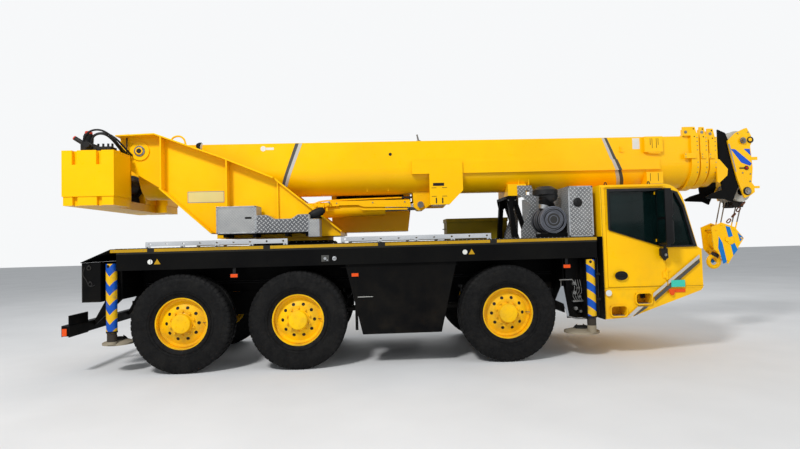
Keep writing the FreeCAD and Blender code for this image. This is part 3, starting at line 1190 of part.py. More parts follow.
def boom_head():
    """The head: a frame plate and a slim cheek on each side, with the sheaves and pins between them."""
    frame_y = boom_half_width(len(SECTION_ENDS) - 1) + SEAT
    cheek_y = frame_y + HEAD_FRAME_T - 1
    outer_y = cheek_y + HEAD_T
    frames = both_sides(prism_xz(HEAD_FRAME, -frame_y - HEAD_FRAME_T, -frame_y))
    cheeks = both_sides(prism_xz(HEAD_CHEEK, -outer_y, -cheek_y))
    lugs = []
    for reach, low, top in HEAD_LUGS:
        lugs += both_sides(block((HEAD_LUG_X, reach), (-outer_y, -cheek_y), (low, top)))
    pins = [rod((x, -outer_y - HEAD_PIN_OUT, z), (x, outer_y + HEAD_PIN_OUT, z), HEAD_PIN_R)
            for x, z, _ in HEAD_SHEAVES]
    x, z, radius = HEAD_FRONT_PIN
    pins.append(rod((x, -outer_y - HEAD_PIN_OUT, z), (x, outer_y + HEAD_PIN_OUT, z), radius))
    sheaves = []
    for x, z, radius in HEAD_SHEAVES:
        for y in HEAD_SHEAVE_Y:
            groove = radius - SHEAVE_GROOVE
            sheaves.append(turned_y([
                (0, -SHEAVE_HALF_W), (radius, -SHEAVE_HALF_W), (groove, -GROOVE_HALF_W),
                (groove, GROOVE_HALF_W), (radius, SHEAVE_HALF_W), (0, SHEAVE_HALF_W)], x, y, z, 1))
    back = block((SECTION_ENDS[-1], SECTION_ENDS[-1] + HEAD_T), (-frame_y - 1, frame_y + 1), HEAD_BACK_Z)
    return join(back, *(frames + cheeks + lugs + pins + sheaves))


def luff_barrel():
    """The luffing cylinder's barrel with its base eye, bored for the rod."""
    axis = luff_axis()
    base = Vector(BARREL_X, 0, BARREL_Z)
    body = Part.makeCylinder(BARREL_R, BARREL_LEN - BARREL_NECK, base + axis * BARREL_NECK, axis)
    neck = Part.makeCylinder(BARREL_NECK_R, BARREL_NECK + 1, base, axis)
    eye = rod((BARREL_X, -BARREL_EYE_W, BARREL_Z), (BARREL_X, BARREL_EYE_W, BARREL_Z), BARREL_EYE_R)
    bore_len = BARREL_LEN - GLAND_T - BARREL_FLOOR
    bore = Part.makeCylinder(BARREL_BORE_R, bore_len, base + axis * BARREL_FLOOR, axis)
    gland = Part.makeCylinder(ROD_R + RUN, 2 * GLAND_T, base + axis * (BARREL_LEN - GLAND_T - 1), axis)
    pin = rod((BARREL_X, -HALF_WIDTH, BARREL_Z), (BARREL_X, HALF_WIDTH, BARREL_Z), LUFF_PIN_R + RUN)
    return join(body, neck, eye).cut(Part.makeCompound([bore, gland])).cut(pin)


def luff_rod():
    """The luffing cylinder's rod, with its piston and the eye that the boom's lugs take."""
    axis = luff_axis()
    base = Vector(BARREL_X, 0, BARREL_Z)
    reach = math.hypot(ROD_EYE_X - BARREL_X, ROD_EYE_Z - BARREL_Z)
    piston = Part.makeCylinder(BARREL_BORE_R - RUN, PISTON_T, base + axis * PISTON_START, axis)
    shaft = Part.makeCylinder(ROD_R, reach - PISTON_START - 1, base + axis * (PISTON_START + 1), axis)
    eye = rod((ROD_EYE_X, -ROD_EYE_W, ROD_EYE_Z), (ROD_EYE_X, ROD_EYE_W, ROD_EYE_Z), ROD_EYE_R)
    bore = rod((ROD_EYE_X, -HALF_WIDTH, ROD_EYE_Z), (ROD_EYE_X, HALF_WIDTH, ROD_EYE_Z), LUFF_PIN_R + 1)
    return join(piston, shaft, eye).cut(bore)


def luff_axis():
    """The luffing cylinder's direction at rest, from its base pin to its rod's eye."""
    return Vector(ROD_EYE_X - BARREL_X, 0, ROD_EYE_Z - BARREL_Z).normalize()


def tangent_point(x, z, radius, end_x, end_z, side):
    """Where a straight rope from the end point leaves a circle, on its nose side (1) or tail side (-1)."""
    reach = math.hypot(end_x - x, end_z - z)
    angle = math.atan2(end_z - z, end_x - x) + side * math.acos(radius / reach)
    return x + radius * math.cos(angle), z + radius * math.sin(angle)


def hook_block():
    """The hook block on its ropes: two cheek plates round its sheaves, with the shank and the hook."""
    cheeks = both_sides(prism_xz(HOOK_CHEEK, -HOOK_HALF_W, -HOOK_HALF_W + HOOK_CHEEK_T))
    pin_y = HOOK_HALF_W + HOOK_PIN_OUT
    pin = rod((HOOK_X, -pin_y, HOOK_Z), (HOOK_X, pin_y, HOOK_Z), HOOK_PIN_R)
    sheaves = [rod((HOOK_X, y - HOOK_SHEAVE_HALF, HOOK_Z), (HOOK_X, y + HOOK_SHEAVE_HALF, HOOK_Z),
                   HOOK_SHEAVE_R) for y in HOOK_SHEAVE_Y]
    shank = rod((HOOK_X, 0, HOOK_Z), (HOOK_EYE_X, 0, HOOK_EYE_Z + HOOK_RING_R), HOOK_SHANK_R)
    bend = Part.makeTorus(HOOK_RING_R, HOOK_BAR_R, Vector(HOOK_EYE_X, 0, HOOK_EYE_Z), Vector(0, 1, 0))
    x, z, radius = HEAD_SHEAVES[1]
    ropes = []
    for side, end_x, end_z in HOOK_ROPES:
        start_x, start_z = tangent_point(x, z, radius - SHEAVE_GROOVE + ROPE_R + SEAT, end_x, end_z, side)
        ropes += [rod((start_x, y, start_z), (end_x, y, end_z), ROPE_R) for y in HOOK_SHEAVE_Y]
    return join(pin, shank, bend, *(cheeks + sheaves + ropes))


def build():
    """Builds and writes every sub-part."""
    os.makedirs("parts", exist_ok=True)
    for axle_name, x in AXLE_X.items():
        for side_name, side in SIDES.items():
            export("tyre_" + axle_name + "_" + side_name, tyre(x, side))
            export("rim_" + axle_name + "_" + side_name, rim(x, side))
            if axle_name in STEERED:
                export("knuckle_" + axle_name + "_" + side_name, knuckle(x, side))
    export("axles", *[axle(name, x) for name, x in AXLE_X.items()])
    for end in LEGS:
        for side_name, side in SIDES.items():
            export("outrigger_beam_" + end + "_" + side_name, outrigger_beam(end, side))
            export("outrigger_jack_" + end + "_" + side_name, jack(end, side))
    export("chassis", chassis())
    export("deck", deck())
    export("deck_rails", *deck_rails())
    export("side_tanks", *side_tanks())
    export("driveline", *driveline())
    export("engine_housing", engine_housing())
    export("air_intake", air_intake())
    export("boom_rest", boom_rest())
    export("storage_box", storage_box())
    export("cab_shell", cab_shell())
    export("cab_floor", cab_floor())
    export("cab_glazing", *cab_glazing())
    export("cab_interior", *cab_interior())
    export("lamps", *lamps())
    for side_name, side in SIDES.items():
        export("cab_door_" + side_name, door(side))
        export("door_glass_" + side_name, door_glass(side))
    export("upper_frame", upper_frame())
    export("counterweight", counterweight())
    export("winch", winch())
    export("side_boxes", side_boxes())
    export("cabin_shell", cabin_shell())
    export("cabin_glazing", *cabin_glazing())
    export("cabin_seat", seat(CABIN_SEAT_X, (CABIN_Y[0] + CABIN_Y[1]) / 2, CABIN_Z[0] + CABIN_WALL))
    export("cabin_door", cabin_door())
    export("cabin_door_glass", prism_xz(CABIN_DOOR_WINDOW, CABIN_Y[1] + CABIN_DOOR_T / 2,
                                        CABIN_Y[1] + CABIN_DOOR_T / 2 + GLASS_T))
    export("boom_base", boom_base())
    horn_y = -boom_half_width(2, COLLAR_GROW)
    horns = both_sides(prism_xz(SECTION_HORN, horn_y, horn_y + EAR_T))
    for level, fittings in ((1, collar_fittings(1)), (2, collar_fittings(2) + horns), (3, ())):
        tail = TELE_TAIL_X + (level - 1) * TELE_TAIL_STEP
        export("boom_section_" + str(level), boom_section(level, tail, SECTION_ENDS[level], fittings))
    export("boom_head", boom_head())
    export("luff_barrel", luff_barrel())
    export("luff_rod", luff_rod())
    export("hook_block", hook_block())


build()
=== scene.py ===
"""The looks of a three-axle mobile crane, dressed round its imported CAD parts.

Metres. Shapes are written in x from the rear axle, y to the crane's left and z from the ground;
Shape.finish moves them to the frame.
"""
import math

import bmesh
import bpy
from mathutils import Matrix, Vector


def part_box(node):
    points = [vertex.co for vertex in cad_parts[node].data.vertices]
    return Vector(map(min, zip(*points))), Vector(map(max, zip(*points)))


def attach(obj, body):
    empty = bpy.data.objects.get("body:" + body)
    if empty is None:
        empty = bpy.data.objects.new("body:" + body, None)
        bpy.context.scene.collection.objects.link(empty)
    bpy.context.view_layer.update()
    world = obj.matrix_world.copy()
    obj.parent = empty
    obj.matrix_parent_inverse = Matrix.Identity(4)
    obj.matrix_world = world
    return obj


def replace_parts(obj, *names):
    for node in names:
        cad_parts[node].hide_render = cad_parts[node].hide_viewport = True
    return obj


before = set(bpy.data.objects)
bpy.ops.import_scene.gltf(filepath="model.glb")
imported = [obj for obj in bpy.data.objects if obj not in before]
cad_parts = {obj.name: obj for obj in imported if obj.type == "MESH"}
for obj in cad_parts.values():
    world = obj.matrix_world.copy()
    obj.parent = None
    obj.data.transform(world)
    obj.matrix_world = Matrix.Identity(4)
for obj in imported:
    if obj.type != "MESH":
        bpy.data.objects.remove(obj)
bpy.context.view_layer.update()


def middle(node):
    """The centre of a CAD node's box."""
    low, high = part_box(node)
    return (low + high) / 2


# Places read from the frame
REAR_AXLE_X = middle("rim_rear_right").x
SIDES = {"right": -1, "left": 1}
AXLES = {name: middle("rim_" + name + "_right").x - REAR_AXLE_X for name in ("rear", "mid", "front")}
WHEEL_R = middle("tyre_rear_right").z
WHEEL_Y = abs(middle("tyre_rear_right").y)
TYRE_HALF_W = (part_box("tyre_rear_right")[1].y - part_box("tyre_rear_right")[0].y) / 2
RIM_R = (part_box("rim_rear_right")[1].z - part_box("rim_rear_right")[0].z) / 2
HUB_OUT_Y = -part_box("rim_rear_right")[0].y
HALF_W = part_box("cab_shell")[1].y

# Places and sizes that several functions share
BOOM_Y = 0.38
PLATE_Y = 0.596
INNER_PLATE_Y = 0.3155
PIVOT_X, PIVOT_Z = -0.81, 3.21
SLEW_X = 1.4
DECK_TOP_Z = 1.7405
DRUM_X, DRUM_Z = 5.3, 2.0
HAT_X, HAT_Y = 5.25, -0.95
CABIN_LEAN, CABIN_SILL_Z = -0.0708, 2.355
TAPE_T = 0.0022
HOSE_R = 0.014

# Directions: out of the right side, across to the left, up and ahead
OUT, ACROSS, UP, AHEAD = (0, -1, 0), (0, 1, 0), (0, 0, 1), (1, 0, 0)

# Camera, worked out from the photograph
IMAGE_W = 800
FOCAL_PX = 528.14
SENSOR_MM = 36.0
CAMERA_AT = (2.715, -8.7, 1.7135)
CAMERA_YAW = math.radians(2.649)
CAMERA_PITCH = math.radians(2.063)
CAMERA_ROLL = math.radians(-1.538)


# Meshes

class Shape:
    """Collects simple solids into one mesh, then makes the piece."""

    def __init__(self):
        self.bm = bmesh.new()

    def skin(self, rings, caps=True):
        """Joins rings of points, which have one length, into a skin."""
        rows = [[self.bm.verts.new(p) for p in ring] for ring in rings]
        count = len(rows[0])
        for a, b in zip(rows, rows[1:]):
            for i in range(count):
                j = (i + 1) % count
                self.bm.faces.new((a[i], a[j], b[j], b[i]))
        if caps:
            self.bm.faces.new(rows[0][::-1])
            self.bm.faces.new(rows[-1])
        return rows

    def box(self, xs, ys, zs):
        """A box between two x, two y and two z values."""
        (x0, x1), (y0, y1), (z0, z1) = sorted(xs), sorted(ys), sorted(zs)
        low = [(x0, y0, z0), (x1, y0, z0), (x1, y1, z0), (x0, y1, z0)]
        self.skin([low, [(x, y, z1) for x, y, _ in low]])
        return self

    def prism_xz(self, outline, y0, y1):
        """An outline of x and z points between two y values."""
        self.skin([[(x, y, z) for x, z in outline] for y in (y0, y1)])
        return self

    def prism_yz(self, outline, x0, x1):
        """An outline of y and z points between two x values."""
        self.skin([[(x, y, z) for y, z in outline] for x in (x0, x1)])
        return self

    def prism_xy(self, outline, z0, z1):
        """An outline of x and y points between two z values."""
        self.skin([[(x, y, z) for x, y in outline] for z in (z0, z1)])
        return self

    def rod(self, start, end, radius, end_radius=None, sides=24):
        """A round bar or cone between two points."""
        start, end = Vector(start), Vector(end)
        turn = (end - start).to_track_quat("Z", "Y").to_matrix()
        rings = []
        for centre, r in ((start, radius), (end, radius if end_radius is None else end_radius)):
            rings.append([centre + turn @ Vector((r * math.cos(a), r * math.sin(a), 0)) for a in angles(sides)])
        self.skin(rings)
        return self

    def turned(self, profile, centre, axis, sides=48):
        """A turned piece; the profile holds radius and distance along the axis."""
        turn = Vector(axis).to_track_quat("Z", "Y").to_matrix()
        centre = Vector(centre)
        rings = [[centre + turn @ Vector((r * math.cos(a), r * math.sin(a), h)) for a in angles(sides)]
                 for r, h in profile]
        self.skin(rings)
        return self

    def ring(self, profile, centre, axis, sides=48):
        """A turned ring with a closed profile round its section."""
        turn = Vector(axis).to_track_quat("Z", "Y").to_matrix()
        centre = Vector(centre)
        rings = [[centre + turn @ Vector((r * math.cos(a), r * math.sin(a), h)) for r, h in profile]
                 for a in angles(sides)]
        rows = self.skin(rings, caps=False)
        for i in range(len(profile)):
            j = (i + 1) % len(profile)
            self.bm.faces.new((rows[-1][i], rows[-1][j], rows[0][j], rows[0][i]))
        return self

    def disc(self, radius, height, centre, axis, sides=48):
        """A flat round disc."""
        return self.turned([(0, 0), (radius, 0), (radius, height), (0, height)], centre, axis, sides)

    def hoop(self, inner, outer, half, centre, axis, sides=48):
        """A ring with a square section."""
        return self.ring([(inner, -half), (outer, -half), (outer, half), (inner, half)], centre, axis, sides)

    def frame_xz(self, outer, inner, y0, y1):
        """A flat frame between two outlines of x and z points, which have one length."""
        rings = [[(ox, y0, oz), (ox, y1, oz), (ix, y1, iz), (ix, y0, iz)]
                 for (ox, oz), (ix, iz) in zip(outer, inner)]
        rows = self.skin(rings, caps=False)
        for i in range(4):
            j = (i + 1) % 4
            self.bm.faces.new((rows[-1][i], rows[-1][j], rows[0][j], rows[0][i]))
        return self

    def frame_yz(self, outer, inner, x0, x1):
        """A flat frame between two outlines of y and z points, which have one length."""
        start = len(self.bm.verts)
        self.frame_xz(outer, inner, x0, x1)
        self.bm.verts.ensure_lookup_table()
        for v in self.bm.verts[start:]:
            v.co.x, v.co.y = v.co.y, v.co.x
        return self

    def bolt(self, at, axis, radius, height):
        """A hexagonal bolt head or nut."""
        at = Vector(at)
        return self.rod(at, at + Vector(axis).normalized() * height, radius, sides=6)

    def pipe(self, points, radius, sides=12):
        """A round tube along a path of points, closed at its ends."""
        points = [Vector(p) for p in points]
        rings = []
        up = Vector(UP)
        for i, p in enumerate(points):
            along = (points[min(i + 1, len(points) - 1)] - points[max(i - 1, 0)]).normalized()
            side = along.cross(up)
            if side.length < 0.2:
                side = along.cross(Vector(ACROSS))
            side.normalize()
            top = side.cross(along).normalized()
            rings.append([p + side * radius * math.cos(a) + top * radius * math.sin(a) for a in angles(sides)])
        self.skin(rings)
        return self

    def mirrored(self):
        """Adds the mirror image across the middle of the crane."""
        copy = bmesh.ops.duplicate(self.bm, geom=self.bm.verts[:] + self.bm.edges[:] + self.bm.faces[:])["geom"]
        for v in (g for g in copy if isinstance(g, bmesh.types.BMVert)):
            v.co.y = -v.co.y
        return self

    def finish(self, name, material, body, bevel=0, smooth=35):
        """Makes the piece: closed normals, a bevel where one is asked for, and it rides on its body."""
        for v in self.bm.verts:
            v.co.x += REAR_AXLE_X
        bmesh.ops.recalc_face_normals(self.bm, faces=self.bm.faces[:])
        mesh = bpy.data.meshes.new(name)
        self.bm.to_mesh(mesh)
        self.bm.free()
        mesh.materials.append(material)
        mesh.shade_smooth()
        mesh.set_sharp_from_angle(angle=math.radians(smooth))
        piece = bpy.data.objects.new(name, mesh)
        bpy.context.scene.collection.objects.link(piece)
        if bevel:
            edge = piece.modifiers.new("edge", "BEVEL")
            edge.width = bevel
            edge.segments = 2
            edge.limit_method = "ANGLE"
            edge.angle_limit = math.radians(smooth)
            edge.harden_normals = True
        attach(piece, body)
        return piece


def angles(count):
    """Evenly spaced angles round a circle."""
    return [2 * math.pi * i / count for i in range(count)]


def steps(first, last, count):
    """Evenly spaced values from first to last."""
    return [first + (last - first) * i / (count - 1) for i in range(count)]


def arc(centre, radius, start, end, count):
    """Points on an arc, by degrees."""
    return [(centre[0] + radius * math.cos(math.radians(a)), centre[1] + radius * math.sin(math.radians(a)))
            for a in steps(start, end, count)]


def smooth_path(points, per_span=8):
    """A rounded path through a few points."""
    points = [Vector(p) for p in points]
    ends = [2 * points[0] - points[1]] + points + [2 * points[-1] - points[-2]]
    path = []
    for i in range(1, len(ends) - 2):
        p0, p1, p2, p3 = ends[i - 1:i + 3]
        for t in (k / per_span for k in range(per_span)):
            path.append(0.5 * (2 * p1 + (p2 - p0) * t + (2 * p0 - 5 * p1 + 4 * p2 - p3) * t ** 2
                               + (3 * p1 - p0 - 3 * p2 + p3) * t ** 3))
    return path + [points[-1]]


# Materials

class Nodes:
    """A short way to build a material's node tree."""

    def __init__(self, name, slot):
        self.material = bpy.data.materials.new(name)
        self.material.use_nodes = True
        self.material["slot"] = slot
        self.tree = self.material.node_tree
        self.shader = self.tree.nodes["Principled BSDF"]
        self.place = self.tree.nodes.new("ShaderNodeTexCoord").outputs["Object"]

    def add(self, kind, inputs=None, **settings):
        """Adds a node, sets its settings, and links or sets its inputs."""
        node = self.tree.nodes.new(kind)
        for key, value in settings.items():
            setattr(node, key, value)
        for key, value in (inputs or {}).items():
            self.put(node.inputs[key], value)
        return node

    def put(self, socket, value):
        """Links an output to a socket, or sets the socket's value."""
        if isinstance(value, bpy.types.NodeSocket):
            self.tree.links.new(value, socket)
        else:
            socket.default_value = value

    def noise(self, scale, detail=4.0):
        """A noise value in object space."""
        return self.add("ShaderNodeTexNoise", {"Vector": self.place, "Scale": scale, "Detail": detail,
                                               "Roughness": 0.55}).outputs["Fac"]

    def math(self, operation, a, b=0.0, clamp=False):
        """One sum."""
        return self.add("ShaderNodeMath", {0: a, 1: b}, operation=operation, use_clamp=clamp).outputs[0]

    def range(self, value, low, high, to_low=0.0, to_high=1.0):
        """Maps a value from one range to another."""
        return self.add("ShaderNodeMapRange", {"Value": value, "From Min": low, "From Max": high, "To Min": to_low,
                                               "To Max": to_high}).outputs["Result"]

    def mix(self, fac, a, b):
        """Mixes two colours."""
        node = self.add("ShaderNodeMix", data_type="RGBA")
        self.put(node.inputs[0], fac)
        self.put(node.inputs[6], a)
        self.put(node.inputs[7], b)
        return node.outputs[2]

    def axis(self, name):
        """One coordinate of the place."""
        return self.add("ShaderNodeSeparateXYZ", {0: self.place}).outputs[name]

    def bump(self, height, strength, distance=0.002):
        """Gives the shader a bump."""
        normal = self.add("ShaderNodeBump", {"Height": height, "Strength": strength, "Distance": distance})
        self.put(self.shader.inputs["Normal"], normal.outputs["Normal"])

    def set(self, **values):
        """Sets the shader's inputs."""
        for key, value in values.items():
            self.put(self.shader.inputs[key.replace("_", " ")], value)


def rgb(r, g, b):
    """A colour from its screen values, 0 to 255."""
    def linear(v):
        v /= 255
        return v / 12.92 if v <= 0.04045 else ((v + 0.055) / 1.055) ** 2.4
    return (linear(r), linear(g), linear(b), 1.0)


def paint(name, slot, colour, shade, rough=0.32, coat=0.06, dirt=0.35, low_z=0.2, high_z=1.6, shine=0.15, mask=None,
          mask_colour=None):
    """Paint with slow colour drift, dust low down, small specks and, where a mask says so, a second colour."""
    n = Nodes(name, slot)
    drift = n.range(n.noise(1.3, 3.0), 0.35, 0.7)
    tone = n.mix(drift, colour, shade)
    low = n.range(n.axis("Z"), low_z, high_z, 1.0, 0.0)
    dust = n.math("MULTIPLY", n.math("MULTIPLY", low, n.range(n.noise(5.0, 6.0), 0.42, 0.75)), dirt, clamp=True)
    tone = n.mix(dust, tone, rgb(96, 84, 66))
    specks = n.math("MULTIPLY", n.range(n.noise(160.0, 2.0), 0.7, 0.76), 0.35)
    tone = n.mix(specks, tone, shade)
    if mask:
        tone = n.mix(mask(n), tone, mask_colour)
    n.set(Base_Color=tone, Roughness=n.range(n.noise(9.0, 5.0), 0.3, 0.7, rough - 0.07, rough + 0.13),
          Coat_Weight=coat, Coat_Roughness=0.12, Specular_IOR_Level=shine)
    n.bump(n.noise(260.0, 1.0), 0.05, 0.0006)
    return n.material


def metal(name, slot, colour, shade, rough=0.4, scale=12.0):
    """Bare metal with smears and a fine grain."""
    n = Nodes(name, slot)
    smear = n.noise(scale, 6.0)
    n.set(Base_Color=n.mix(n.range(smear, 0.35, 0.7), colour, shade), Metallic=1.0,
          Roughness=n.range(smear, 0.3, 0.7, rough - 0.1, rough + 0.15))
    n.bump(n.noise(scale * 18, 3.0), 0.12, 0.0006)
    return n.material


def plain_part(name, slot, colour, shade, rough=0.6, grain=420.0, strength=0.15):
    """Moulded plastic or dull coated metal with a fine grain."""
    n = Nodes(name, slot)
    n.set(Base_Color=n.mix(n.range(n.noise(4.0, 5.0), 0.35, 0.7), colour, shade),
          Roughness=n.range(n.noise(14.0, 4.0), 0.3, 0.7, rough - 0.08, rough + 0.1), Specular_IOR_Level=0.25)
    n.bump(n.noise(grain, 2.0), strength, 0.0006)
    return n.material


def rubber():
    """Tyre rubber: dark, dusty in patches, with browner flecks."""
    n = Nodes("tyre_rubber", "tyre")
    dust = n.range(n.noise(6.0, 7.0), 0.45, 0.72)
    tone = n.mix(dust, rgb(7, 7, 8), rgb(22, 21, 20))
    n.set(Base_Color=n.mix(n.math("MULTIPLY", n.range(n.noise(40.0, 3.0), 0.5, 0.7), 0.3), tone, rgb(38, 36, 33)),
          Roughness=n.range(n.noise(18.0, 5.0), 0.3, 0.7, 0.62, 0.88), Specular_IOR_Level=0.2)
    n.bump(n.noise(120.0, 4.0), 0.35, 0.0012)
    return n.material


def tread_plate(name, slot, pitch=11.5, base=rgb(140, 142, 144), shade=rgb(104, 108, 112)):
    """Aluminium plate with raised diagonal bars in both directions, the bars painted near white as a painted
    highlight.
    """
    n = Nodes(name, slot)
    x, y, z = (n.axis(a) for a in "XYZ")
    across = n.math("ADD", x, y)
    a = n.math("MULTIPLY", n.math("ADD", across, z), pitch)
    b = n.math("MULTIPLY", n.math("SUBTRACT", across, z), pitch)
    cell = n.math("ADD", n.math("FLOOR", a), n.math("FLOOR", b))
    odd = n.math("GREATER_THAN", n.math("PINGPONG", cell, 1.0), 0.5)
    fa, fb = n.math("SUBTRACT", n.math("FRACT", a), 0.5), n.math("SUBTRACT", n.math("FRACT", b), 0.5)
    wide_a = n.math("ADD", n.math("MULTIPLY", fa, fa), n.math("MULTIPLY", n.math("MULTIPLY", fb, fb), 9.0))
    wide_b = n.math("ADD", n.math("MULTIPLY", fb, fb), n.math("MULTIPLY", n.math("MULTIPLY", fa, fa), 9.0))
    picked = n.add("ShaderNodeMix", data_type="FLOAT")
    n.put(picked.inputs[0], odd)
    n.put(picked.inputs[2], wide_a)
    n.put(picked.inputs[3], wide_b)
    bar = n.range(picked.outputs[0], 0.16, 0.22, 1.0, 0.0)
    grime = n.range(n.noise(7.0, 6.0), 0.35, 0.72)
    tone = n.mix(grime, base, shade)
    # the raised bars are painted near white: a painted highlight
    n.set(Base_Color=n.mix(bar, tone, rgb(196, 197, 196)), Metallic=0.2,
          Roughness=n.range(bar, 0.0, 1.0, 0.5, 0.3))
    n.bump(bar, 0.9, 0.0025)
    return n.material


def striped(name, slot, first, second, pitch, slope, leg_x, chevron=False):
    """A leg's paint in two colours, diagonal bands or chevrons, and black on the beam behind the leg."""
    n = Nodes(name, slot)
    x = n.math("SUBTRACT", n.axis("X"), leg_x + REAR_AXLE_X)
    off = n.math("GREATER_THAN", n.math("ABSOLUTE", x), 0.0725)
    if chevron:
        x = n.math("ABSOLUTE", n.math("SUBTRACT", x, 0.006))
    run = n.math("ADD", n.math("MULTIPLY", x, slope), n.math("SUBTRACT", n.axis("Z"), 0.055 if chevron else 0.0))
    band = n.math("GREATER_THAN", n.math("FRACT", n.math("DIVIDE", run, pitch)), 0.5)
    tone = n.mix(band, first, second)
    worn = n.math("MULTIPLY", n.range(n.noise(11.0, 7.0), 0.55, 0.72), 0.55)
    n.set(Base_Color=n.mix(off, n.mix(worn, tone, rgb(110, 104, 88)), rgb(10, 10, 11)),
          Roughness=n.range(n.noise(20.0, 4.0), 0.3, 0.7, 0.35, 0.6),
          Specular_IOR_Level=0.25)
    n.bump(n.noise(90.0, 5.0), 0.12, 0.0008)
    return n.material


def glass(name, slot, colour):
    """Dark tinted glass with faint dust."""
    n = Nodes(name, slot)
    n.set(Base_Color=n.mix(n.range(n.noise(3.0, 5.0), 0.4, 0.8), colour, rgb(16, 34, 34)), IOR=1.5, Alpha=0.86,
          Roughness=n.range(n.noise(8.0, 5.0), 0.3, 0.8, 0.04, 0.12), Specular_IOR_Level=0.14)
    return n.material


def lens(name, slot, colour, shade, by_place=False):
    """A ribbed lamp lens; by place it is red at the rear and clear at the front."""
    n = Nodes(name, slot)
    ribs = n.math("SINE", n.math("MULTIPLY", n.axis("Z"), 900.0))
    tone = n.mix(n.range(ribs, -1.0, 1.0), colour, shade)
    if by_place:
        tone = n.mix(n.math("LESS_THAN", n.axis("X"), REAR_AXLE_X), tone, rgb(180, 16, 12))
        tone = n.mix(n.math("GREATER_THAN", n.axis("X"), REAR_AXLE_X + 7.39), tone, rgb(214, 218, 222))
    n.set(Base_Color=tone, Roughness=0.16, Specular_IOR_Level=0.3, Coat_Weight=0.15,
          Coat_Roughness=0.05)
    n.bump(ribs, 0.2, 0.0006)
    return n.material


def cloth(name, slot, colour, shade):
    """Woven seat cloth."""
    n = Nodes(name, slot)
    weave = n.math("MULTIPLY", n.math("SINE", n.math("MULTIPLY", n.axis("X"), 1500.0)),
                   n.math("SINE", n.math("MULTIPLY", n.math("ADD", n.axis("Y"), n.axis("Z")), 1500.0)))
    n.set(Base_Color=n.mix(n.range(weave, -1.0, 1.0), colour, shade), Roughness=0.9, Sheen_Weight=0.3)
    n.bump(weave, 0.4, 0.0008)
    return n.material


def above(limit):
    """A mask of what lies higher than a limit."""
    return lambda n: n.math("GREATER_THAN", n.axis("Z"), limit)


def head_inside_shade(n):
    """A mask of the boom head's inner plates and of its sheaves, which are painted black as the shade inside the head.
    """
    return n.math("LESS_THAN", n.math("ABSOLUTE", n.axis("Y")), INNER_PLATE_Y)


def mirror_block(n):
    """A mask of the mirror on a cab door."""
    out = n.math("GREATER_THAN", n.math("ABSOLUTE", n.axis("Y")), HALF_W + 0.0012)
    return n.math("MULTIPLY", out, n.math("GREATER_THAN", n.axis("Z"), 1.5))


YELLOW_TONES = (rgb(255, 197, 0), rgb(252, 188, 0))
YELLOW = paint("crane_yellow", "body_yellow", *YELLOW_TONES)
DOOR_YELLOW = paint("door_yellow", "body_yellow", *YELLOW_TONES, mask=mirror_block, mask_colour=rgb(12, 12, 13))
HOOK_YELLOW = paint("hook_yellow", "body_yellow", *YELLOW_TONES, mask=above(1.925), mask_colour=rgb(128, 118, 104))
# the head's inner plates and sheaves are painted black: painted shade inside the head
HEAD_YELLOW = paint("head_yellow", "body_yellow", *YELLOW_TONES, mask=head_inside_shade, mask_colour=rgb(16, 16, 17))
WHEEL_YELLOW = paint("wheel_yellow", "wheel_yellow", rgb(255, 200, 2), rgb(244, 184, 4), rough=0.42, coat=0.1,
                     dirt=0.75, low_z=-0.2, high_z=1.5)
BLACK = paint("chassis_black", "chassis_black", rgb(8, 8, 9), rgb(14, 14, 14), rough=0.45, coat=0.0, dirt=0.1,
              shine=0.06)
DECK = paint("deck_dark", "deck_grey", rgb(9, 9, 10), rgb(16, 16, 15), rough=0.6, coat=0.0, dirt=0.1, shine=0.06,
             mask=above(1.664), mask_colour=rgb(40, 39, 36))
CASTING = plain_part("dark_casting", "dark_steel", rgb(26, 26, 27), rgb(46, 43, 39), rough=0.62, grain=90.0,
                     strength=0.3)
ALLOY = metal("bare_aluminium", "rail_metal", rgb(196, 198, 200), rgb(150, 152, 154), rough=0.42)
RAIL = paint("rail_silver", "rail_metal", rgb(206, 209, 212), rgb(182, 185, 188), rough=0.5, coat=0.0, dirt=0.1,
             shine=0.3)
TREAD = tread_plate("tread_plate", "tread_plate", 17.0, rgb(126, 127, 128), rgb(102, 104, 106))
FINE_TREAD = tread_plate("fine_tread_plate", "tread_plate", 24.0, rgb(162, 162, 160), rgb(136, 137, 138))
DARK_TREAD = tread_plate("deck_tread_plate", "deck_grey", 17.0, rgb(60, 61, 64), rgb(40, 41, 43))
COARSE_TREAD = tread_plate("coarse_tread_plate", "tread_plate", 16.0, rgb(100, 101, 104), rgb(78, 80, 84))
FILTER = plain_part("filter_moulding", "filter_grey", rgb(112, 115, 124), rgb(92, 95, 103), rough=0.5)
HAT = plain_part("intake_dark", "filter_grey", rgb(38, 38, 39), rgb(52, 51, 50), rough=0.45)
CREAM = paint("pad_cream", "pad_cream", rgb(176, 166, 146), rgb(138, 126, 106), rough=0.6, coat=0.0, dirt=0.3,
              mask=above(0.472), mask_colour=rgb(58, 52, 46))
# the stowage box's yellow is darkened to olive: painted shade
SHADED_BOX_YELLOW = paint("box_yellow_painted_shade", "olive", rgb(150, 132, 20), rgb(122, 108, 22), rough=0.5, coat=0.0)
GLASS = glass("dark_glass", "glass_dark", rgb(5, 22, 21))
TRIM = plain_part("black_trim", "trim_black", rgb(14, 14, 15), rgb(24, 24, 25))
SEAT_CLOTH = cloth("seat_cloth", "seat_fabric", rgb(52, 54, 60), rgb(78, 80, 88))
ORANGE = lens("orange_lens", "lamp_orange", rgb(240, 88, 4), rgb(214, 64, 2))
LAMPS = lens("vehicle_lamps", "lamp_orange", rgb(240, 88, 4), rgb(214, 64, 2), by_place=True)
RED_TAPE = paint("red_tape", "lamp_orange", rgb(190, 30, 22), rgb(168, 24, 18), rough=0.45, coat=0.1, dirt=0.1)
RED = lens("red_lens", "lamp_orange", rgb(190, 22, 16), rgb(140, 12, 10))
CLEAR = lens("clear_lens", "rail_metal", rgb(226, 230, 234), rgb(186, 192, 200))
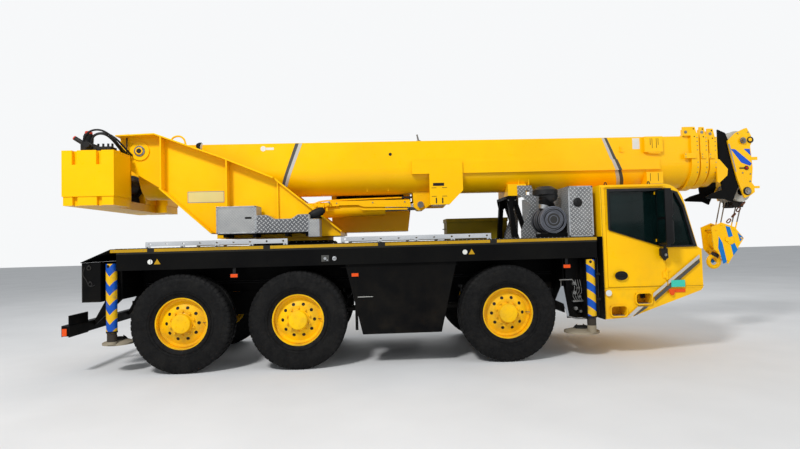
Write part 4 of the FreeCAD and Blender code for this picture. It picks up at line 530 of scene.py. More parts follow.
CHROME = metal("rod_chrome", "rod_chrome", rgb(220, 222, 224), rgb(196, 198, 202), rough=0.16, scale=30.0)
STEEL = metal("worn_steel", "rail_metal", rgb(150, 150, 148), rgb(104, 100, 94), rough=0.45)
RUST = plain_part("rusty_chain", "dark_steel", rgb(124, 72, 40), rgb(84, 52, 34), rough=0.85, grain=160.0,
                  strength=0.5)
HOSE = plain_part("hose_rubber", "trim_black", rgb(20, 20, 22), rgb(32, 32, 34), rough=0.5)
GREY_TAPE = paint("grey_tape", "rail_metal", rgb(150, 154, 158), rgb(132, 136, 142), rough=0.5, coat=0.0, dirt=0.1)
WHITE_TAPE = paint("white_tape", "rail_metal", rgb(226, 226, 220), rgb(204, 204, 198), rough=0.5, coat=0.0, dirt=0.1)
PALE_TAPE = paint("pale_tape", "rail_metal", rgb(192, 190, 184), rgb(178, 176, 170), rough=0.5, coat=0.0, dirt=0.1)
DARK_TAPE = paint("dark_tape", "rail_metal", rgb(84, 84, 80), rgb(72, 72, 70), rough=0.5, coat=0.0, dirt=0.1)
CREAM_PLATE = paint("blank_plate", "pad_cream", rgb(226, 214, 150), rgb(214, 198, 128), rough=0.45, coat=0.1,
                    dirt=0.0)
GREEN_PLATE = paint("green_plate", "rail_metal", rgb(66, 200, 176), rgb(58, 186, 164), rough=0.45, coat=0.1, dirt=0.0)
REFLECTIVE = paint("yellow_strip", "body_yellow", rgb(190, 146, 22), rgb(164, 128, 26), rough=0.4, coat=0.1, dirt=0.0)
BLUE = rgb(8, 78, 176)
LEG_REAR = striped("leg_chevrons", "stripe_paint", BLUE, rgb(228, 178, 20), 0.262, -1.25, -0.95, chevron=True)
LEG_FRONT = striped("leg_bands", "stripe_paint", BLUE, rgb(228, 178, 20), 0.237, 0.75, 5.78)
HEAD_BLUE = paint("head_blue", "stripe_paint", rgb(4, 84, 205), rgb(16, 76, 180), rough=0.4, coat=0.1, dirt=0.1)
HOOK_BLUE = paint("hook_blue", "stripe_paint", rgb(6, 118, 200), rgb(20, 104, 180), rough=0.4, coat=0.1, dirt=0.2)
NYLON = plain_part("sheave_nylon", "rail_metal", rgb(206, 206, 198), rgb(170, 168, 158), rough=0.45)
RED_CAP = paint("red_cap", "lamp_orange", rgb(206, 60, 34), rgb(170, 44, 26), rough=0.45, coat=0.2, dirt=0.0)

CAD_LOOKS = {
    # start of the node's name: material
    "rim": WHEEL_YELLOW, "knuckle": CASTING, "axles": CASTING, "outrigger_beam_rear": LEG_REAR,
    "outrigger_beam_front": LEG_FRONT, "outrigger_jack": CREAM, "chassis": BLACK, "deck": DECK, "deck_rails": RAIL,
    "side_tanks": BLACK, "driveline": CASTING, "engine_housing": TREAD, "air_intake": HAT, "boom_rest": BLACK,
    "storage_box": SHADED_BOX_YELLOW, "cab_shell": YELLOW, "cab_floor": YELLOW, "cab_glazing": GLASS, "cab_interior": TRIM,
    "lamps": LAMPS, "cab_door": DOOR_YELLOW, "door_glass": GLASS, "upper_frame": YELLOW, "counterweight": YELLOW,
    "winch": CASTING, "side_boxes": FINE_TREAD, "cabin_shell": YELLOW, "cabin_glazing": GLASS,
    "cabin_seat": SEAT_CLOTH,
    "cabin_door": YELLOW, "cabin_door_glass": GLASS, "boom_base": YELLOW, "boom_section": YELLOW,
    "boom_head": HEAD_YELLOW,
    "luff_barrel": YELLOW, "luff_rod": CHROME, "hook_block": HOOK_YELLOW, "tyre": HOSE,
}


def dress_nodes():
    """Gives each CAD node its material."""
    for name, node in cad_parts.items():
        look = CAD_LOOKS[max((key for key in CAD_LOOKS if name.startswith(key)), key=len)]
        if not node.material_slots:
            node.data.materials.append(look)
        for place in node.material_slots:
            place.material = look


# Wheels

LUGS = 56
TYRE_PROFILE = [
    # share of the rim's radius to the tyre's radius, share of the half width
    (0.0, 0.78), (0.035, 0.84), (0.09, 0.86), (0.16, 0.93), (0.34, 0.985), (0.56, 1.0), (0.72, 0.985), (0.83, 0.955),
    (0.9, 0.91), (0.955, 0.86), (0.972, 0.8),
]


def tyre(name, x, side):
    """A road tyre: smooth sidewalls with raised rings, notched shoulders and a tread with three grooves."""
    span = WHEEL_R - RIM_R
    half = [(RIM_R + 0.0006 + share * span, out * TYRE_HALF_W) for share, out in TYRE_PROFILE]
    tread_r = half[-1][0]
    profile = half + [(tread_r, 0.05), (tread_r - 0.012, 0.045), (tread_r - 0.012, 0.03), (tread_r, 0.025)]
    profile += [(r, -w) for r, w in profile[::-1]]
    y = side * WHEEL_Y
    shape = Shape().ring(profile, (x, y, WHEEL_R), ACROSS, sides=96)
    for ring_r, width, lift in ((0.415, 0.005, 0.002), (0.452, 0.005, 0.003), (0.57, 0.006, 0.004),
                                (0.604, 0.004, 0.001)):
        bulge = TYRE_HALF_W * (0.975 if ring_r < 0.58 else 0.95)
        shape.ring([(ring_r - width, bulge - 0.02), (ring_r, bulge + lift), (ring_r + width, bulge - 0.02)],
                   (x, y, WHEEL_R), (0, side, 0), sides=96)
    edge = TYRE_HALF_W
    for i in range(LUGS):
        for half_sign, shift in ((1, 0.0), (-1, 0.5)):
            turn = 2 * math.pi * (i + shift) / LUGS
            width = 2 * math.pi / LUGS * 0.42
            lug(shape, x, y, turn, width, half_sign, tread_r, edge)
    piece = shape.finish("tread_" + name, RUBBER, "wheel_" + name, smooth=40)
    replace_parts(piece, "tyre_" + name)


def lug(shape, x, y, turn, width, sign, tread_r, edge):
    """One shoulder block: it covers the tread's outer part and ends in a short tooth on the shoulder."""
    top = WHEEL_R - 0.0005
    stations = [
        # distance out, outer radius, inner radius
        (0.055, top, tread_r - 0.004), (edge * 0.8, top, tread_r - 0.004), (edge * 0.89, top - 0.01, tread_r - 0.02),
        (edge * 0.945, top - 0.034, tread_r - 0.04), (edge * 0.962, top - 0.05, top - 0.058),
    ]
    rings = []
    for out, high, low in stations:
        skew = turn + (out - edge) * 0.2 * sign
        ring = []
        for angle, r in ((skew - width, low), (skew + width, low), (skew + width * 0.9, high),
                         (skew - width * 0.9, high)):
            ring.append((x + r * math.cos(angle), y + sign * out, WHEEL_R + r * math.sin(angle)))
        rings.append(ring)
    shape.skin(rings)


def wheel_trim(name, x, side):
    """The wheel's dish rings, black plugs of painted shade in the hand holes, nuts, large hub cap with its bosses,
    drum and valve.
    """
    y = side * WHEEL_Y
    out = (0, side, 0)
    hub_face = HUB_OUT_Y - WHEEL_Y
    at = (x, y, WHEEL_R)
    shape = Shape()
    for a in angles(10):
        foot = Vector((x + 0.166 * math.cos(a + 0.3), y + side * 0.094, WHEEL_R + 0.166 * math.sin(a + 0.3)))
        shape.bolt(foot, out, 0.017, 0.022)
        shape.rod(foot + Vector(out) * 0.022, foot + Vector(out) * 0.036, 0.01, sides=10)
    shape.ring([(0.12, 0.095), (0.146, 0.095), (0.144, 0.106), (0.132, 0.112), (0.12, 0.112)], at, out, sides=48)
    shape.turned([(0.135, 0.1), (0.133, hub_face - 0.012), (0.126, hub_face + 0.001), (0.112, hub_face + 0.006),
                  (0.03, hub_face + 0.0095), (0.0, hub_face + 0.0095)], at, out, sides=48)
    for a in angles(4):
        shape.rod((x + 0.074 * math.cos(a + 0.5), y + side * (hub_face + 0.006), WHEEL_R + 0.074 * math.sin(a + 0.5)),
                  (x + 0.074 * math.cos(a + 0.5), y + side * (hub_face + 0.0112),
                   WHEEL_R + 0.074 * math.sin(a + 0.5)),
                  0.013, sides=18)
    for a in angles(8):
        shape.bolt((x + 0.126 * math.cos(a), y + side * 0.11, WHEEL_R + 0.126 * math.sin(a)), out, 0.009, 0.012)
    shape.ring([(0.306, 0.046), (0.338, 0.046), (0.334, 0.06), (0.312, 0.06)], at, out, sides=64)
    shape.finish("wheel_trim_" + name, WHEEL_YELLOW, "wheel_" + name)
    # black plugs in the hand holes are painted shade; the ring behind them stands for the drum, and its black is
    # painted shade
    dark = Shape()
    for a in angles(10):
        hole = Vector((x + 0.222 * math.cos(a), y + side * 0.0843, WHEEL_R + 0.222 * math.sin(a)))
        lean = Vector((0.413 * math.cos(a), side, 0.413 * math.sin(a))).normalized()
        dark.rod(hole - lean * 0.02, hole + lean * 0.0016, 0.0235, sides=24)
    dark.ring([(0.175, -0.1), (0.262, -0.1), (0.262, -0.05), (0.175, -0.05)], at, out, sides=40)
    dark.finish("wheel_hole_shade_" + name, TRIM, "wheel_" + name)
    Shape().pipe([(x + 0.27, y + side * 0.05, WHEEL_R), (x + 0.285, y + side * 0.085, WHEEL_R),
                  (x + 0.325, y + side * 0.115, WHEEL_R)], 0.006).finish("valve_" + name, STEEL, "wheel_" + name)


def wheels():
    """Dresses all six wheels."""
    for axle, x in AXLES.items():
        for side_name, side in SIDES.items():
            name = axle + "_" + side_name
            tyre(name, x, side)
            wheel_trim(name, x, side)


# Boom

BOOM_ARC_Z = 2.9
LUFF_PLATE_Y = 0.44
RIDGE_X = (4.09, 7.34)
RIDGE_Z = (2.805, 2.975)
RIDGE_Y = 0.405
REAR_STRIPE = ((3.33, 1.486, 1.595), (2.66, 1.245, 1.336))
FRONT_STRIPE = ((3.33, 6.395, 6.48), (2.56, 6.69, 6.81))


def skin_y(z, out=0.0):
    """Where the base section's right skin lies at a height."""
    half = BOOM_Y + out
    drop = max(0.0, BOOM_ARC_Z - z)
    return -math.sqrt(max(half * half - drop * drop, 0.0))


def wrapped(shape, rows):
    """A thin sheet on the boom's right skin; each row holds z, first x and last x."""
    rings = []
    for z, x0, x1 in rows:
        y0, y1 = skin_y(z, -0.001), skin_y(z, TAPE_T)
        rings.append([(x0, y0, z), (x1, y0, z), (x1, y1, z), (x0, y1, z)])
    shape.skin(rings)
    return shape


def between(first, last, z):
    """The x on a straight line between two x, z ends at a height."""
    (x0, z0), (x1, z1) = first, last
    return x0 + (x1 - x0) * (z - z0) / (z1 - z0)


def stripe(name, ends, body, first_share, last_share, material):
    """Half of a slanted reflective stripe, on the skin and again on the ridge that it crosses."""
    (top, xa, xb), (low, xc, xd) = ends
    rows = []
    for z in steps(top, low, 20):
        left, right = between((xa, top), (xc, low), z), between((xb, top), (xd, low), z)
        rows.append((z, left + (right - left) * first_share, left + (right - left) * last_share))
    shape = wrapped(Shape(), rows)
    if xa > RIDGE_X[0]:
        rings = []
        for z in steps(RIDGE_Z[1] + 0.0015, RIDGE_Z[0] - 0.0015, 4):
            left, right = between((xa, top), (xc, low), z), between((xb, top), (xd, low), z)
            x0, x1 = left + (right - left) * first_share, left + (right - left) * last_share
            rings.append([(x0, -RIDGE_Y + 0.02, z), (x1, -RIDGE_Y + 0.02, z), (x1, -RIDGE_Y - 0.002, z),
                          (x0, -RIDGE_Y - 0.002, z)])
        shape.skin(rings)
    shape.mirrored().finish(name, material, body)


def boom_stripes():
    """The two pairs of grey stripes, light towards the boom's middle."""
    stripe("stripe_rear_dark", REAR_STRIPE, "boom", 0.0, 0.5, DARK_TAPE)
    stripe("stripe_rear_light", REAR_STRIPE, "boom", 0.5, 1.0, PALE_TAPE)
    stripe("stripe_front_light", FRONT_STRIPE, "boom", 0.0, 0.5, PALE_TAPE)
    stripe("stripe_front_dark", FRONT_STRIPE, "boom", 0.5, 1.0, DARK_TAPE)


def wedge(shape, x0, x1, z_top, z_low, reach=0.055):
    """A small triangular web that stands out of the boom's round belly."""
    y_top = skin_y(z_top)
    y_low = skin_y(z_low)
    outline = [(y_top + 0.004, z_top), (y_low + 0.02, z_low), (y_low - reach, z_low), (y_low - reach, z_low + 0.02)]
    shape.prism_yz(outline, x0, x1)


def boom_fittings():
    """Webs, brackets, lugs, bolts, seams and slots on the base section's sides; the slots and one hole are black
    strips and a disc of painted shade.
    """
    shape = Shape()
    for x in (2.585, 2.925):
        wedge(shape, x, x + 0.014, 2.69, 2.56)
    for x in (5.03, 5.195):
        wedge(shape, x, x + 0.016, 2.7, 2.6, 0.07)
    shape.prism_xz([(7.1, 3.085), (7.35, 3.085), (7.33, 3.05), (7.15, 3.058)], -0.43, -0.375)
    shape.box((6.69, 6.706), (-0.405, -0.375), (3.1, 3.185))
    shape.disc(0.03, 0.02, (6.712, -0.378, 3.115), OUT, sides=20)
    shape.mirrored().finish("boom_webs", YELLOW, "boom", bevel=0.002)

    seams = Shape()
    for x0, x1, z in ((1.33, 3.25, 2.902), (7.345, 7.9, 2.893)):
        seams.pipe([(x0, skin_y(z) + 0.0012, z), ((x0 + x1) / 2, skin_y(z) + 0.0012, z), (x1, skin_y(z) + 0.0012, z)],
                   0.0028, sides=8)
    for x in (4.11, 7.32):
        seams.pipe([(x, -RIDGE_Y - 0.0008, RIDGE_Z[0] + 0.01), (x, -RIDGE_Y - 0.0008, RIDGE_Z[1] - 0.01)], 0.0022,
                   sides=8)
    seams.mirrored().finish("boom_seams", YELLOW, "boom")

    # black strips and a disc stand in for slots and a hole: painted shade
    holes = Shape()
    holes.turned([(0.0, 0.0), (0.026, 0.0), (0.024, 0.0025), (0.0, 0.0025)], (2.975, -0.3795, 3.13), OUT, sides=28)
    for x0, x1, z0, z1 in ((3.634, 3.81, 2.605, 2.653), (3.61, 3.687, 2.572, 2.58), (3.776, 3.854, 2.572, 2.58),
                           (3.61, 3.687, 2.438, 2.446), (3.776, 3.854, 2.438, 2.446), (3.672, 3.691, 2.33, 2.419),
                           (3.771, 3.791, 2.328, 2.417)):
        holes.box((x0, x1), (-LUFF_PLATE_Y - 0.0012, -LUFF_PLATE_Y + 0.01), (z0, z1))
    for x in (7.165, 7.195, 7.265, 7.295):
        tall = 0.16 if x in (7.195, 7.265) else 0.11
        holes.box((x - 0.004, x + 0.004), (-0.4412, -0.43), (3.3 - tall, 3.3))
    for x in (7.16, 7.29):
        holes.box((x - 0.004, x + 0.004), (-0.4112, -0.4), (2.61, 2.74))
    holes.mirrored().finish("boom_slot_shade", TRIM, "boom")

    sticker = Shape().box((6.9, 7.017), (-0.3818, -0.378), (3.139, 3.316))
    sticker.prism_xz(arc((0.985, 3.255), 0.042, 0, 345, 24), -0.3818, -0.378)
    sticker.box((1.03, 1.15), (-0.3818, -0.378), (3.235, 3.272))
    sticker.finish("boom_blank_stickers", WHITE_TAPE, "boom")

    post = Shape().pipe([(3.44, -0.3, 3.33), (3.425, -0.3, 3.4), (3.415, -0.3, 3.452)], 0.014)
    post.box((3.4, 3.48), (-0.32, -0.27), (3.33, 3.352))
    post.bolt((3.455, -0.295, 3.352), UP, 0.012, 0.01)
    post.finish("boom_post", STEEL, "boom", bevel=0.002)


COLLARS = (
    # body, half width over the collar, ear from x to x, top z, collar's end x
    ("boom", 0.425, 7.72, 7.92, 3.478, 7.98),
    ("section_1", 0.395, 8.015, 8.09, 3.478, 8.15),
    ("section_2", 0.365, 8.165, 8.26, 3.456, 8.32),
)
STOP_Y_OUT = 0.022


def collar_fittings():
    """Pins through the ears, and the small bolts on the stops and round the collars."""
    for body, half, x0, x1, top, end in COLLARS:
        pins = Shape()
        pin_x = x0 + min(0.045, (x1 - x0) / 2)
        stand_off(pins, (pin_x, -half - 0.0003, top - 0.085), OUT, 0.024, 0.014, 0.014)
        for z in (2.985, 3.03):
            pins.bolt((x0 + 0.02, -half - STOP_Y_OUT, z), OUT, 0.008, 0.006)
        for z in (3.1, 3.17, 3.24, 3.3):
            pins.bolt((end - 0.03, -half, z), OUT, 0.008, 0.006)
        for z in (2.9, 2.82, 2.74):
            y = skin_y(z, half - BOOM_Y)
            pins.bolt((end - 0.03, y + 0.002, z), OUT, 0.008, 0.008)
        pins.mirrored().finish("collar_pins_" + body, STEEL, body)
        # black discs stand in for holes in the collar: painted shade
        dots = Shape()
        dots.disc(0.012, 0.0012, (x1 - 0.022, -half, top - 0.034), OUT, 20)
        dots.disc(0.01, 0.0012, (x1 - 0.012, -half, top - 0.16), OUT, 20)
        dots.mirrored().finish("collar_hole_shade_" + body, TRIM, body)
        ribs = Shape()
        ribs.box((x0 + 0.01, x1 - 0.005), (-half + 0.028, -half + 0.115), (top - 0.145, top - 0.12))
        ribs.box((x0 + 0.02, x0 + 0.045), (-half + 0.028, -half + 0.1), (top - 0.145, top - 0.03))
        ribs.mirrored().finish("collar_ribs_" + body, YELLOW, body, bevel=0.003)


# Head and hook

HEAD_FACE_Y = 0.3463
HEAD_FRAME_Y = (0.2885, 0.3187)
HEAD_FRAME = (
    (8.374, 3.445), (8.497, 3.389), (8.591, 3.143), (8.699, 2.792), (8.704, 2.548), (8.563, 2.25), (8.459, 2.3),
    (8.16, 2.317), (8.13, 2.345), (8.24, 2.4), (8.414, 2.45), (8.38, 2.7),
)


def grown(outline, out):
    """An outline with each side moved out by a little."""
    points = [Vector(p) for p in outline]
    area = sum(a.x * b.y - b.x * a.y for a, b in zip(points, points[1:] + points[:1]))
    sign = 1 if area > 0 else -1
    result = []
    for before, here, after in zip(points[-1:] + points[:-1], points, points[1:] + points[:1]):
        first, second = (here - before).normalized(), (after - here).normalized()
        normals = [Vector((d.y, -d.x)) * sign for d in (first, second)]
        corner = (normals[0] + normals[1]).normalized()
        result.append(tuple(here + corner * out / max(corner.dot(normals[0]), 0.4)))
    return result


def head_dress():
    """The head's stripes, lamp, pin nuts, rope guards and small lugs."""
    face = -HEAD_FACE_Y - 0.0006
    blue = Shape()
    blue.prism_xz([(8.559, 3.119), (8.636, 3.11), (8.906, 2.874), (8.877, 2.832), (8.729, 2.888)], face - 0.001,
                  face + 0.004)
    blue.prism_xz([(8.779, 3.115), (8.883, 3.113), (8.896, 2.999)], face - 0.001, face + 0.004)
    blue.mirrored().finish("head_blue_bands", HEAD_BLUE, "section_3")
    edge = Shape().prism_xz([(8.524, 3.2), (8.546, 3.206), (8.64, 2.74), (8.622, 2.75)], face - 0.001, face + 0.004)
    edge.mirrored().finish("head_grey_edge", GREY_TAPE, "section_3")
    # a black plate at the head's rear is painted shade inside the head
    Shape().prism_xz(grown(HEAD_FRAME, 0.0015), -HEAD_FRAME_Y[0], -HEAD_FRAME_Y[1]).mirrored().finish(
        "head_frame_shade", BLACK, "section_3")
    discs = Shape()
    for x, z, radius in ((8.894, 3.261, 0.052), (8.8, 2.42, 0.066)):
        stand_off(discs, (x, face, z), OUT, radius, 0.028, radius * 0.62)
    discs.mirrored().finish("head_dark_discs", CASTING, "section_3", bevel=0.001)
    for level, (x, z, radius) in enumerate(((8.76, 3.25, 0.19), (8.8, 2.42, 0.16))):
        skins = Shape()
        groove = radius - 0.0248
        for y in (-0.18, -0.06, 0.06, 0.18):
            skins.ring([(0.06, -0.0248), (radius - 0.03, -0.0248), (radius + 0.0008, -0.0252),
                        (radius + 0.0008, -0.0125),
                        (groove, -0.0115), (groove, 0.0115), (radius + 0.0008, 0.0125), (radius + 0.0008, 0.0252),
                        (radius - 0.03, 0.0248), (0.06, 0.0248)], (x, y, z), ACROSS, 72)
        skins.finish(("head_top_sheaves", "head_low_sheaves")[level], NYLON, "section_3")
    guard = Shape()
    for y in (-0.12, 0.0, 0.12):
        guard.box((8.7, 8.88), (y - 0.008, y + 0.008), (2.17, 2.27))
    guard.rod((8.72, -0.15, 2.2), (8.72, 0.15, 2.2), 0.012)
    guard.rod((8.86, -0.15, 2.2), (8.86, 0.15, 2.2), 0.012)
    guard.finish("head_rope_guide", CASTING, "section_3", bevel=0.001)
    nuts = Shape()
    for x, z in ((8.76, 3.25), (8.8, 2.42)):
        nuts.ring([(0.03, 0.0), (0.052, 0.0), (0.052, 0.01), (0.03, 0.01)], (x, -0.3768, z), ACROSS, sides=32)
        nuts.bolt((x, -0.3765, z), OUT, 0.03, 0.014)
    for x, z in ((8.865, 3.39), (8.69, 3.37), (8.87, 2.7), (8.74, 2.72), (8.86, 2.58)):
        nuts.bolt((x, face, z), OUT, 0.012, 0.01)
    nuts.mirrored().finish("head_nuts", STEEL, "section_3", bevel=0.0015)
    lamp = Shape().turned([(0.0, 0.0), (0.022, 0.0), (0.022, 0.012), (0.014, 0.022), (0.0, 0.024)],
                          (8.808, face, 2.8), OUT, sides=24)
    lamp.finish("head_lamp", RED, "section_3")
    holder = Shape().ring([(0.023, 0.0), (0.034, 0.0), (0.034, 0.012), (0.023, 0.012)], (8.808, face, 2.8), OUT, 24)
    holder.box((8.69, 8.785), (face - 0.011, face), (2.79, 2.808))
    holder.finish("head_lamp_holder", CASTING, "section_3", bevel=0.001)


def hook_dress():
    """The hook block's stripes, centre disc, bolts and the rope wedge; the chain that ties it to the head is made
    after it.
    """
    outer = -0.1505
    blue = Shape()
    blue.prism_xz([(8.418, 1.69), (8.476, 1.585), (8.538, 1.262), (8.478, 1.232), (8.4, 1.5)], outer - 0.0015,
                  outer + 0.004)
    blue.prism_xz([(8.543, 1.862), (8.618, 1.842), (8.66, 1.69), (8.585, 1.668)], outer - 0.0015, outer + 0.004)
    blue.prism_xz([(8.616, 1.546), (8.683, 1.575), (8.735, 1.462), (8.655, 1.368)], outer - 0.0015, outer + 0.004)
    blue.prism_xz([(8.744, 1.75), (8.838, 1.66), (8.781, 1.592)], outer - 0.0015, outer + 0.004)
    blue.mirrored().finish("hook_blue_bands", HOOK_BLUE, "hook")
    disc = Shape().turned([(0.0, 0.0), (0.062, 0.0), (0.06, 0.01), (0.04, 0.014), (0.0, 0.014)], (8.62, -0.15, 1.612),
                          OUT, sides=40)
    for x, z in ((8.372, 1.8), (8.47, 1.88), (8.69, 1.8), (8.8, 1.655), (8.56, 1.29), (8.38, 1.45)):
        disc.bolt((x, -0.1495, z), OUT, 0.014, 0.012)
        disc.rod((x, -0.14, z), (x, 0.14, z), 0.011, sides=14)
    disc.mirrored().finish("hook_bolts", YELLOW, "hook", bevel=0.001)
    latch = Shape().prism_xz([(8.395, 1.372), (8.408, 1.376), (8.342, 1.216), (8.33, 1.222)], -0.012, 0.012)
    latch.turned([(0.0, -0.03), (0.064, -0.03), (0.064, 0.03), (0.0, 0.03)], (8.432, 0, 1.375), (0.54, 0, 1),
                 sides=32)
    latch.finish("hook_latch", CASTING, "hook", bevel=0.002)


def chain(points, link, name, material, body):
    """A chain of round-bar links along a path, each turned a quarter from the last."""
    path = smooth_path(points, 24)
    lengths = [0.0]
    for a, b in zip(path, path[1:]):
        lengths.append(lengths[-1] + (b - a).length)
    shape = Shape()
    count = max(2, int(lengths[-1] / (link * 1.35)))
    for i in range(count):
        target = lengths[-1] * (i + 0.5) / count
        k = max(j for j in range(len(lengths)) if lengths[j] <= target)
        k = min(k, len(path) - 2)
        along = (path[k + 1] - path[k]).normalized()
        at = path[k].lerp(path[k + 1], (target - lengths[k]) / max(lengths[k + 1] - lengths[k], 1e-6))
        side = along.cross(Vector(ACROSS)).normalized() if i % 2 else Vector(ACROSS)
        half, bend, bar = link * 0.5, link * 0.3, link * 0.13
        loop = []
        for a in angles(20):
            shift = half - bend if math.cos(a) >= 0 else bend - half
            loop.append(at + along * (bend * math.cos(a) + shift) + side * bend * math.sin(a))
        rings = []
        normal = along.cross(side).normalized()
        for j, p in enumerate(loop):
            tangent = (loop[(j + 1) % len(loop)] - loop[j - 1]).normalized()
            out = tangent.cross(normal).normalized()
            rings.append([p + out * bar * math.cos(b) + normal * bar * math.sin(b) for b in angles(8)])
        rows = shape.skin(rings, caps=False)
        for j in range(8):
            q = (j + 1) % 8
            shape.bm.faces.new((rows[-1][j], rows[-1][q], rows[0][q], rows[0][j]))
    shape.finish(name, material, body, smooth=60)


# Superstructure

def stand_off(shape, at, axis, radius, height, cap):
    """A pin's end: a washer with a stepped disc on it."""
    shape.turned([(0.0, 0.0), (radius, 0.0), (radius, height * 0.5), (cap, height * 0.55), (cap, height),
                  (0.0, height)],
                 at, axis, sides=40)


def frame_details():
    """Pivot discs, blank plate, weld beads, bolts and the slewing ring's bolts."""
    disc = Shape()
    for sign in (-1, 1):
        stand_off(disc, (PIVOT_X, sign * 0.6165, PIVOT_Z), (0, sign, 0), 0.08, 0.022, 0.056)
        for a in angles(4):
            disc.bolt((PIVOT_X + 0.066 * math.cos(a + 0.6), sign * 0.63, PIVOT_Z + 0.066 * math.sin(a + 0.6)),
                      (0, sign, 0),
                      0.008, 0.009)
    disc.finish("pivot_discs", STEEL, "superstructure", bevel=0.001)
    caps = Shape()
    for sign in (-1, 1):
        caps.turned([(0.0, 0.0), (0.036, 0.0), (0.034, 0.008), (0.0, 0.008)], (PIVOT_X, sign * 0.64, PIVOT_Z),
                    (0, sign, 0), 32)
    caps.finish("pivot_caps", CASTING, "superstructure", bevel=0.001)

    plate = Shape().box((-0.106, 0.428), (-PLATE_Y - 0.0025, -PLATE_Y + 0.001), (2.414, 2.578))
    plate.finish("frame_blank_plate", CREAM_PLATE, "superstructure")
    border = Shape()
    for xs, zs in (((-0.112, 0.434), (2.41, 2.418)), ((-0.112, 0.434), (2.574, 2.582)),
                   ((-0.112, -0.104), (2.41, 2.582)),
                   ((0.426, 0.434), (2.41, 2.582))):
        border.box(xs, (-PLATE_Y - 0.0035, -PLATE_Y + 0.001), zs)
    border.finish("frame_plate_border", GREY_TAPE, "superstructure")

    beads = Shape()
    for x, low, top in ((-0.46, 2.64, 3.38), (0.5, 1.96, 3.02), (1.23, 1.96, 2.7)):
        for side in (-0.003, 0.025):
            beads.pipe([(x + side, -PLATE_Y - 0.002, low), (x + side, -PLATE_Y - 0.002, (low + top) / 2),
                        (x + side, -PLATE_Y - 0.002, top)], 0.004, sides=8)
    beads.mirrored().finish("frame_welds", YELLOW, "superstructure")

    ring = Shape()
    for a in angles(44):
        ring.bolt((SLEW_X + 0.585 * math.cos(a), 0.585 * math.sin(a), 1.93), UP, 0.013, 0.012)
    ring.finish("slew_bolts", STEEL, "superstructure")


def floodlight(name, body, at, tilt=0.0):
    """A round work lamp on its bracket, looking forward and down."""
    x, y, z = at
    shell = Shape().turned([(0.0, -0.055), (0.03, -0.052), (0.052, -0.02), (0.06, 0.012), (0.056, 0.018),
                            (0.0, 0.018)],
                           (x, y, z), (1.0, 0, -0.25 + tilt), sides=32)
    shell.box((x - 0.012, x + 0.006), (y - 0.066, y - 0.06), (z - 0.055, z + 0.012))
    shell.box((x - 0.012, x + 0.006), (y + 0.06, y + 0.066), (z - 0.055, z + 0.012))
    shell.box((x - 0.02, x + 0.016), (y - 0.066, y + 0.066), (z - 0.06, z - 0.054))
    shell.finish(name + "_shell", TRIM, body, bevel=0.001)
    Shape().turned([(0.0, 0.0), (0.05, 0.0), (0.046, 0.004), (0.0, 0.008)],
                   Vector((x, y, z)) + Vector((0.97, 0, -0.243 + tilt)) * 0.0185,
                   (1.0, 0, -0.25 + tilt), sides=32).finish(name + "_lens", CLEAR, body)


MOTOR_HOSES = (
    # name, length, the control points of the route
    ("motor_hose_front", 1.091, [(-1.44, -0.984, 3.145), (-1.44, -0.99, 3.266), (-1.405, -1.004, 3.378),
        (-1.315, -0.998, 3.458), (-1.18, -0.988, 3.462), (-1.06, -0.955, 3.381),
        (-0.99, -0.87, 3.253), (-0.96, -0.74, 3.165), (-0.96, -0.6, 3.14)]),
    ("motor_hose_back", 0.996, [(-1.44, -0.866, 3.145), (-1.44, -0.862, 3.262), (-1.405, -0.854, 3.366),
        (-1.315, -0.854, 3.442), (-1.18, -0.852, 3.444), (-1.055, -0.835, 3.37),
        (-0.97, -0.78, 3.255), (-0.925, -0.7, 3.172), (-0.92, -0.59, 3.14)]),
    ("motor_hose_low", 0.89, [(-1.334, -0.982, 3.145), (-1.334, -0.986, 3.255), (-1.315, -0.986, 3.345),
        (-1.245, -0.978, 3.408), (-1.14, -0.962, 3.402), (-1.06, -0.925, 3.33),
        (-1.015, -0.85, 3.235), (-1.0, -0.74, 3.168), (-1.0, -0.61, 3.14)]),
)


def hose(name, route, radius, body):
    """A free hose with both ends in the object, on one smooth spline."""
    route = [(x + REAR_AXLE_X, y, z) for x, y, z in route]
    curve = bpy.data.curves.new(name, "CURVE")
    curve.dimensions = "3D"
    spline = curve.splines.new("NURBS")
    spline.points.add(len(route) - 1)
    for point, at in zip(spline.points, route):
        point.co = (*at, 1)
    spline.order_u = 3
    spline.use_endpoint_u = True
    curve.resolution_u = 8
    curve.bevel_depth = radius
    curve.bevel_resolution = 3
    curve.materials.append(HOSE)
    piece = bpy.data.objects.new(name, curve)
    bpy.context.scene.collection.objects.link(piece)
    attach(piece, body)


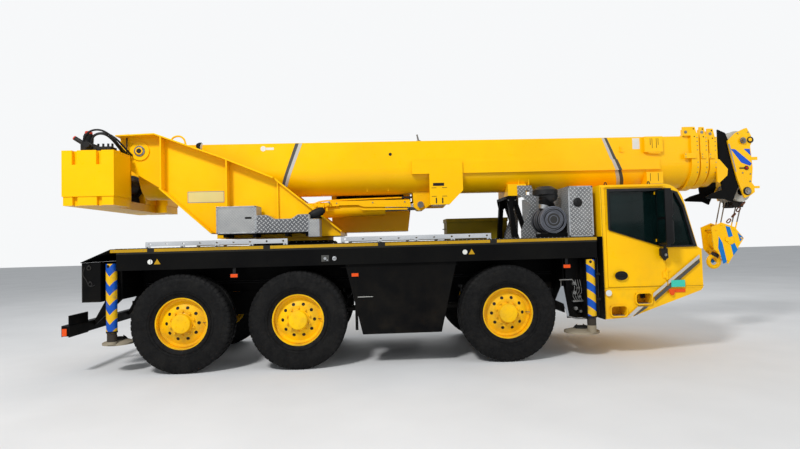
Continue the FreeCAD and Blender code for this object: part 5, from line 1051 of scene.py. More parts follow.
def tail_gear():
    """The hoist's motor and valves over the counterweight, with their hoses, lamps, cover and grab handle."""
    body = "superstructure"
    block = Shape()
    block.box((-1.47, -1.32), (-1.0, -0.82), (3.13, 3.27))
    block.box((-1.33, -1.06), (-0.96, -0.79), (3.128, 3.225))
    block.rod((-1.398, -0.93, 3.26), (-1.39, -0.93, 3.41), 0.058, sides=28)
    block.rod((-1.42, -0.93, 3.25), (-1.575, -0.94, 3.352), 0.032, sides=20)
    block.rod((-1.36, -0.99, 3.24), (-1.36, -1.06, 3.24), 0.046, sides=24)
    for i in range(7):
        block.hoop(0.054, 0.07, 0.004, (-1.397 + 0.001 * i, -0.93, 3.29 + 0.015 * i), (0.05, 0, 1), sides=28)
    for x in (-1.28, -1.21, -1.14, -1.08):
        block.bolt((x, -0.96, 3.18), OUT, 0.02, 0.03)
        block.rod((x, -0.88, 3.22), (x, -0.88, 3.28), 0.015, sides=16)
    block.finish("hoist_motor", CASTING, body, bevel=0.002)
    caps = Shape().turned([(0.0, 0.0), (0.05, 0.0), (0.048, 0.034), (0.034, 0.042), (0.0, 0.044)],
                          (-1.39, -0.93, 3.41),
                          (0.05, 0, 1), sides=28)
    caps.turned([(0.0, 0.0), (0.032, 0.0), (0.03, 0.016), (0.0, 0.02)], (-1.575, -0.94, 3.352), (-0.84, -0.05, 0.54),
                20)
    caps.finish("motor_caps", RED_CAP, body, bevel=0.001)
    for name, length, route in MOTOR_HOSES:
        hose(name, route, HOSE_R, body)
    feet = Shape()
    for y in (-0.985, -0.835):
        feet.box((-1.48, -1.06), (y - 0.012, y + 0.012), (3.1305, 3.15))
    feet.finish("hoist_motor_feet", YELLOW, body, bevel=0.002)
    cover = Shape().prism_xz([(-1.42, 3.315), (-1.095, 3.318), (-1.095, 3.33), (-1.42, 3.334)], -0.05, 0.4)
    cover.box((-1.41, -1.395), (-0.04, 0.39), (3.2, 3.32))
    cover.finish("hoist_cover", YELLOW, body, bevel=0.003)
    lamp = Shape().turned([(0.0, 0.0), (0.03, 0.0), (0.036, 0.014), (0.03, 0.034), (0.0, 0.042)],
                          (-0.985, -0.64, 3.432),
                          UP, sides=28)
    lamp.finish("tail_white_lamp", WHITE_TAPE, body)
    foot = Shape().rod((-0.985, -0.64, 3.128), (-0.985, -0.64, 3.433), 0.01, sides=16)
    foot.box((-1.015, -0.955), (-0.67, -0.61), (3.128, 3.14))
    foot.finish("tail_lamp_foot", CASTING, body, bevel=0.001)
    handle = Shape().pipe(smooth_path([(-0.4, -0.47, 3.32), (-0.385, -0.47, 3.41), (-0.33, -0.47, 3.452),
                                       (-0.255, -0.47, 3.452),
                                       (-0.2, -0.47, 3.405), (-0.175, -0.47, 3.32)], 8), 0.014, sides=14)
    for x in (-0.4, -0.175):
        handle.box((x - 0.03, x + 0.03), (-0.56, -0.44), (3.305, 3.318))
    handle.finish("frame_grab_handle", YELLOW, body, bevel=0.001)
    floodlight("frame_work_lamp", body, (0.06, -0.53, 3.285))


# Superstructure's boxes and luffing gear

BOX_FACE_Y = -1.0
LOCKER = ((0.43, 1.0), (1.92, 2.31))


def rivets(shape, points, axis, radius=0.005):
    """Small round rivet heads."""
    for at in points:
        shape.turned([(0.0, 0.0), (radius, 0.0), (radius * 0.6, radius * 0.5), (0.0, radius * 0.6)], at, axis,
                     sides=10)


def box_trim():
    """The locker's angles, door, latch and rivets, the low panel's coarse plate and the step post's frame."""
    body = "superstructure"
    (x0, x1), (z0, z1) = LOCKER
    trim = Shape()
    for xs, zs in (((x0, x1), (z0 - 0.002, z0 + 0.016)), ((x0, x1), (z1 - 0.016, z1 + 0.003)),
                   ((x0 - 0.002, x0 + 0.018), (z0, z1)), ((x1 - 0.026, x1 + 0.002), (z0, z1 + 0.003))):
        trim.box(xs, (BOX_FACE_Y - 0.004, BOX_FACE_Y + 0.02), zs)
    trim.box((x0 - 0.002, x1 + 0.002), (BOX_FACE_Y - 0.004, -0.66), (z1, z1 + 0.004))
    trim.box((1.742, 1.76), (BOX_FACE_Y - 0.003, BOX_FACE_Y + 0.01), (1.85, 2.104))
    trim.box((1.886, 1.902), (BOX_FACE_Y - 0.003, BOX_FACE_Y + 0.01), (1.85, 2.104))
    trim.box((1.742, 1.902), (BOX_FACE_Y - 0.003, -0.66), (2.098, 2.104))
    trim.box((1.744, 1.901), (-0.995, -0.7), (1.846, 1.852))
    trim.finish("locker_angles", ALLOY, body, bevel=0.0015)
    heads = Shape()
    rivets(heads, [(x, BOX_FACE_Y - 0.004,
                    z) for x in steps(x0 + 0.04, x1 - 0.05, 7) for z in (z0 + 0.008, z1 - 0.008)],
           OUT)
    rivets(heads, [(x, BOX_FACE_Y - 0.004, z) for x in (x0 + 0.008,
                                                        x1 - 0.012) for z in steps(z0 + 0.05, z1 - 0.05, 5)],
           OUT)
    rivets(heads, [(x, BOX_FACE_Y - 0.003, z) for x in (1.751, 1.894) for z in steps(1.88, 2.08, 4)], OUT, 0.004)
    heads.finish("locker_rivets", STEEL, body)
    latch = Shape().box((0.835, 0.93), (BOX_FACE_Y - 0.0015, BOX_FACE_Y + 0.01), (2.126, 2.156))
    latch.box((0.845, 0.92), (BOX_FACE_Y - 0.008, BOX_FACE_Y), (2.142, 2.15))
    latch.finish("locker_latch", TRIM, body, bevel=0.001)
    panel = Shape().prism_xz([(1.001, 1.9215), (1.742, 1.9215), (1.742, 2.1685), (1.6008, 2.1685), (1.5005, 2.1085),
                              (1.2495, 2.1085), (1.1495, 2.1685), (1.001, 2.1685)], BOX_FACE_Y - 0.0015,
                              BOX_FACE_Y + 0.004)
    panel.finish("coarse_plate", COARSE_TREAD, body)
    lip = Shape()
    for a, b in (((1.001, 2.17), (1.15, 2.17)), ((1.15, 2.17), (1.25, 2.11)), ((1.25, 2.11), (1.5, 2.11)),
                 ((1.5, 2.11), (1.6, 2.17)), ((1.6, 2.17), (1.742, 2.17))):
        lip.prism_xz([a, b, (b[0], b[1] + 0.006), (a[0], a[1] + 0.006)], BOX_FACE_Y - 0.004, -0.66)
    lip.finish("plate_lip", ALLOY, body)
    treads = Shape()
    treads.box((0.44, 1.74), (-0.985, -0.665), (1.905, 1.917))
    for x in (0.52, 0.94, 1.4, 1.7):
        treads.box((x, x + 0.05), (-0.98, -0.6), (1.862, 1.906))
    treads.finish("box_bearers", BLACK, body, bevel=0.002)


def shell_guard():
    """The black rounded shell at the frame's foot, on its short stalk."""
    shape = Shape()
    profile = [(0.0, -0.135), (0.03, -0.128), (0.052, -0.1), (0.064, -0.05), (0.068, 0.01), (0.064, 0.07),
               (0.046, 0.112), (0.022, 0.13), (0.0, 0.134)]
    shape.turned(profile, (1.842, -0.8, 2.2), (0.9, 0, 0.38), sides=36)
    shape.finish("oval_shell", TRIM, "superstructure")
    stalk = Shape().rod((1.842, -0.8, 2.2), (1.842, -0.59, 2.18), 0.018)
    stalk.box((1.79, 1.9), (-0.606, -0.596), (2.13, 2.23))
    stalk.finish("oval_shell_stalk", CASTING, "superstructure", bevel=0.001)


def luff_gear():
    """The pressed guard along the luffing cylinder, its pipes, valve block and the hoses at both ends."""
    guard = Shape()
    y0, y1 = -0.17, -0.158
    guard.prism_xz([(1.99, 2.424), (3.277, 2.424), (3.29, 2.38), (3.294, 2.3), (3.16, 2.305), (2.528, 2.319),
                    (2.44, 2.352), (1.99, 2.352)], y0, y1)
    guard.prism_xz([(1.99, 2.424), (3.277, 2.424), (3.277, 2.416), (1.99, 2.416)], y1, -0.06)
    guard.prism_xz([(2.47, 2.3), (3.24, 2.292), (3.24, 2.262), (2.5, 2.266)], -0.15, -0.126)
    for x in (2.08, 2.66, 3.18):
        guard.box((x, x + 0.035), (-0.16, -0.11), (2.335, 2.375))
    guard.finish("luff_guard", YELLOW, "barrel", bevel=0.003)
    heads = Shape()
    for x in (2.097, 2.677, 3.197):
        heads.bolt((x, y0, 2.388), OUT, 0.012, 0.009)
    heads.finish("luff_guard_bolts", STEEL, "barrel")
    pipes = Shape()
    for z, y in ((2.452, -0.095), (2.462, -0.06)):
        pipes.pipe(smooth_path([(1.7, y, z - 0.075), (1.82, y, z - 0.03), (2.1, y, z - 0.01), (3.05, y, z + 0.01),
                                (3.15, y, z + 0.008)], 6), 0.01, sides=12)
    pipes.finish("luff_pipes", YELLOW, "barrel")
    valve = Shape()
    valve.box((1.74, 1.9), (-0.235, -0.125), (2.3, 2.385))
    valve.box((1.9, 2.01), (-0.215, -0.13), (2.33, 2.395))
    valve.rod((1.78, -0.235, 2.345), (1.78, -0.285, 2.345), 0.022, sides=6)
    valve.rod((1.86, -0.235, 2.335), (1.86, -0.275, 2.335), 0.018, sides=6)
    valve.rod((1.96, -0.215, 2.365), (1.96, -0.262, 2.365), 0.024, sides=20)
    valve.rod((1.82, -0.18, 2.385), (1.82, -0.18, 2.428), 0.018, sides=6)
    valve.rod((1.94, -0.18, 2.33), (1.94, -0.18, 2.262), 0.02, sides=16)
    valve.rod((2.01, -0.17, 2.35), (2.13, -0.165, 2.35), 0.014, sides=14)
    valve.finish("luff_valve", YELLOW, "barrel", bevel=0.002)
    knobs = Shape()
    for x, z in ((1.8, 2.29), (1.88, 2.286), (1.985, 2.4)):
        knobs.rod((x, -0.24, z), (x, -0.205, z), 0.014, sides=16)
        knobs.bolt((x, -0.24, z), OUT, 0.01, 0.01)
    knobs.finish("luff_valve_knobs", STEEL, "barrel")
    elbow = Shape()
    elbow.pipe(smooth_path([(3.15, -0.08, 2.468), (3.215, -0.105, 2.466), (3.262, -0.118, 2.452),
                            (3.285, -0.122, 2.425)], 6),
               0.012, sides=12)
    elbow.box((3.15, 3.33), (-0.105, -0.04), (2.452, 2.482))
    elbow.finish("luff_rod_end_valve", CASTING, "barrel", bevel=0.003)
    wiper = Shape().ring([(0.0765, 0.0), (0.1, 0.0), (0.096, 0.012), (0.0765, 0.014)], (3.276, 0, 2.3305),
                         (1, 0, 0.0279), 48)
    wiper.finish("luff_wiper_ring", TRIM, "barrel")


def pin_faces():
    """The luffing pins' end plates with their bolts."""
    shape = Shape()
    for sign in (-1, 1):
        stand_off(shape, (3.45, sign * 0.1903, 2.335), (0, sign, 0), 0.052, 0.012, 0.03)
    shape.finish("luff_pin_ends", STEEL, "boom")


# Carrier

BAND_Y = 1.275
TANK_Y = 1.24
STRIPS_X = ((-0.932, -0.434), (-0.338, 1.148), (1.243, 2.741), (2.842, 4.33), (4.428, 5.87))
STRIP_Z = (1.69, 1.732)


def deck_edge():
    """The reflective strips with their screws, the stickers and the orange markers along both sides."""
    body = "carrier"
    strips = Shape()
    screws = Shape()
    for x0, x1 in STRIPS_X:
        strips.box((x0, x1), (-BAND_Y - 0.0028, -BAND_Y + 0.004), STRIP_Z)
        count = max(2, int((x1 - x0) / 0.28) + 1)
        rivets(screws, [(x, -BAND_Y - 0.0028, 1.711) for x in steps(x0 + 0.05, x1 - 0.05, count)], OUT, 0.005)
    strips.mirrored().finish("deck_yellow_strips", REFLECTIVE, body, bevel=0.001)
    screws.mirrored().finish("deck_strip_screws", STEEL, body)
    edge = Shape()
    edge.box((-0.845, 5.866), (-BAND_Y - 0.002, -BAND_Y + 0.01), (1.733, DECK_TOP_Z))
    edge.box((-0.845, 5.69), (-BAND_Y - 0.002, -BAND_Y + 0.01), (1.4395, 1.456))
    for x in (-0.386, 1.195, 2.791, 4.379):
        edge.box((x - 0.004, x + 0.004), (-BAND_Y - 0.002, -BAND_Y + 0.004), (1.456, 1.733))
    edge.mirrored().finish("deck_edge_lips", DECK, body, bevel=0.001)
    discs = Shape()
    triangles = Shape()
    for x, z in ((-0.395, 1.552), (3.967, 1.569)):
        discs.disc(0.034, 0.002, (x, -BAND_Y, z), OUT, 28)
        triangles.prism_xz([(x + 0.052, z - 0.034), (x + 0.14, z - 0.034), (x + 0.096, z + 0.04)], -BAND_Y - 0.002,
                           -BAND_Y)
    discs.mirrored().finish("blank_white_discs", WHITE_TAPE, body)
    triangles.mirrored().finish("blank_yellow_triangles", REFLECTIVE, body)
    lenses = Shape()
    holders = Shape()
    for x, z, y in ((0.741, 1.33, -BAND_Y + 0.02), (2.41, 1.291, -TANK_Y), (5.424, 1.326, -BAND_Y + 0.02)):
        lenses.box((x - 0.048, x + 0.048), (y - 0.022, y - 0.008), (z - 0.023, z + 0.023))
        holders.box((x - 0.054, x + 0.054), (y - 0.009, y + 0.004), (z - 0.028, z + 0.028))
        if y < -TANK_Y - 0.001:
            holders.box((x - 0.02, x + 0.02), (y - 0.004, y + 0.002), (z + 0.02, 1.45))
    lenses.mirrored().finish("side_markers", ORANGE, body, bevel=0.003)
    holders.mirrored().finish("side_marker_holders", TRIM, body, bevel=0.001)
    couplings = Shape()
    couplings.box((1.948, 2.053), (-BAND_Y - 0.004, -BAND_Y + 0.01), (1.49, 1.578))
    couplings.finish("coupling_block", DARK_TAPE, body, bevel=0.002)
    ring = Shape().ring([(0.012, 0.0), (0.03, 0.0), (0.03, 0.012), (0.012, 0.016)], (2.129, -BAND_Y, 1.53), OUT, 28)
    ring.rod((2.0, -BAND_Y - 0.004, 1.534), (2.0, -BAND_Y - 0.026, 1.534), 0.02, sides=20)
    ring.rod((2.028, -BAND_Y - 0.004, 1.51), (2.028, -BAND_Y - 0.02, 1.51), 0.01, sides=14)
    ring.bolt((2.129, -BAND_Y, 1.53), OUT, 0.01, 0.008)
    ring.finish("coupling_rings", ALLOY, body)


def deck_top():
    """Checkered walkways on the deck, the slewing ring's collar, hatches and the rails' bolts."""
    body = "carrier"
    walk = Shape()
    walk.box((-0.88, 0.73), (-1.255, -1.12), (DECK_TOP_Z, 1.7445))
    walk.box((2.08, 5.48), (-1.255, -1.12), (DECK_TOP_Z, 1.7445))
    walk.box((-0.88, 0.73), (1.12, 1.255), (DECK_TOP_Z, 1.7445))
    walk.box((2.08, 5.48), (1.12, 1.255), (DECK_TOP_Z, 1.7445))
    for x0, x1 in ((-0.82, -0.1), (-0.08, 0.62), (2.25, 3.0), (3.02, 3.9)):
        for y in (-0.98, 0.08):
            walk.box((x0, x1), (y, y + 0.9), (DECK_TOP_Z, 1.7455))
    walk.finish("deck_walkways", DARK_TREAD, body, bevel=0.001)
    collar = Shape().ring([(0.622, DECK_TOP_Z), (0.69, DECK_TOP_Z), (0.676, 1.775), (0.622, 1.775)], (SLEW_X, 0, 0),
                          UP, 96)
    collar.finish("slew_collar", BLACK, body)
    studs = Shape()
    for a in angles(36):
        studs.bolt((SLEW_X + 0.652 * math.cos(a), 0.652 * math.sin(a), 1.774), UP, 0.011, 0.014)
    studs.finish("slew_collar_bolts", STEEL, body)
    heads = Shape()
    for first, last in ((-0.51, 1.42), (2.24, 4.36)):
        for x in steps(first, last, 5):
            heads.bolt((x, -1.082, 1.752), OUT, 0.01, 0.008)
    heads.mirrored().finish("rail_foot_bolts", STEEL, body)


def housing_trim():
    """The engine housing's side skin, angles, rivets and the domed outlet cap."""
    body = "carrier"
    skin = Shape()
    skin.box((5.5085, 5.8615), (-1.2035, -1.198), (1.745, 2.4705))
    skin.mirrored()
    skin.box((5.5085, 5.8615), (-1.2035, 1.2035), (2.47, 2.4745))
    skin.box((5.5055, 5.5105), (-1.2035, 1.2035), (1.745, 2.4745))
    skin.finish("housing_skin", TREAD, body)
    angles_shape = Shape()
    for x0, x1 in ((5.504, 5.526), (5.843, 5.864)):
        angles_shape.box((x0, x1), (-1.207, -1.196), (1.745, 2.476))
    angles_shape.box((5.504, 5.864), (-1.207, -1.196), (2.455, 2.477))
    angles_shape.box((5.504, 5.864), (-1.207, -1.196), (1.745, 1.765))
    angles_shape.mirrored()
    angles_shape.finish("housing_angles", ALLOY, body, bevel=0.0015)
    heads = Shape()
    rivets(heads, [(x, -1.207, z) for x in (5.515, 5.853) for z in steps(1.8, 2.42, 9)], OUT, 0.005)
    rivets(heads, [(x, -1.207, 2.466) for x in steps(5.56, 5.81, 5)], OUT, 0.005)
    heads.mirrored().finish("housing_rivets", STEEL, body)
    cap = Shape().turned([(0.0, 0.0), (0.062, 0.0), (0.066, 0.006), (0.058, 0.018), (0.036, 0.03), (0.0, 0.036)],
                         (5.64, -1.2035, 2.24), OUT, 36)
    cap.box((5.61, 5.625), (-1.245, -1.228), (2.236, 2.264))
    cap.finish("outlet_cap", TRIM, body, bevel=0.001)


def intake_trim():
    """Rings on the filter drum, its clips, the duct to the hat, and the hat's louvres."""
    body = "carrier"
    drum = Shape()
    for r, y, t in ((0.1945, -1.13, 0.014), (0.195, -1.06, 0.01), (0.195, -0.96, 0.01), (0.195, -0.84, 0.01),
                    (0.195, -0.72, 0.012)):
        drum.ring([(r - 0.01, -t), (r, -t), (r + 0.004, 0.0), (r, t), (r - 0.01, t)], (DRUM_X, y, DRUM_Z), ACROSS, 64)
    drum.ring([(0.1, -0.004), (0.112, -0.004), (0.112, 0.006), (0.1, 0.006)], (DRUM_X, -1.124, DRUM_Z), ACROSS, 48)
    drum.ring([(0.135, -0.004), (0.15, -0.004), (0.15, 0.006), (0.135, 0.006)], (DRUM_X, -1.124, DRUM_Z), ACROSS, 48)
    drum.finish("filter_rings", FILTER, body)
    clips = Shape()
    for a in (0.6, 1.9, 3.4, 4.9):
        at = Vector((DRUM_X + 0.197 * math.cos(a), -1.105, DRUM_Z + 0.197 * math.sin(a)))
        clips.rod(at - Vector((0, 0.028, 0)), at + Vector((0, 0.028, 0)), 0.007, sides=10)
    clips.finish("filter_clips", STEEL, body)
    hat = Shape()
    for z in (2.392, 2.408, 2.424, 2.44):
        hat.ring([(0.168, -0.003), (0.1835, -0.003), (0.1805, 0.004), (0.168, 0.004)], (HAT_X, HAT_Y, z), UP, 64)
    hat.hoop(0.08, 0.093, 0.012, (HAT_X, HAT_Y, 2.33), UP, 40)
    hat.finish("intake_louvres", TRIM, body)
    duct = Shape()
    for i in range(9):
        duct.ring([(0.084, -0.007), (0.0935, 0.0), (0.084, 0.007)], (HAT_X, HAT_Y, 2.2 + 0.013 * i), UP, 40)
    duct.finish("intake_bellows", TRIM, body)
    strap = Shape()
    for y in (-1.0, -0.78):
        strap.hoop(0.194, 0.1985, 0.016, (DRUM_X, y, DRUM_Z), ACROSS, 64)
    strap.finish("filter_straps", BLACK, body)
    clamp = Shape().rod((5.205, -0.985, 2.15), (5.225, -0.975, 2.205), 0.072, 0.09, sides=36)
    clamp.finish("intake_clamp", ALLOY, body, bevel=0.002)
    elbow = Shape().pipe(smooth_path([(HAT_X, HAT_Y, 2.3), (5.29, -0.9, 2.24), (5.34, -0.83, 2.18),
                                      (5.35, -0.78, 2.08)], 8),
                         0.098, sides=32)
    elbow.finish("intake_elbow", TRIM, body)


def rest_wings():
    """The tread-plate wings beside the boom rest; their upper part hangs on the boom, which swings over the rest."""
    post = Shape().prism_xz([(4.982, 1.853), (5.145, 2.22), (5.17, 2.258), (4.994, 2.42), (5.138, 2.422),
                             (5.142, 2.498),
                             (5.254, 2.498), (5.245, 2.258), (5.24, 2.236), (5.225, 1.853)], -0.53, -0.524)
    post.box((4.985, 5.225), (-0.56, -0.524), (1.745, 1.856))
    post.mirrored().finish("rest_wings", TREAD, "carrier", bevel=0.0015)
    upper = Shape().prism_xz([(5.003, 2.434), (5.136, 2.434), (5.136, 2.512), (5.25, 2.512), (5.23, 2.588),
                              (5.0, 2.592)],
                             -0.348, -0.3352)
    upper.mirrored().finish("foot_tread_plates", TREAD, "boom", bevel=0.0015)


def rest_trim():
    """The boom rest's rubber, side cheeks, gussets and bolts."""
    body = "carrier"
    rubber_pad = Shape().box((4.826, 4.984), (-0.3, 0.3), (2.4175, 2.4255))
    rubber_pad.finish("rest_rubber", HOSE, body, bevel=0.002)
    plates = Shape()
    for sign in (-1, 1):
        plates.prism_xz([(4.822, 2.384), (4.988, 2.384), (4.988, 2.3), (4.92, 2.24), (4.85, 2.24)],
                        sign * 0.331, sign * 0.341)
        plates.box((4.84, 4.93), (sign * 0.47, sign * 0.64), (DECK_TOP_Z, 1.758))
    plates.finish("rest_gussets", BLACK, body, bevel=0.002)
    bolts = Shape()
    for sign in (-1, 1):
        for x in (4.85, 4.96):
            bolts.bolt((x, sign * 0.341, 2.36), (0, sign, 0), 0.01, 0.008)
        for y in (0.49, 0.62):
            bolts.bolt((4.86, sign * y, 1.758), UP, 0.012, 0.01)
            bolts.bolt((4.912, sign * y, 1.758), UP, 0.012, 0.01)
    bolts.finish("rest_bolts", STEEL, body)


def storage_trim():
    """The stowage box's lid rim, hinges, hasps and handles."""
    body = "carrier"
    rim = Shape()
    rim.box((3.966, 5.074), (0.605, 1.055), (2.066, 2.078))
    for x in (4.15, 4.52, 4.89):
        rim.box((x - 0.05, x + 0.05), (1.0515, 1.0565), (2.03, 2.11))
        rim.box((x - 0.004, x + 0.004), (1.0395, 1.046), (1.76, 2.06))
    rim.finish("storage_rim", SHADED_BOX_YELLOW, body, bevel=0.002)
    hasps = Shape()
    for x in (4.25, 4.79):
        hasps.box((x - 0.018, x + 0.018), (1.052, 1.062), (2.0, 2.09))
        hasps.rod((x, 1.06, 2.03), (x, 1.075, 2.03), 0.012, sides=16)
    for x in (3.967, 5.073):
        side = 1 if x > 4.5 else -1
        hasps.pipe(smooth_path([(x, 0.75, 1.95), (x + 0.03 * side, 0.76, 1.95), (x + 0.03 * side, 0.9, 1.95),
                                (x, 0.91, 1.95)], 5), 0.007)
    hasps.finish("storage_hasps", STEEL, body, bevel=0.001)


# Driver's cab

DOOR_WINDOW = ((6.055, 1.82), (6.8, 1.57), (6.8, 2.395), (6.055, 2.395))
DOOR_SEAL = ((6.034, 1.833), (6.848, 1.56), (6.848, 2.414), (6.034, 2.414))
QUARTER = ((6.93, 1.575), (7.27, 1.575), (7.13, 2.13), (7.02, 2.34), (6.93, 2.39))
QUARTER_SEAL = ((6.884, 1.558), (7.321, 1.558), (7.156, 2.165), (7.066, 2.352), (6.884, 2.412))
FACE = -HALF_W
NOSE_X = 7.405


def sheet(outline, name, material, out=TAPE_T):
    """A thin flat sheet on each side of the cab."""
    Shape().prism_xz(outline, FACE - out, FACE + 0.001).mirrored().finish(name, material, "carrier")


def cab_stripes():
    """The slanted stripe in two tones, above the steps and again below them, and the small markers."""
    # the pale tone crosses the door's lower corner, so that bit of it is a piece on the door
    pale = Shape()
    for outline in ([(7.348, 1.442), (7.353, 1.394), (6.876, 1.0301), (6.876, 1.0808)],
                    [(6.781, 1.008), (6.847, 1.008), (6.644, 0.853), (6.649, 0.907)]):
        pale.prism_xz(outline, FACE - TAPE_T, FACE + 0.001)
    pale.mirrored().finish("cab_stripe_pale", PALE_TAPE, "carrier")
    for side, door in ((1, "door_right"), (-1, "door_left")):
        y0, y1 = sorted((side * (FACE - TAPE_T), side * (FACE + 0.001)))
        corner = Shape().prism_xz([(6.7836, 1.0105), (6.856, 1.0654), (6.856, 1.0148), (6.8498, 1.0105)], y0, y1)
        corner.finish("stripe_corner_" + door, PALE_TAPE, door)
    sheet([(7.345, 1.38), (7.35, 1.329), (6.669, 0.791), (6.664, 0.845)], "cab_stripe_dark", DARK_TAPE)
    sheet([(6.414, 0.724), (6.498, 0.725), (6.324, 0.586), (6.303, 0.585), (6.25, 0.585)], "cab_stripe_low_pale",
          PALE_TAPE)
    sheet([(6.505, 0.725), (6.575, 0.723), (6.4, 0.612), (6.345, 0.588)], "cab_stripe_low_dark", DARK_TAPE)
    sheet([(6.916, 0.989), (7.118, 0.989), (7.118, 1.086), (6.916, 1.086)], "cab_green_plate", GREEN_PLATE,
          out=0.0045)
    disc = Shape().turned([(0.0, 0.0), (0.043, 0.0), (0.043, 0.004), (0.0, 0.005)], (6.002, FACE, 0.929), OUT, 32)
    disc.mirrored().finish("cab_white_disc", WHITE_TAPE, "carrier")
    seam = Shape().box((5.945, 7.398), (FACE - 0.0008, FACE + 0.001), (0.9965, 1.0005))
    seam.box((5.9405, 5.9445), (FACE - 0.0008, FACE + 0.001), (0.57, 2.44))
    seam.mirrored().finish("cab_seam", TRIM, "carrier")


def cab_seals():
    """Black rubber round the door and quarter windows, and the drip rail."""
    for side in (-1, 1):
        door = "door_right" if side < 0 else "door_left"
        seal = Shape().frame_xz(DOOR_SEAL, [(x + (0.006 if x < 6.5 else -0.022), z + (0.01 if z < 2.0 else -0.022))
                                            for x, z in DOOR_WINDOW], side * (HALF_W - 0.008),
                                            side * (HALF_W + 0.003))
        seal.finish("door_seal_" + door, HOSE, door, bevel=0.001)
    seal = Shape().frame_xz(QUARTER_SEAL, [(x * 0.985 + 7.07 * 0.015, z * 0.985 + 1.95 * 0.015) for x, z in QUARTER],
                            FACE - 0.003, FACE + 0.012)
    seal.mirrored().finish("quarter_seals", HOSE, "carrier", bevel=0.001)
    rail = Shape()
    rail.pipe([(5.96, FACE - 0.002, 2.447), (6.4, FACE - 0.004, 2.45), (6.88, FACE - 0.002, 2.447)], 0.007, sides=10)
    rail.mirrored().finish("cab_drip_rail", YELLOW, "carrier")


def cab_door_details():
    """Each door's oval handle with its lever, the mirror's rounded housings, glass and arms, and the visor."""
    for side in (-1, 1):
        door = "door_right" if side < 0 else "door_left"
        dish = Shape()
        ring = [(6.194 + 0.094 * math.cos(a), 1.172 + 0.064 * math.sin(a)) for a in angles(40)]
        core = [(6.194 + 0.08 * math.cos(a), 1.172 + 0.052 * math.sin(a)) for a in angles(40)]
        dish.skin([[(x, side * (HALF_W + 0.0005), z) for x, z in ring],
                   [(x, side * (HALF_W + 0.007), z) for x, z in ring],
                   [(x, side * (HALF_W + 0.007), z) for x, z in core],
                   [(x, side * (HALF_W + 0.0022), z) for x, z in core]])
        dish.pipe(smooth_path([(6.14, side * (HALF_W + 0.003), 1.166), (6.155, side * (HALF_W + 0.013), 1.17),
                               (6.235, side * (HALF_W + 0.014), 1.178), (6.252, side * (HALF_W + 0.003), 1.176)], 5),
                               0.007)
        dish.finish("door_handle_" + door, TRIM, door)
        pods = Shape()
        for low, high in ((1.602, 1.958), (1.976, 2.383)):
            rings = []
            for share, inset in ((0.0, 0.035), (0.03, 0.014), (0.1, 0.0), (0.9, 0.0), (0.97, 0.014), (1.0, 0.035)):
                z = low + (high - low) * share
                rings.append([(6.812, side * (1.338 + inset), z), (6.85 - inset, side * (1.345 + inset), z),
                              (6.878 - inset, side * (1.385 + inset), z), (6.886 - inset, side * 1.445, z),
                              (6.878 - inset, side * (1.51 - inset), z), (6.85 - inset, side * (1.545 - inset), z),
                              (6.812, side * (1.553 - inset), z)])
            pods.skin(rings)
        pods.finish("mirror_pods_" + door, TRIM, door, bevel=0.003)
        panes = Shape()
        for low, high in ((1.62, 1.95), (1.985, 2.365)):
            panes.box((6.7315, 6.736), (side * 1.35, side * 1.54), (low, high))
        panes.finish("mirror_glass_" + door, GLASS, door, bevel=0.002)
        arms = Shape()
        for z in (1.66, 2.34):
            arms.pipe(smooth_path([(6.8, side * (HALF_W - 0.002), z), (6.805, side * 1.31, z + 0.004),
                                   (6.795, side * 1.345, z)], 4), 0.024)
        arms.box((6.76, 6.88), (side * (HALF_W - 0.001), side * (HALF_W + 0.016)), (1.44, 1.54))
        arms.pipe(smooth_path([(6.82, side * (HALF_W + 0.012), 1.48), (6.815, side * 1.345, 1.51),
                               (6.8, side * 1.4, 1.606)], 6), 0.022)
        arms.prism_xz([(6.752, 1.545), (6.842, 1.545), (6.858, 1.415), (6.806, 1.372), (6.76, 1.44)], side * 1.33,
                      side * 1.372)
        arms.finish("mirror_arms_" + door, TRIM, door, bevel=0.003)
        knob = Shape().turned([(0.0, 0.0), (0.02, 0.0), (0.02, 0.014), (0.0, 0.016)], (6.812, side * 1.372, 1.452),
                              (0, side, 0), 20)
        knob.finish("mirror_knob_" + door, STEEL, door)
    visor = Shape().prism_xz([(6.365, 2.38), (6.7, 2.384), (6.728, 2.262), (6.7, 2.248), (6.44, 2.252)],
                             FACE + 0.07, FACE + 0.088)
    visor.mirrored().finish("cab_side_visors", STEEL, "carrier", bevel=0.004)


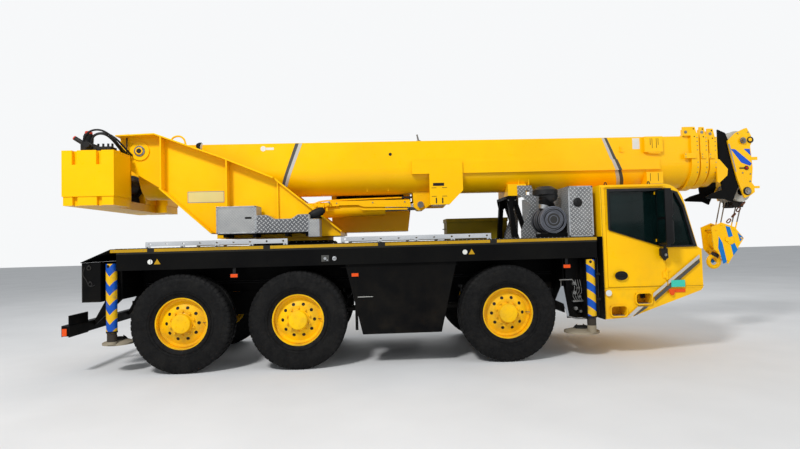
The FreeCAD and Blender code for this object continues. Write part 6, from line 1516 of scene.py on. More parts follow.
def cab_front():
    """The windscreen's seal and wipers, the grille, lamp rims, bumper, blank plate and towing eye."""
    body = "carrier"
    x = NOSE_X
    grille = Shape()
    grille.box((x - 0.002, x + 0.004), (-0.64, 0.64), (1.2, 1.42))
    grille.finish("grille_panel", TRIM, body, bevel=0.002)
    bars = Shape()
    for z in steps(1.225, 1.395, 6):
        bars.prism_xz([(x + 0.002, z - 0.01), (x + 0.011, z - 0.004), (x + 0.011, z + 0.002), (x + 0.002, z + 0.006)],
                      -0.62, 0.62)
    for y in (-0.64, 0.628):
        bars.box((x, x + 0.0112), (y, y + 0.012), (1.2, 1.42))
    bars.finish("grille_bars", TRIM, body)
    bumper = Shape()
    bumper.box((x - 0.001, x + 0.011), (-1.24, 1.24), (0.985, 1.012))
    bumper.box((x - 0.001, x + 0.01), (-1.24, 1.24), (1.168, 1.184))
    bumper.finish("bumper_edges", YELLOW, body, bevel=0.002)
    plate = Shape().box((x, x + 0.005), (-0.26, 0.26), (1.04, 1.15))
    plate.finish("blank_front_plate", WHITE_TAPE, body, bevel=0.001)
    rims = Shape()
    for side in (-1, 1):
        rims.frame_yz([(side * 0.775, 1.015), (side * 1.025, 1.015), (side * 1.025, 1.165), (side * 0.775, 1.165)],
                      [(side * 0.795, 1.035), (side * 1.005, 1.035), (side * 1.005, 1.145), (side * 0.795, 1.145)],
                      x - 0.001, x + 0.0115)
    rims.finish("headlamp_rims", TRIM, body)
    bulbs = Shape()
    for side in (-1, 1):
        for y in (0.85, 0.95):
            bulbs.ring([(0.03, -0.0005), (0.04, -0.0005), (0.04, 0.0006), (0.03, 0.0006)],
                       (x + 0.0115, side * y, 1.09), AHEAD, 32)
    bulbs.finish("headlamp_rings", CHROME, body)
    corner = Shape()
    for side in (-1, 1):
        corner.box((x - 0.002, x + 0.01), (side * 1.05, side * 1.18), (1.05, 1.12))
    corner.finish("front_turn_lamps", ORANGE, body, bevel=0.003)
    eyes = Shape()
    for side in (-1, 1):
        eyes.hoop(0.022, 0.04, 0.01, (x - 0.028, side * 0.52, 1.09), ACROSS, 28)
    eyes.finish("towing_eyes", CASTING, body)

    (bx, bz), (mx, mz), (tx, tz) = (7.31, 1.62), (7.15, 2.232), (7.095, 2.33)
    seal = Shape()
    for y in (-1.168, 1.15):
        seal.skin([[(px + off, yy, pz) for off, yy in ((0.004, y), (0.004, y + 0.018), (-0.016, y + 0.018),
                                                       (-0.016, y))]
                   for px, pz in ((bx + 0.034, bz), (mx + 0.024, mz), (tx + 0.022, tz))])
    for px, pz in ((bx + 0.034, bz), (tx + 0.022, tz)):
        seal.box((px - 0.018, px + 0.004), (-1.168, 1.168), (pz - 0.012, pz + 0.012))
    seal.finish("windscreen_seal", HOSE, body, bevel=0.002)
    wipers = Shape()
    slope = (mx - bx) / (mz - bz)
    for y0, lean in ((-0.56, 0.34), (0.12, 0.34)):
        def on_glass(y, z, out):
            return (bx + 0.01 + (z - bz) * slope + out, y, z)
        wipers.pipe([on_glass(y0, 1.6, 0.035), on_glass(y0 + lean * 0.5, 1.76, 0.026),
                     on_glass(y0 + lean, 1.9, 0.02)], 0.007)
        wipers.pipe([on_glass(y0 + lean - 0.16, 1.7, 0.012), on_glass(y0 + lean, 1.9, 0.012),
                     on_glass(y0 + lean + 0.16, 2.1, 0.012)], 0.006)
        wipers.rod(on_glass(y0, 1.6, 0.0), on_glass(y0, 1.6, 0.044), 0.016, sides=16)
    wipers.finish("wipers", TRIM, body)
    lamps = Shape()
    for y in (-1.08, -0.18, 0.18, 1.08):
        lamps.box((6.955, 6.985), (y - 0.035, y + 0.035), (2.452, 2.472))
    lamps.finish("roof_marker_lamps", ORANGE, body, bevel=0.003)
    hatch = Shape()
    hatch.prism_xy([(6.22, -0.34), (6.7, -0.34), (6.7, 0.34), (6.22, 0.34)], 2.4755, 2.488)
    hatch.prism_xy([(6.26, -0.3), (6.66, -0.3), (6.66, 0.3), (6.26, 0.3)], 2.4875, 2.496)
    hatch.finish("roof_hatch", YELLOW, body, bevel=0.004)
    ribs = Shape()
    for y in (-0.95, -0.62, 0.62, 0.95):
        ribs.box((6.05, 6.82), (y - 0.02, y + 0.02), (2.475, 2.4815))
    ribs.finish("roof_ribs", YELLOW, body, bevel=0.003)


def cab_lower():
    """Tread mats, black patches of painted shade at the steps' rear openings, and the corner lamp."""
    body = "carrier"
    mats = Shape()
    mats.box((6.41, 6.622), (FACE + 0.006, FACE + 0.19), (0.7605, 0.766))
    mats.box((6.038, 6.252), (FACE + 0.006, FACE + 0.19), (0.6005, 0.606))
    mats.mirrored().finish("step_mats", ALLOY, body, bevel=0.001)
    # a black patch at the step's back stands in for its opening: painted shade
    hole = Shape().box((6.56, 6.626), (FACE + 0.19, FACE + 0.208), (0.82, 0.9))
    hole.mirrored().finish("step_opening_shade", TRIM, body)
    lamp = Shape()
    lamp.prism_xz([(6.873, 0.962), (6.96, 0.962), (6.96, 0.9), (6.94, 0.87), (6.905, 0.875), (6.885, 0.9)],
                  FACE - 0.01, FACE + 0.002)
    lamp.finish("corner_lamp_right", ORANGE, body, bevel=0.003)


# Frame flanges, cab backing, mudguards, legs and the intake's bowl

PLATE_TOP = ((-1.1, 3.43), (-0.54, 3.45), (0.44, 3.08), (1.2, 2.76))
PLATE_FOOT = ((0.28, 1.93), (-0.48, 2.62))
FLANGE_Y = 0.76


def strip_on_edge(shape, first, last, thickness, y0, y1):
    """A flange plate under an edge that runs between two x, z points."""
    (x0, z0), (x1, z1) = first, last
    length = math.hypot(x1 - x0, z1 - z0)
    nx, nz = (z1 - z0) / length * thickness, -(x1 - x0) / length * thickness
    shape.prism_xz([(x0, z0), (x1, z1), (x1 + nx, z1 + nz), (x0 + nx, z0 + nz)], y0, y1)


def frame_flanges():
    """The side plates' deep flanges and ribs, which throw the long shadows."""
    shape = Shape()
    for side in (-1, 1):
        for first, last in list(zip(PLATE_TOP, PLATE_TOP[1:])) + [PLATE_FOOT]:
            strip_on_edge(shape, first, last, 0.0205, side * 0.65, side * FLANGE_Y)
        for x, foot, step, high in ((-0.46, 2.61, 0.015, 3.412), (0.5, 1.96, 0.0, 3.05)):
            shape.prism_xz([(x + 0.001, foot), (x + 0.021, foot - step), (x + 0.021, high - 0.01), (x + 0.001, high)],
                           side * 0.63, side * (FLANGE_Y - 0.004))
    shape.finish("frame_deep_flanges", YELLOW, "superstructure", bevel=0.002)


def cab_backing():
    """The black wall on the cab's rear face, which is painted shade, the deck band's front end and the pipes beside
    them.
    """
    body = "carrier"
    # the black wall covers the cab's yellow rear face as painted shade
    wall = Shape().box((5.9295, 5.9402), (-HALF_W + 0.0008, HALF_W - 0.0008), (0.558, 1.738))
    wall.finish("cab_rear_wall_shade", BLACK, body, bevel=0.001)
    band = Shape().box((5.688, 5.868), (-BAND_Y + 0.001, -BAND_Y + 0.029), (1.4405, 1.7325))
    band.mirrored().finish("deck_band_end", DECK, body, bevel=0.001)
    posts = Shape()
    for x in (5.88, 5.905):
        posts.rod((x, -1.18, 0.6), (x, -1.18, 1.44), 0.0085, sides=12)
    posts.box((5.866, 5.93), (-1.2, -1.15), (0.82, 0.85))
    posts.box((5.866, 5.93), (-1.2, -1.15), (1.18, 1.21))
    posts.mirrored().finish("cab_rear_pipes", CASTING, body, bevel=0.001)
    lining = Shape()
    for side in (-1, 1):
        shrunk = [(x + (7.09 - x) * 0.016, z + (1.96 - z) * 0.016) for x, z in QUARTER]
        lining.frame_xz([(x + (7.09 - x) * 0.001, z + (1.96 - z) * 0.001) for x, z in QUARTER], shrunk,
                        side * (HALF_W - 0.001), side * (HALF_W - 0.046))
    lining.finish("quarter_linings", HOSE, body)
    for side in (-1, 1):
        door = "door_right" if side < 0 else "door_left"
        frame_in = Shape().frame_xz([(x + (6.43 - x) * 0.001, z + (2.05 - z) * 0.001) for x, z in DOOR_WINDOW],
                                    [(x + (6.43 - x) * 0.016, z + (2.05 - z) * 0.016) for x, z in DOOR_WINDOW],
                                    side * (HALF_W - 0.001), side * (HALF_W - 0.036))
        frame_in.finish("lining_" + door, HOSE, door)


def rounded(x0, x1, z0, z1, radius):
    """A rectangle's outline with round corners."""
    points = []
    for cx, cz, start in ((x1 - radius, z1 - radius, 0.0), (x0 + radius, z1 - radius, math.pi / 2),
                          (x0 + radius, z0 + radius, math.pi), (x1 - radius, z0 + radius, 1.5 * math.pi)):
        for i in range(6):
            a = start + math.pi / 2 * i / 5
            points.append((cx + radius * math.cos(a), cz + radius * math.sin(a)))
    return points


def step_frames():
    """Frames that round the steps' corners."""
    shape = Shape()
    for x0, x1, z0, z1 in ((6.4, 6.63, 0.76, 0.91), (6.03, 6.26, 0.6, 0.74)):
        shape.frame_xz(rounded(x0 - 0.012, x1 + 0.012, z0 - 0.012, z1 + 0.012, 0.05),
                       rounded(x0 + 0.002, x1 - 0.002, z0 + 0.002, z1 - 0.002, 0.044), FACE - 0.003, FACE + 0.014)
    shape.mirrored().finish("step_frames", YELLOW, "carrier", bevel=0.001)
    handles = Shape()
    for x in (6.11, 6.76):
        handles.pipe(smooth_path([(x - 0.012, -1.08, 2.474), (x - 0.008, -1.08, 2.52), (x + 0.012, -1.08, 2.528),
                                  (x + 0.03, -1.08, 2.474)], 5), 0.008, sides=10)
    handles.mirrored().finish("roof_handles", TRIM, "carrier")


def mudguards():
    """Flaps, brackets, valves and pipes behind the front wheels with black backing sheets of painted shade, black
    flaps of painted shade between the rear wheels, a dark sheet of painted shade in the tail recess, the rear boards
    and the shackles.
    """
    body = "carrier"
    flap = Shape().prism_xz([(5.35, 1.04), (5.385, 1.04), (5.452, 0.62), (5.43, 0.6), (5.38, 0.79), (5.262, 0.845)],
                            -1.205, -1.195)
    flap.mirrored().finish("mud_flaps_pale", GREY_TAPE, body, bevel=0.001)
    bars = Shape()
    bars.rod((5.33, -1.195, 1.13), (5.52, -1.195, 1.13), 0.01, sides=14)
    bars.rod((5.355, -1.195, 1.13), (5.352, -1.195, 1.03), 0.007, sides=12)
    bars.pipe([(5.43, -1.195, 0.612), (5.56, -1.195, 0.572), (5.72, -1.195, 0.566)], 0.01)
    bars.mirrored().finish("mud_flap_bars", STEEL, body)
    # black sheets behind the front wheels are painted shade
    back = Shape()
    back.box((5.48, 5.7), (-1.045, -1.035), (0.56, 1.438))
    back.box((5.44, 5.452), (-1.04, -0.52), (0.64, 1.438))
    back.box((5.7, 5.712), (-1.24, -1.035), (0.56, 1.438))
    back.mirrored().finish("mudguard_back_shade", BLACK, body, bevel=0.001)
    valves = Shape()
    for i, (x, z) in enumerate(((5.575, 1.06), (5.64, 0.995), (5.58, 0.93), (5.655, 0.87), (5.59, 0.7),
                                (5.66, 0.655))):
        valves.rod((x, -1.05, z), (x, -1.125, z + 0.006), 0.02 if i % 2 else 0.026, sides=18)
        valves.bolt((x, -1.125, z + 0.006), OUT, 0.013, 0.016)
    for i in range(4):
        x = 5.56 + 0.034 * i
        valves.pipe(smooth_path([(x, -1.11, 1.12), (x + 0.012, -1.14, 1.01 - 0.02 * i), (x - 0.01, -1.12, 0.9),
                                 (x + 0.02, -1.13, 0.82)], 6),
                    0.006, sides=10)
    valves.box((5.545, 5.7), (-1.13, -1.06), (0.8, 0.822))
    valves.mirrored().finish("brake_valves", STEEL, body, bevel=0.001)
    # black flaps between the rear and middle wheels are painted shade
    centre = Shape()
    centre.box((AXLES["mid"] / 2 - 0.33, AXLES["mid"] / 2 + 0.33), (-0.472, -0.464), (0.7, 1.044))
    centre.mirrored().finish("centre_flap_shade", BLACK, body, bevel=0.001)
    board = Shape()
    board.box((-1.54, -1.522), (-1.19, -0.72), (0.545, 0.842))
    board.box((-1.546, -1.54), (-1.185, -0.725), (0.69, 0.696))
    board.mirrored().finish("rear_boards", BLACK, body, bevel=0.001)
    lamp = Shape().box((-1.616, -1.552), (-1.214, -1.201), (0.566, 0.666))
    lamp.mirrored().finish("rear_end_lamps", ORANGE, body, bevel=0.003)
    # a dark sheet at the back of the tail recess is painted shade
    rear = Shape()
    rear.box((-1.3312, -1.33), (-1.2, -0.7), (1.05, 1.54))
    rear.mirrored().finish("tail_recess_shade", HOSE, body)
    hooks = Shape()
    for x, z in ((-1.23, 1.49), (-1.215, 1.27)):
        hooks.hoop(0.02, 0.03, 0.006, (x, -1.246, z), ACROSS, 24)
        hooks.bolt((x, -1.24, z + 0.028), OUT, 0.014, 0.014)
    hooks.pipe(smooth_path([(-1.29, -1.244, 1.5), (-1.31, -1.246, 1.4), (-1.27, -1.246, 1.33), (-1.22, -1.246, 1.24),
                            (-1.15, -1.246, 1.255)], 6), 0.006, sides=8)
    hooks.pipe([(-1.322, -1.2405, 1.53), (-1.322, -1.2405, 1.2), (-1.322, -1.2405, 1.03)], 0.005, sides=8)
    hooks.pipe([(-1.322, -1.2405, 1.026), (-1.2, -1.2405, 1.026), (-1.09, -1.2405, 1.026)], 0.005, sides=8)
    hooks.mirrored().finish("tail_shackles", CASTING, body)


LEGS = (
    # axle, leg's x, ring's z, leg's top z, pad's x, pad's top z
    ("rear", -0.95, 0.59, 1.54, -0.95, 0.47),
    ("front", 5.78, 0.58, 1.415, 5.7, 0.405),
)


def leg_fittings():
    """Collars, end caps and lashing eyes on the legs, and the mounts on the pads."""
    for axle, x, low, top, pad_x, z in LEGS:
        for name, side in SIDES.items():
            beam = "beam_%s_%s" % (axle, name)
            shape = Shape()
            shape.hoop(0.069, 0.0735, 0.012, (x, side * 1.2, low + 0.014), UP, 36)
            shape.turned([(0.0, 0.0), (0.052, 0.0), (0.05, 0.008), (0.0, 0.01)], (x, side * 1.2, top), UP, 28)
            shape.rod((x - 0.012, side * 1.2685, top - 0.034), (x - 0.012, side * 1.2722, top - 0.034), 0.02,
                      sides=24)
            shape.finish("leg_collar_%s_%s" % (axle, name), TRIM, beam)
            pad = "jack_%s_%s" % (axle, name)
            mount = Shape()
            for a in angles(4):
                dx, dy = math.cos(a + 0.785), math.sin(a + 0.785)
                mount.prism_xz([(pad_x + dx * 0.06, z), (pad_x + dx * 0.15, z), (pad_x + dx * 0.11, z + 0.03),
                                (pad_x + dx * 0.06, z + 0.052)],
                               side * 1.015 + dy * 0.075 - 0.006, side * 1.015 + dy * 0.075 + 0.006)
            mount.ring([(0.062, 0.0), (0.09, 0.0), (0.086, 0.018), (0.062, 0.034)], (pad_x, side * 1.015, z), UP, 32)
            mount.finish("pad_mount_%s_%s" % (axle, name), CASTING, pad, bevel=0.001)


def intake_bowl():
    """The dark bowl beside the intake's hat, the drum's bracket and its rings."""
    body = "carrier"
    bowl = Shape().turned([(0.0, 0.0), (0.07, 0.004), (0.112, 0.03), (0.124, 0.075), (0.12, 0.13), (0.098, 0.178),
                           (0.06, 0.206),
                           (0.0, 0.214)], (5.262, -0.95, 2.452), (0.52, 0.0, -0.854), sides=40)
    bowl.finish("intake_bowl", HAT, body, smooth=50)
    bracket = Shape()
    bracket.box((5.33, 5.5), (-1.12, -1.06), (1.7455, 1.985))
    bracket.box((5.105, 5.5), (-1.14, -0.9), (1.7455, 1.8))
    bracket.finish("drum_bracket", BLACK, body, bevel=0.002)
    rings = Shape()
    for r in (0.186, 0.168, 0.118, 0.1, 0.06):
        rings.ring([(r - 0.006, -0.002), (r - 0.003, 0.0045), (r + 0.003, 0.0045), (r + 0.006, -0.002)],
                   (DRUM_X, -1.15, DRUM_Z), OUT, 56)
    rings.finish("drum_rings", FILTER, body)


# Seats, operator's cabin, undercarriage and the rest of the body

def cushion(name, at, size, lean, body, channels=(-0.36, 0.36), thick=2):
    """A padded, crowned cushion with sewn channels and piping; its thin direction is x (0) or z (2)."""
    shape = Shape()
    bmesh.ops.create_cube(shape.bm, size=2.0)
    bmesh.ops.subdivide_edges(shape.bm, edges=shape.bm.edges[:], cuts=19, use_grid_fill=True)
    turn = Matrix.Rotation(lean, 3, "Y")
    length = 0 if thick == 2 else 2
    for v in shape.bm.verts:
        p = [v.co.x, v.co.y, v.co.z]
        scale = sum(abs(c) ** 6 for c in p) ** (-1 / 6)
        a, b, c = p[length] * scale, p[1] * scale, p[thick] * scale
        groove = sum(math.exp(-((b - line) / 0.055) ** 2) for line in channels)
        c *= 1 + 0.2 * (1 - a * a) * (1 - b * b) - 0.16 * groove * (1 - a ** 4)
        pull = 1 - 0.035 * (1 - b * b)
        out = [0, b * (1 - 0.035 * (1 - a * a)), 0]
        out[length], out[thick] = a * pull, c
        v.co = turn @ Vector([o * s / 2 for o, s in zip(out, size)]) + Vector(at)
    path = []
    for angle in angles(48) + [0.0]:
        ca, sa = math.cos(angle), math.sin(angle)
        scale = (abs(ca) ** 6 + abs(sa) ** 6) ** (-1 / 6)
        a, b = ca * scale, sa * scale
        out = [0, b * (1 - 0.035 * (1 - a * a)) * 1.004, 0]
        out[length] = a * (1 - 0.035 * (1 - b * b)) * 1.004
        path.append(tuple(turn @ Vector([o * s / 2 for o, s in zip(out, size)]) + Vector(at)))
    shape.pipe(path, 0.0055, sides=8)
    piece = shape.finish(name, SEAT_CLOTH, body, smooth=60)


def seats():
    """Cushions on the cab's two seats, and the cabin's seat with its suspension, armrests and levers."""
    for name, side in SIDES.items():
        y = side * 0.65
        cushion("cab_cushion_" + name, (6.385, y, 1.47), (0.57, 0.57, 0.175), 0.0, "carrier")
        cushion("cab_backrest_" + name, (6.15, y, 1.85), (0.19, 0.51, 0.79), -0.135, "carrier", thick=0)
        cushion("cab_headrest_" + name, (6.072, y, 2.275), (0.11, 0.28, 0.15), -0.135, "carrier", channels=(),
                thick=0)
    body = "superstructure"
    base = Shape()
    base.rod((2.56, 0.947, 1.976), (2.56, 0.947, 2.02), 0.15, sides=32)
    for i in range(6):
        base.ring([(0.07, 0.0), (0.105, 0.012), (0.105, 0.03), (0.07, 0.042)], (2.56, 0.947, 2.02 + 0.046 * i), UP,
                  28)
    base.box((2.36, 2.78), (0.76, 1.134), (2.3, 2.33))
    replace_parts(base.finish("cabin_seat_base", TRIM, body, bevel=0.003), "cabin_seat")
    cushion("cabin_cushion", (2.575, 0.947, 2.405), (0.52, 0.46, 0.165), 0.0, body)
    cushion("cabin_backrest", (2.325, 0.947, 2.77), (0.165, 0.44, 0.7), -0.135, body, thick=0)
    cushion("cabin_headrest", (2.255, 0.947, 3.165), (0.1, 0.26, 0.13), -0.135, body, channels=(), thick=0)
    arms = Shape()
    for y in (0.748, 1.146):
        arms.box((2.42, 2.76), (y - 0.028, y + 0.028), (2.56, 2.61))
        arms.rod((2.7, y, 2.605), (2.712, y, 2.72), 0.01, sides=14)
        arms.turned([(0.0, -0.01), (0.02, 0.0), (0.024, 0.022), (0.016, 0.044), (0.0, 0.05)], (2.711, y, 2.712),
                    (0.1, 0, 1), 20)
    arms.finish("cabin_levers", TRIM, body, bevel=0.004)
    board = Shape().prism_xz([(3.08, 1.976), (3.27, 1.976), (3.27, 2.25), (3.2, 2.3), (3.11, 2.25)], 0.76, 1.134)
    board.box((3.06, 3.085), (0.8, 1.094), (2.08, 2.18))
    board.finish("cabin_console", TRIM, body, bevel=0.004)
    pedals = Shape()
    for y in (0.87, 1.02):
        pedals.prism_xz([(2.96, 1.985), (2.975, 1.98), (3.05, 2.11), (3.035, 2.118)], y - 0.035, y + 0.035)
    pedals.finish("cabin_pedals", STEEL, body, bevel=0.002)


def band_xz(shape, outline, grow, y0, y1, centre):
    """A flat rubber band round an outline on a side wall."""
    def moved(share):
        return [(x + (x - centre[0]) * share, z + (z - centre[1]) * share) for x, z in outline]
    shape.frame_xz(moved(grow), moved(-0.004), y0, y1)


def cabin_trim():
    """The operator's cabin: window rubbers, wiper, rails, handle, vents, roof window, work lamp and grab rail."""
    body = "superstructure"
    rubber_bands = Shape()
    band_xz(rubber_bands, [(2.06, 2.42), (3.2, 2.42), (3.2, 2.86), (3.04, 3.3), (2.06, 3.3)], 0.045, 0.659, 0.664,
            (2.6, 2.86))
    front = [(0.722, 2.38), (1.172, 2.38), (1.172, 2.9), (0.722, 2.9)]
    outer = [(0.704, 2.362), (1.19, 2.362), (1.19, 2.918), (0.704, 2.918)]
    shape = Shape().frame_yz(outer, front, 3.3415, 3.3525)
    for v in shape.bm.verts:
        v.co.x += CABIN_LEAN * (v.co.z - CABIN_SILL_Z)
    shape.finish("cabin_front_rubber", HOSE, body)
    rear = [(0.752, 2.6), (1.142, 2.6), (1.142, 3.2), (0.752, 3.2)]
    rubber_bands.frame_yz([(0.732, 2.58), (1.162, 2.58), (1.162, 3.22), (0.732, 3.22)], rear, 1.9465, 1.9515)
    rubber_bands.finish("cabin_rubbers", HOSE, body, bevel=0.001)
    door = Shape()
    band_xz(door, [(2.39, 2.42), (2.93, 2.42), (2.93, 3.31), (2.39, 3.31)], 0.05, 1.2615, 1.2665, (2.66, 2.865))
    door.finish("cabin_door_rubber", HOSE, "cabin_door_panel", bevel=0.001)
    handle = Shape()
    handle.box((2.905, 2.965), (1.262, 1.268), (2.18, 2.33))
    handle.pipe(smooth_path([(2.935, 1.266, 2.2), (2.935, 1.292, 2.215), (2.935, 1.292, 2.295), (2.935, 1.266, 2.31)],
                            6), 0.008)
    handle.finish("cabin_door_handle", TRIM, "cabin_door_panel", bevel=0.002)
    pressing = Shape().frame_xz(rounded(2.38, 2.94, 2.0, 2.36, 0.03), rounded(2.388, 2.932, 2.008, 2.352, 0.024),
                                1.2615, 1.2645)
    pressing.finish("cabin_door_pressing", YELLOW, "cabin_door_panel")
    rails = Shape()
    rails.box((1.985, 3.33), (1.2318, 1.242), (1.938, 1.952))
    rails.box((1.985, 3.08), (1.2318, 1.242), (3.378, 3.392))
    rails.finish("cabin_door_rails", ALLOY, body, bevel=0.001)
    vents = Shape()
    for z in steps(2.02, 2.3, 9):
        vents.prism_xz([(2.07, z), (2.27, z), (2.27, z + 0.012), (2.07, z + 0.012)], 1.2305, 1.2322)
    vents.frame_xz(rounded(2.05, 2.29, 1.995, 2.335, 0.012), rounded(2.06, 2.28, 2.005, 2.325, 0.008), 1.2305, 1.232)
    vents.finish("cabin_vents", TRIM, body)
    hatch = Shape()
    hatch.prism_xy([(2.18, 0.735), (2.88, 0.735), (2.88, 1.16), (2.18, 1.16)], 3.4005, 3.41)
    hatch.finish("cabin_roof_rubber", HOSE, body, bevel=0.002)
    window = Shape().prism_xy([(2.205, 0.76), (2.855, 0.76), (2.855, 1.135), (2.205, 1.135)], 3.4095, 3.415)
    window.finish("cabin_roof_window", GLASS, body, bevel=0.001)
    wiper = Shape()
    def on_front(y, z, out):
        return (3.35 + CABIN_LEAN * (z - CABIN_SILL_Z) + out, y, z)
    wiper.rod(on_front(0.947, 2.372, 0.0), on_front(0.947, 2.372, 0.03), 0.014, sides=16)
    wiper.pipe([on_front(0.947, 2.372, 0.026), on_front(0.9, 2.52, 0.018), on_front(0.85, 2.66, 0.014)], 0.006)
    wiper.pipe([on_front(0.85, 2.5, 0.009), on_front(0.85, 2.66, 0.009), on_front(0.85, 2.82, 0.009)], 0.005)
    wiper.finish("cabin_wiper", TRIM, body)
    rail = Shape()
    rail.pipe(smooth_path([(3.12, 1.234, 2.05), (3.12, 1.275, 2.075), (3.11, 1.275, 2.8), (3.105, 1.234, 2.83)], 6),
              0.011)
    rail.finish("cabin_grab_rails", YELLOW, body)
    gutter = Shape()
    gutter.pipe([(1.96, 1.23, 3.396), (2.5, 1.232, 3.4), (3.08, 1.23, 3.398)], 0.006, sides=8)
    gutter.pipe([(1.96, 0.664, 3.396), (2.5, 0.662, 3.4), (3.08, 0.664, 3.398)], 0.006, sides=8)
    gutter.finish("cabin_gutters", YELLOW, body)
    floodlight("cabin_work_lamp", body, (3.04, 0.76, 3.418), 0.05)


def spring(shape, x, y, z):
    """A leaf spring along x over an axle."""
    for i in range(6):
        half = 0.44 - 0.058 * i
        rings = []
        for t in steps(-half, half, 13):
            sag = -0.1 * (t / 0.44) ** 2
            top = z + 0.075 - 0.013 * i + sag
            rings.append([(x + t, y - 0.035, top), (x + t, y + 0.035, top), (x + t, y + 0.035, top - 0.011),
                          (x + t, y - 0.035, top - 0.011)])
        shape.skin(rings)
    for dx in (-0.07, 0.07):
        shape.rod((x + dx, y - 0.046, z - 0.045), (x + dx, y - 0.046, z + 0.1), 0.009, sides=10)
        shape.rod((x + dx, y + 0.046, z - 0.045), (x + dx, y + 0.046, z + 0.1), 0.009, sides=10)
    shape.box((x - 0.085, x + 0.085), (y - 0.058, y + 0.058), (z + 0.076, z + 0.09))


def undercarriage():
    """Springs, brake chambers, air tanks, hangers and the towing jaw."""
    body = "carrier"
    springs = Shape()
    for x in AXLES.values():
        spring(springs, x, -0.52, WHEEL_R + 0.105)
    springs.mirrored().finish("leaf_springs", CASTING, body, bevel=0.001)
    chambers = Shape()
    for x in AXLES.values():
        for sign in (-1, 1):
            chambers.turned([(0.0, -0.075), (0.05, -0.07), (0.072, -0.03), (0.08, 0.0), (0.072, 0.03), (0.05, 0.065),
                             (0.0, 0.07)],
                            (x + sign * 0.19, -0.3, WHEEL_R + 0.06), (sign, 0, 0.25), sides=32)
    chambers.mirrored().finish("brake_chambers", CASTING, body)
    tanks = Shape()
    straps = Shape()
    for x in (2.0, 2.64, 3.28):
        tanks.turned([(0.0, -0.27), (0.06, -0.262), (0.1, -0.235), (0.115, -0.2), (0.115, 0.2), (0.1, 0.235),
                      (0.06, 0.262),
                      (0.0, 0.27)], (x, -0.66, 0.9), AHEAD, sides=40)
        for dx in (-0.14, 0.14):
            straps.hoop(0.1145, 0.1185, 0.018, (x + dx, -0.66, 0.9), AHEAD, 40)
            straps.box((x + dx - 0.018, x + dx + 0.018), (-0.662, -0.43), (1.012, 1.0188))
    tanks.mirrored().finish("air_tanks", BLACK, body)
    straps.mirrored().finish("air_tank_straps", STEEL, body)
    jaw = Shape()
    jaw.box((-1.352, -1.33), (-0.15, 0.15), (1.06, 1.3))
    for z in (1.12, 1.215):
        jaw.prism_xy([(-1.352, -0.11), (-1.352, 0.11), (-1.48, 0.09), (-1.52, 0.04), (-1.52, -0.04), (-1.48, -0.09)],
                     z, z + 0.03)
    jaw.rod((-1.47, 0, 1.1), (-1.47, 0, 1.29), 0.022, sides=20)
    jaw.finish("towing_jaw", CASTING, body, bevel=0.002)
    pipes = Shape()
    for i, y in enumerate((-0.442, -0.45)):
        pipes.pipe([(-0.8, y, 1.18 + 0.03 * i), (1.8, y, 1.182 + 0.03 * i), (4.0, y, 1.18 + 0.03 * i),
                    (5.5, y, 1.18 + 0.03 * i)], 0.009, sides=8)
    pipes.mirrored().finish("frame_lines", HOSE, body)


def tank_details():
    """The tanks' straps, cap, steps, seams and the thin scratch."""
    body = "carrier"
    face = -TANK_Y
    straps = Shape()
    for x in (2.42, 3.42):
        straps.box((x - 0.02, x + 0.02), (face - 0.0022, face + 0.002), (0.52, 1.43))
    straps.box((2.21, 3.86), (face - 0.0018, face + 0.002), (1.395, 1.401))
    straps.box((2.62, 2.624), (face - 0.0018, face + 0.002), (0.47, 1.395))
    straps.mirrored().finish("tank_seams", DECK, body)
    scratch = Shape().box((2.41, 2.65), (face - 0.0014, face), (0.976, 0.982))
    scratch.finish("tank_scratch", WHITE_TAPE, body)
    cap = Shape().turned([(0.0, 0.0), (0.06, 0.0), (0.06, 0.02), (0.05, 0.03), (0.0, 0.032)], (3.1, -face, 1.25),
                         ACROSS, 32)
    cap.bolt((3.1, -face + 0.03, 1.25), ACROSS, 0.016, 0.008)
    cap.finish("fuel_cap", TRIM, body, bevel=0.001)
    for x in (2.9, 3.3):
        Shape().frame_xz(rounded(x - 0.1, x + 0.1, 0.78, 0.88, 0.03),
                         rounded(x - 0.092, x + 0.092, 0.788, 0.872, 0.024), -face, -face + 0.01).finish(
            "tank_step_%d" % (x * 10), ALLOY, body, bevel=0.001)


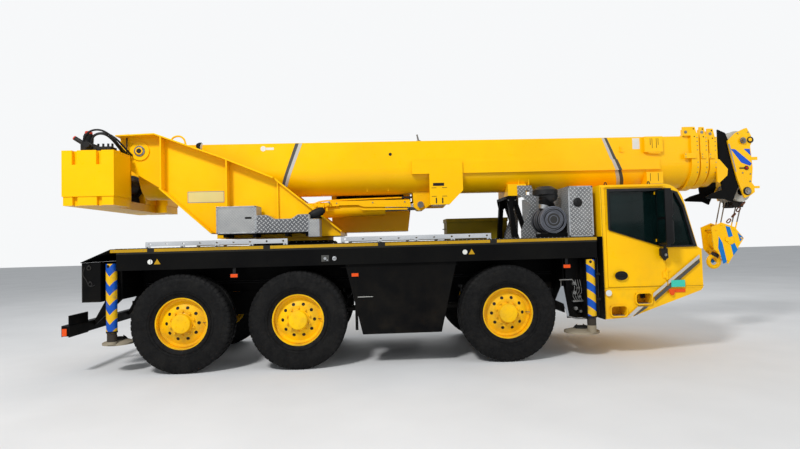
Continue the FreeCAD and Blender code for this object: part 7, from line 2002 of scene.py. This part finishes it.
def rear_details():
    """The rear: lamp rims, blank plates, lashing rings, and the counterweight's joints, eyes and plates."""
    body = "carrier"
    rims = Shape()
    for side in (-1, 1):
        rims.frame_yz([(side * 0.88, 0.555), (side * 1.195, 0.555), (side * 1.195, 0.705), (side * 0.88, 0.705)],
                      [(side * 0.902, 0.572), (side * 1.178, 0.572), (side * 1.178, 0.688), (side * 0.902, 0.688)],
                      -1.6315, -1.618)
        for y in (0.985, 1.09):
            rims.box((-1.6318, -1.626), (side * y - 0.004, side * y + 0.004), (0.57, 0.69))
    rims.finish("tail_lamp_rims", TRIM, body)
    plate = Shape().box((-1.6275, -1.6195), (-0.26, 0.26), (0.575, 0.685))
    plate.finish("blank_rear_plate", WHITE_TAPE, body, bevel=0.001)
    stays = Shape()
    stays.box((-1.6245, -1.6195), (-0.86, -0.3), (0.6, 0.66))
    stays.mirrored().finish("underrun_tape", RED_TAPE, body, bevel=0.001)
    body = "superstructure"
    joints = Shape()
    for y in (-0.9, 0.9):
        joints.hoop(0.016, 0.034, 0.01, (-1.3, y, 3.15), ACROSS, 28)
    for y in (-1.05, -0.35, 0.35, 1.05):
        joints.bolt((-1.62, y, 2.44), (-1, 0, 0), 0.024, 0.01)
    joints.finish("counterweight_eyes", YELLOW, body, bevel=0.001)
    tape = Shape()
    for side in (-1, 1):
        tape.box((-1.6222, -1.6195), (side * 0.7, side * 1.15), (2.9, 3.05))
    tape.finish("counterweight_tape", RED_TAPE, body)
    grips = Shape()
    for side in (-1, 1):
        grips.pipe(smooth_path([(-1.621, side * 0.56, 2.56), (-1.627, side * 0.56, 2.575),
                                (-1.627, side * 0.56, 2.74), (-1.621, side * 0.56, 2.76)], 5),
                   0.0018, sides=8)
    grips.finish("counterweight_marks", TRIM, body)


# Stage

def stage():
    """A pale floor, soft light and the photograph's camera."""
    n = Nodes("studio_floor", "rail_metal")
    floor_tone = n.mix(n.range(n.noise(0.6, 3.0), 0.3, 0.7), rgb(226, 226, 226), rgb(218, 218, 218))
    n.set(Base_Color=floor_tone, Roughness=0.85)
    bpy.ops.mesh.primitive_plane_add(size=120.0, location=(0, 0, 0))
    floor = bpy.context.object
    floor.name = "studio_floor"
    floor.data.materials.append(n.material)

    world = bpy.data.worlds.new("studio")
    bpy.context.scene.world = world
    world.use_nodes = True
    tree = world.node_tree
    light_path = tree.nodes.new("ShaderNodeLightPath")
    seen = tree.nodes.new("ShaderNodeMath")
    seen.operation = "MAXIMUM"
    tree.links.new(light_path.outputs["Is Camera Ray"], seen.inputs[0])
    tree.links.new(light_path.outputs["Is Transmission Ray"], seen.inputs[1])
    ambient = tree.nodes["Background"]
    ambient.inputs["Color"].default_value = (0.92, 0.96, 1.0, 1.0)
    ambient.inputs["Strength"].default_value = 0.5
    backdrop = tree.nodes.new("ShaderNodeBackground")
    backdrop.inputs["Color"].default_value = (0.93, 0.94, 0.95, 1.0)
    backdrop.inputs["Strength"].default_value = 1.0
    pick = tree.nodes.new("ShaderNodeMixShader")
    tree.links.new(seen.outputs[0], pick.inputs[0])
    tree.links.new(ambient.outputs[0], pick.inputs[1])
    tree.links.new(backdrop.outputs[0], pick.inputs[2])
    tree.links.new(pick.outputs[0], tree.nodes["World Output"].inputs["Surface"])

    for name, place, size, power in (
        ("key", (-7.0, -12.0, 13.0), 2.5, 2050.0),
        ("fill", (9.0, -9.0, 6.0), 8.0, 260.0),
        ("back", (0.0, 12.0, 9.0), 9.0, 600.0),
    ):
        lamp = bpy.data.lights.new(name, "AREA")
        lamp.size = size
        lamp.energy = power
        holder = bpy.data.objects.new(name, lamp)
        bpy.context.scene.collection.objects.link(holder)
        holder.location = place
        holder.rotation_euler = (Vector((0, 0, 1.6)) - Vector(place)).to_track_quat("-Z", "Y").to_euler()

    camera = bpy.data.cameras.new("camera")
    camera.sensor_width = SENSOR_MM
    camera.lens = FOCAL_PX / IMAGE_W * SENSOR_MM
    holder = bpy.data.objects.new("camera", camera)
    bpy.context.scene.collection.objects.link(holder)
    turn = (Matrix.Rotation(-CAMERA_YAW, 4, "Z") @ Matrix.Rotation(math.pi / 2 + CAMERA_PITCH, 4, "X")
            @ Matrix.Rotation(CAMERA_ROLL, 4, "Z"))
    x, y, z = CAMERA_AT
    holder.matrix_world = Matrix.Translation((x + REAR_AXLE_X, y, z)) @ turn
    bpy.context.scene.camera = holder
    bpy.context.scene.view_settings.view_transform = "Standard"


RUBBER = rubber()
dress_nodes()
wheels()
boom_stripes()
boom_fittings()
collar_fittings()
head_dress()
hook_dress()
chain([(8.87, -0.2, 2.27), (8.74, -0.14, 2.08), (8.62, -0.06, 1.9)], 0.075, "hook_chain", RUST, "hook")
frame_details()
tail_gear()
box_trim()
shell_guard()
luff_gear()
pin_faces()
deck_edge()
deck_top()
housing_trim()
intake_trim()
rest_trim()
storage_trim()
rest_wings()
cab_stripes()
cab_seals()
cab_door_details()
cab_front()
cab_lower()
frame_flanges()
cab_backing()
step_frames()
mudguards()
leg_fittings()
intake_bowl()
seats()
cabin_trim()
undercarriage()
tank_details()
rear_details()
stage()
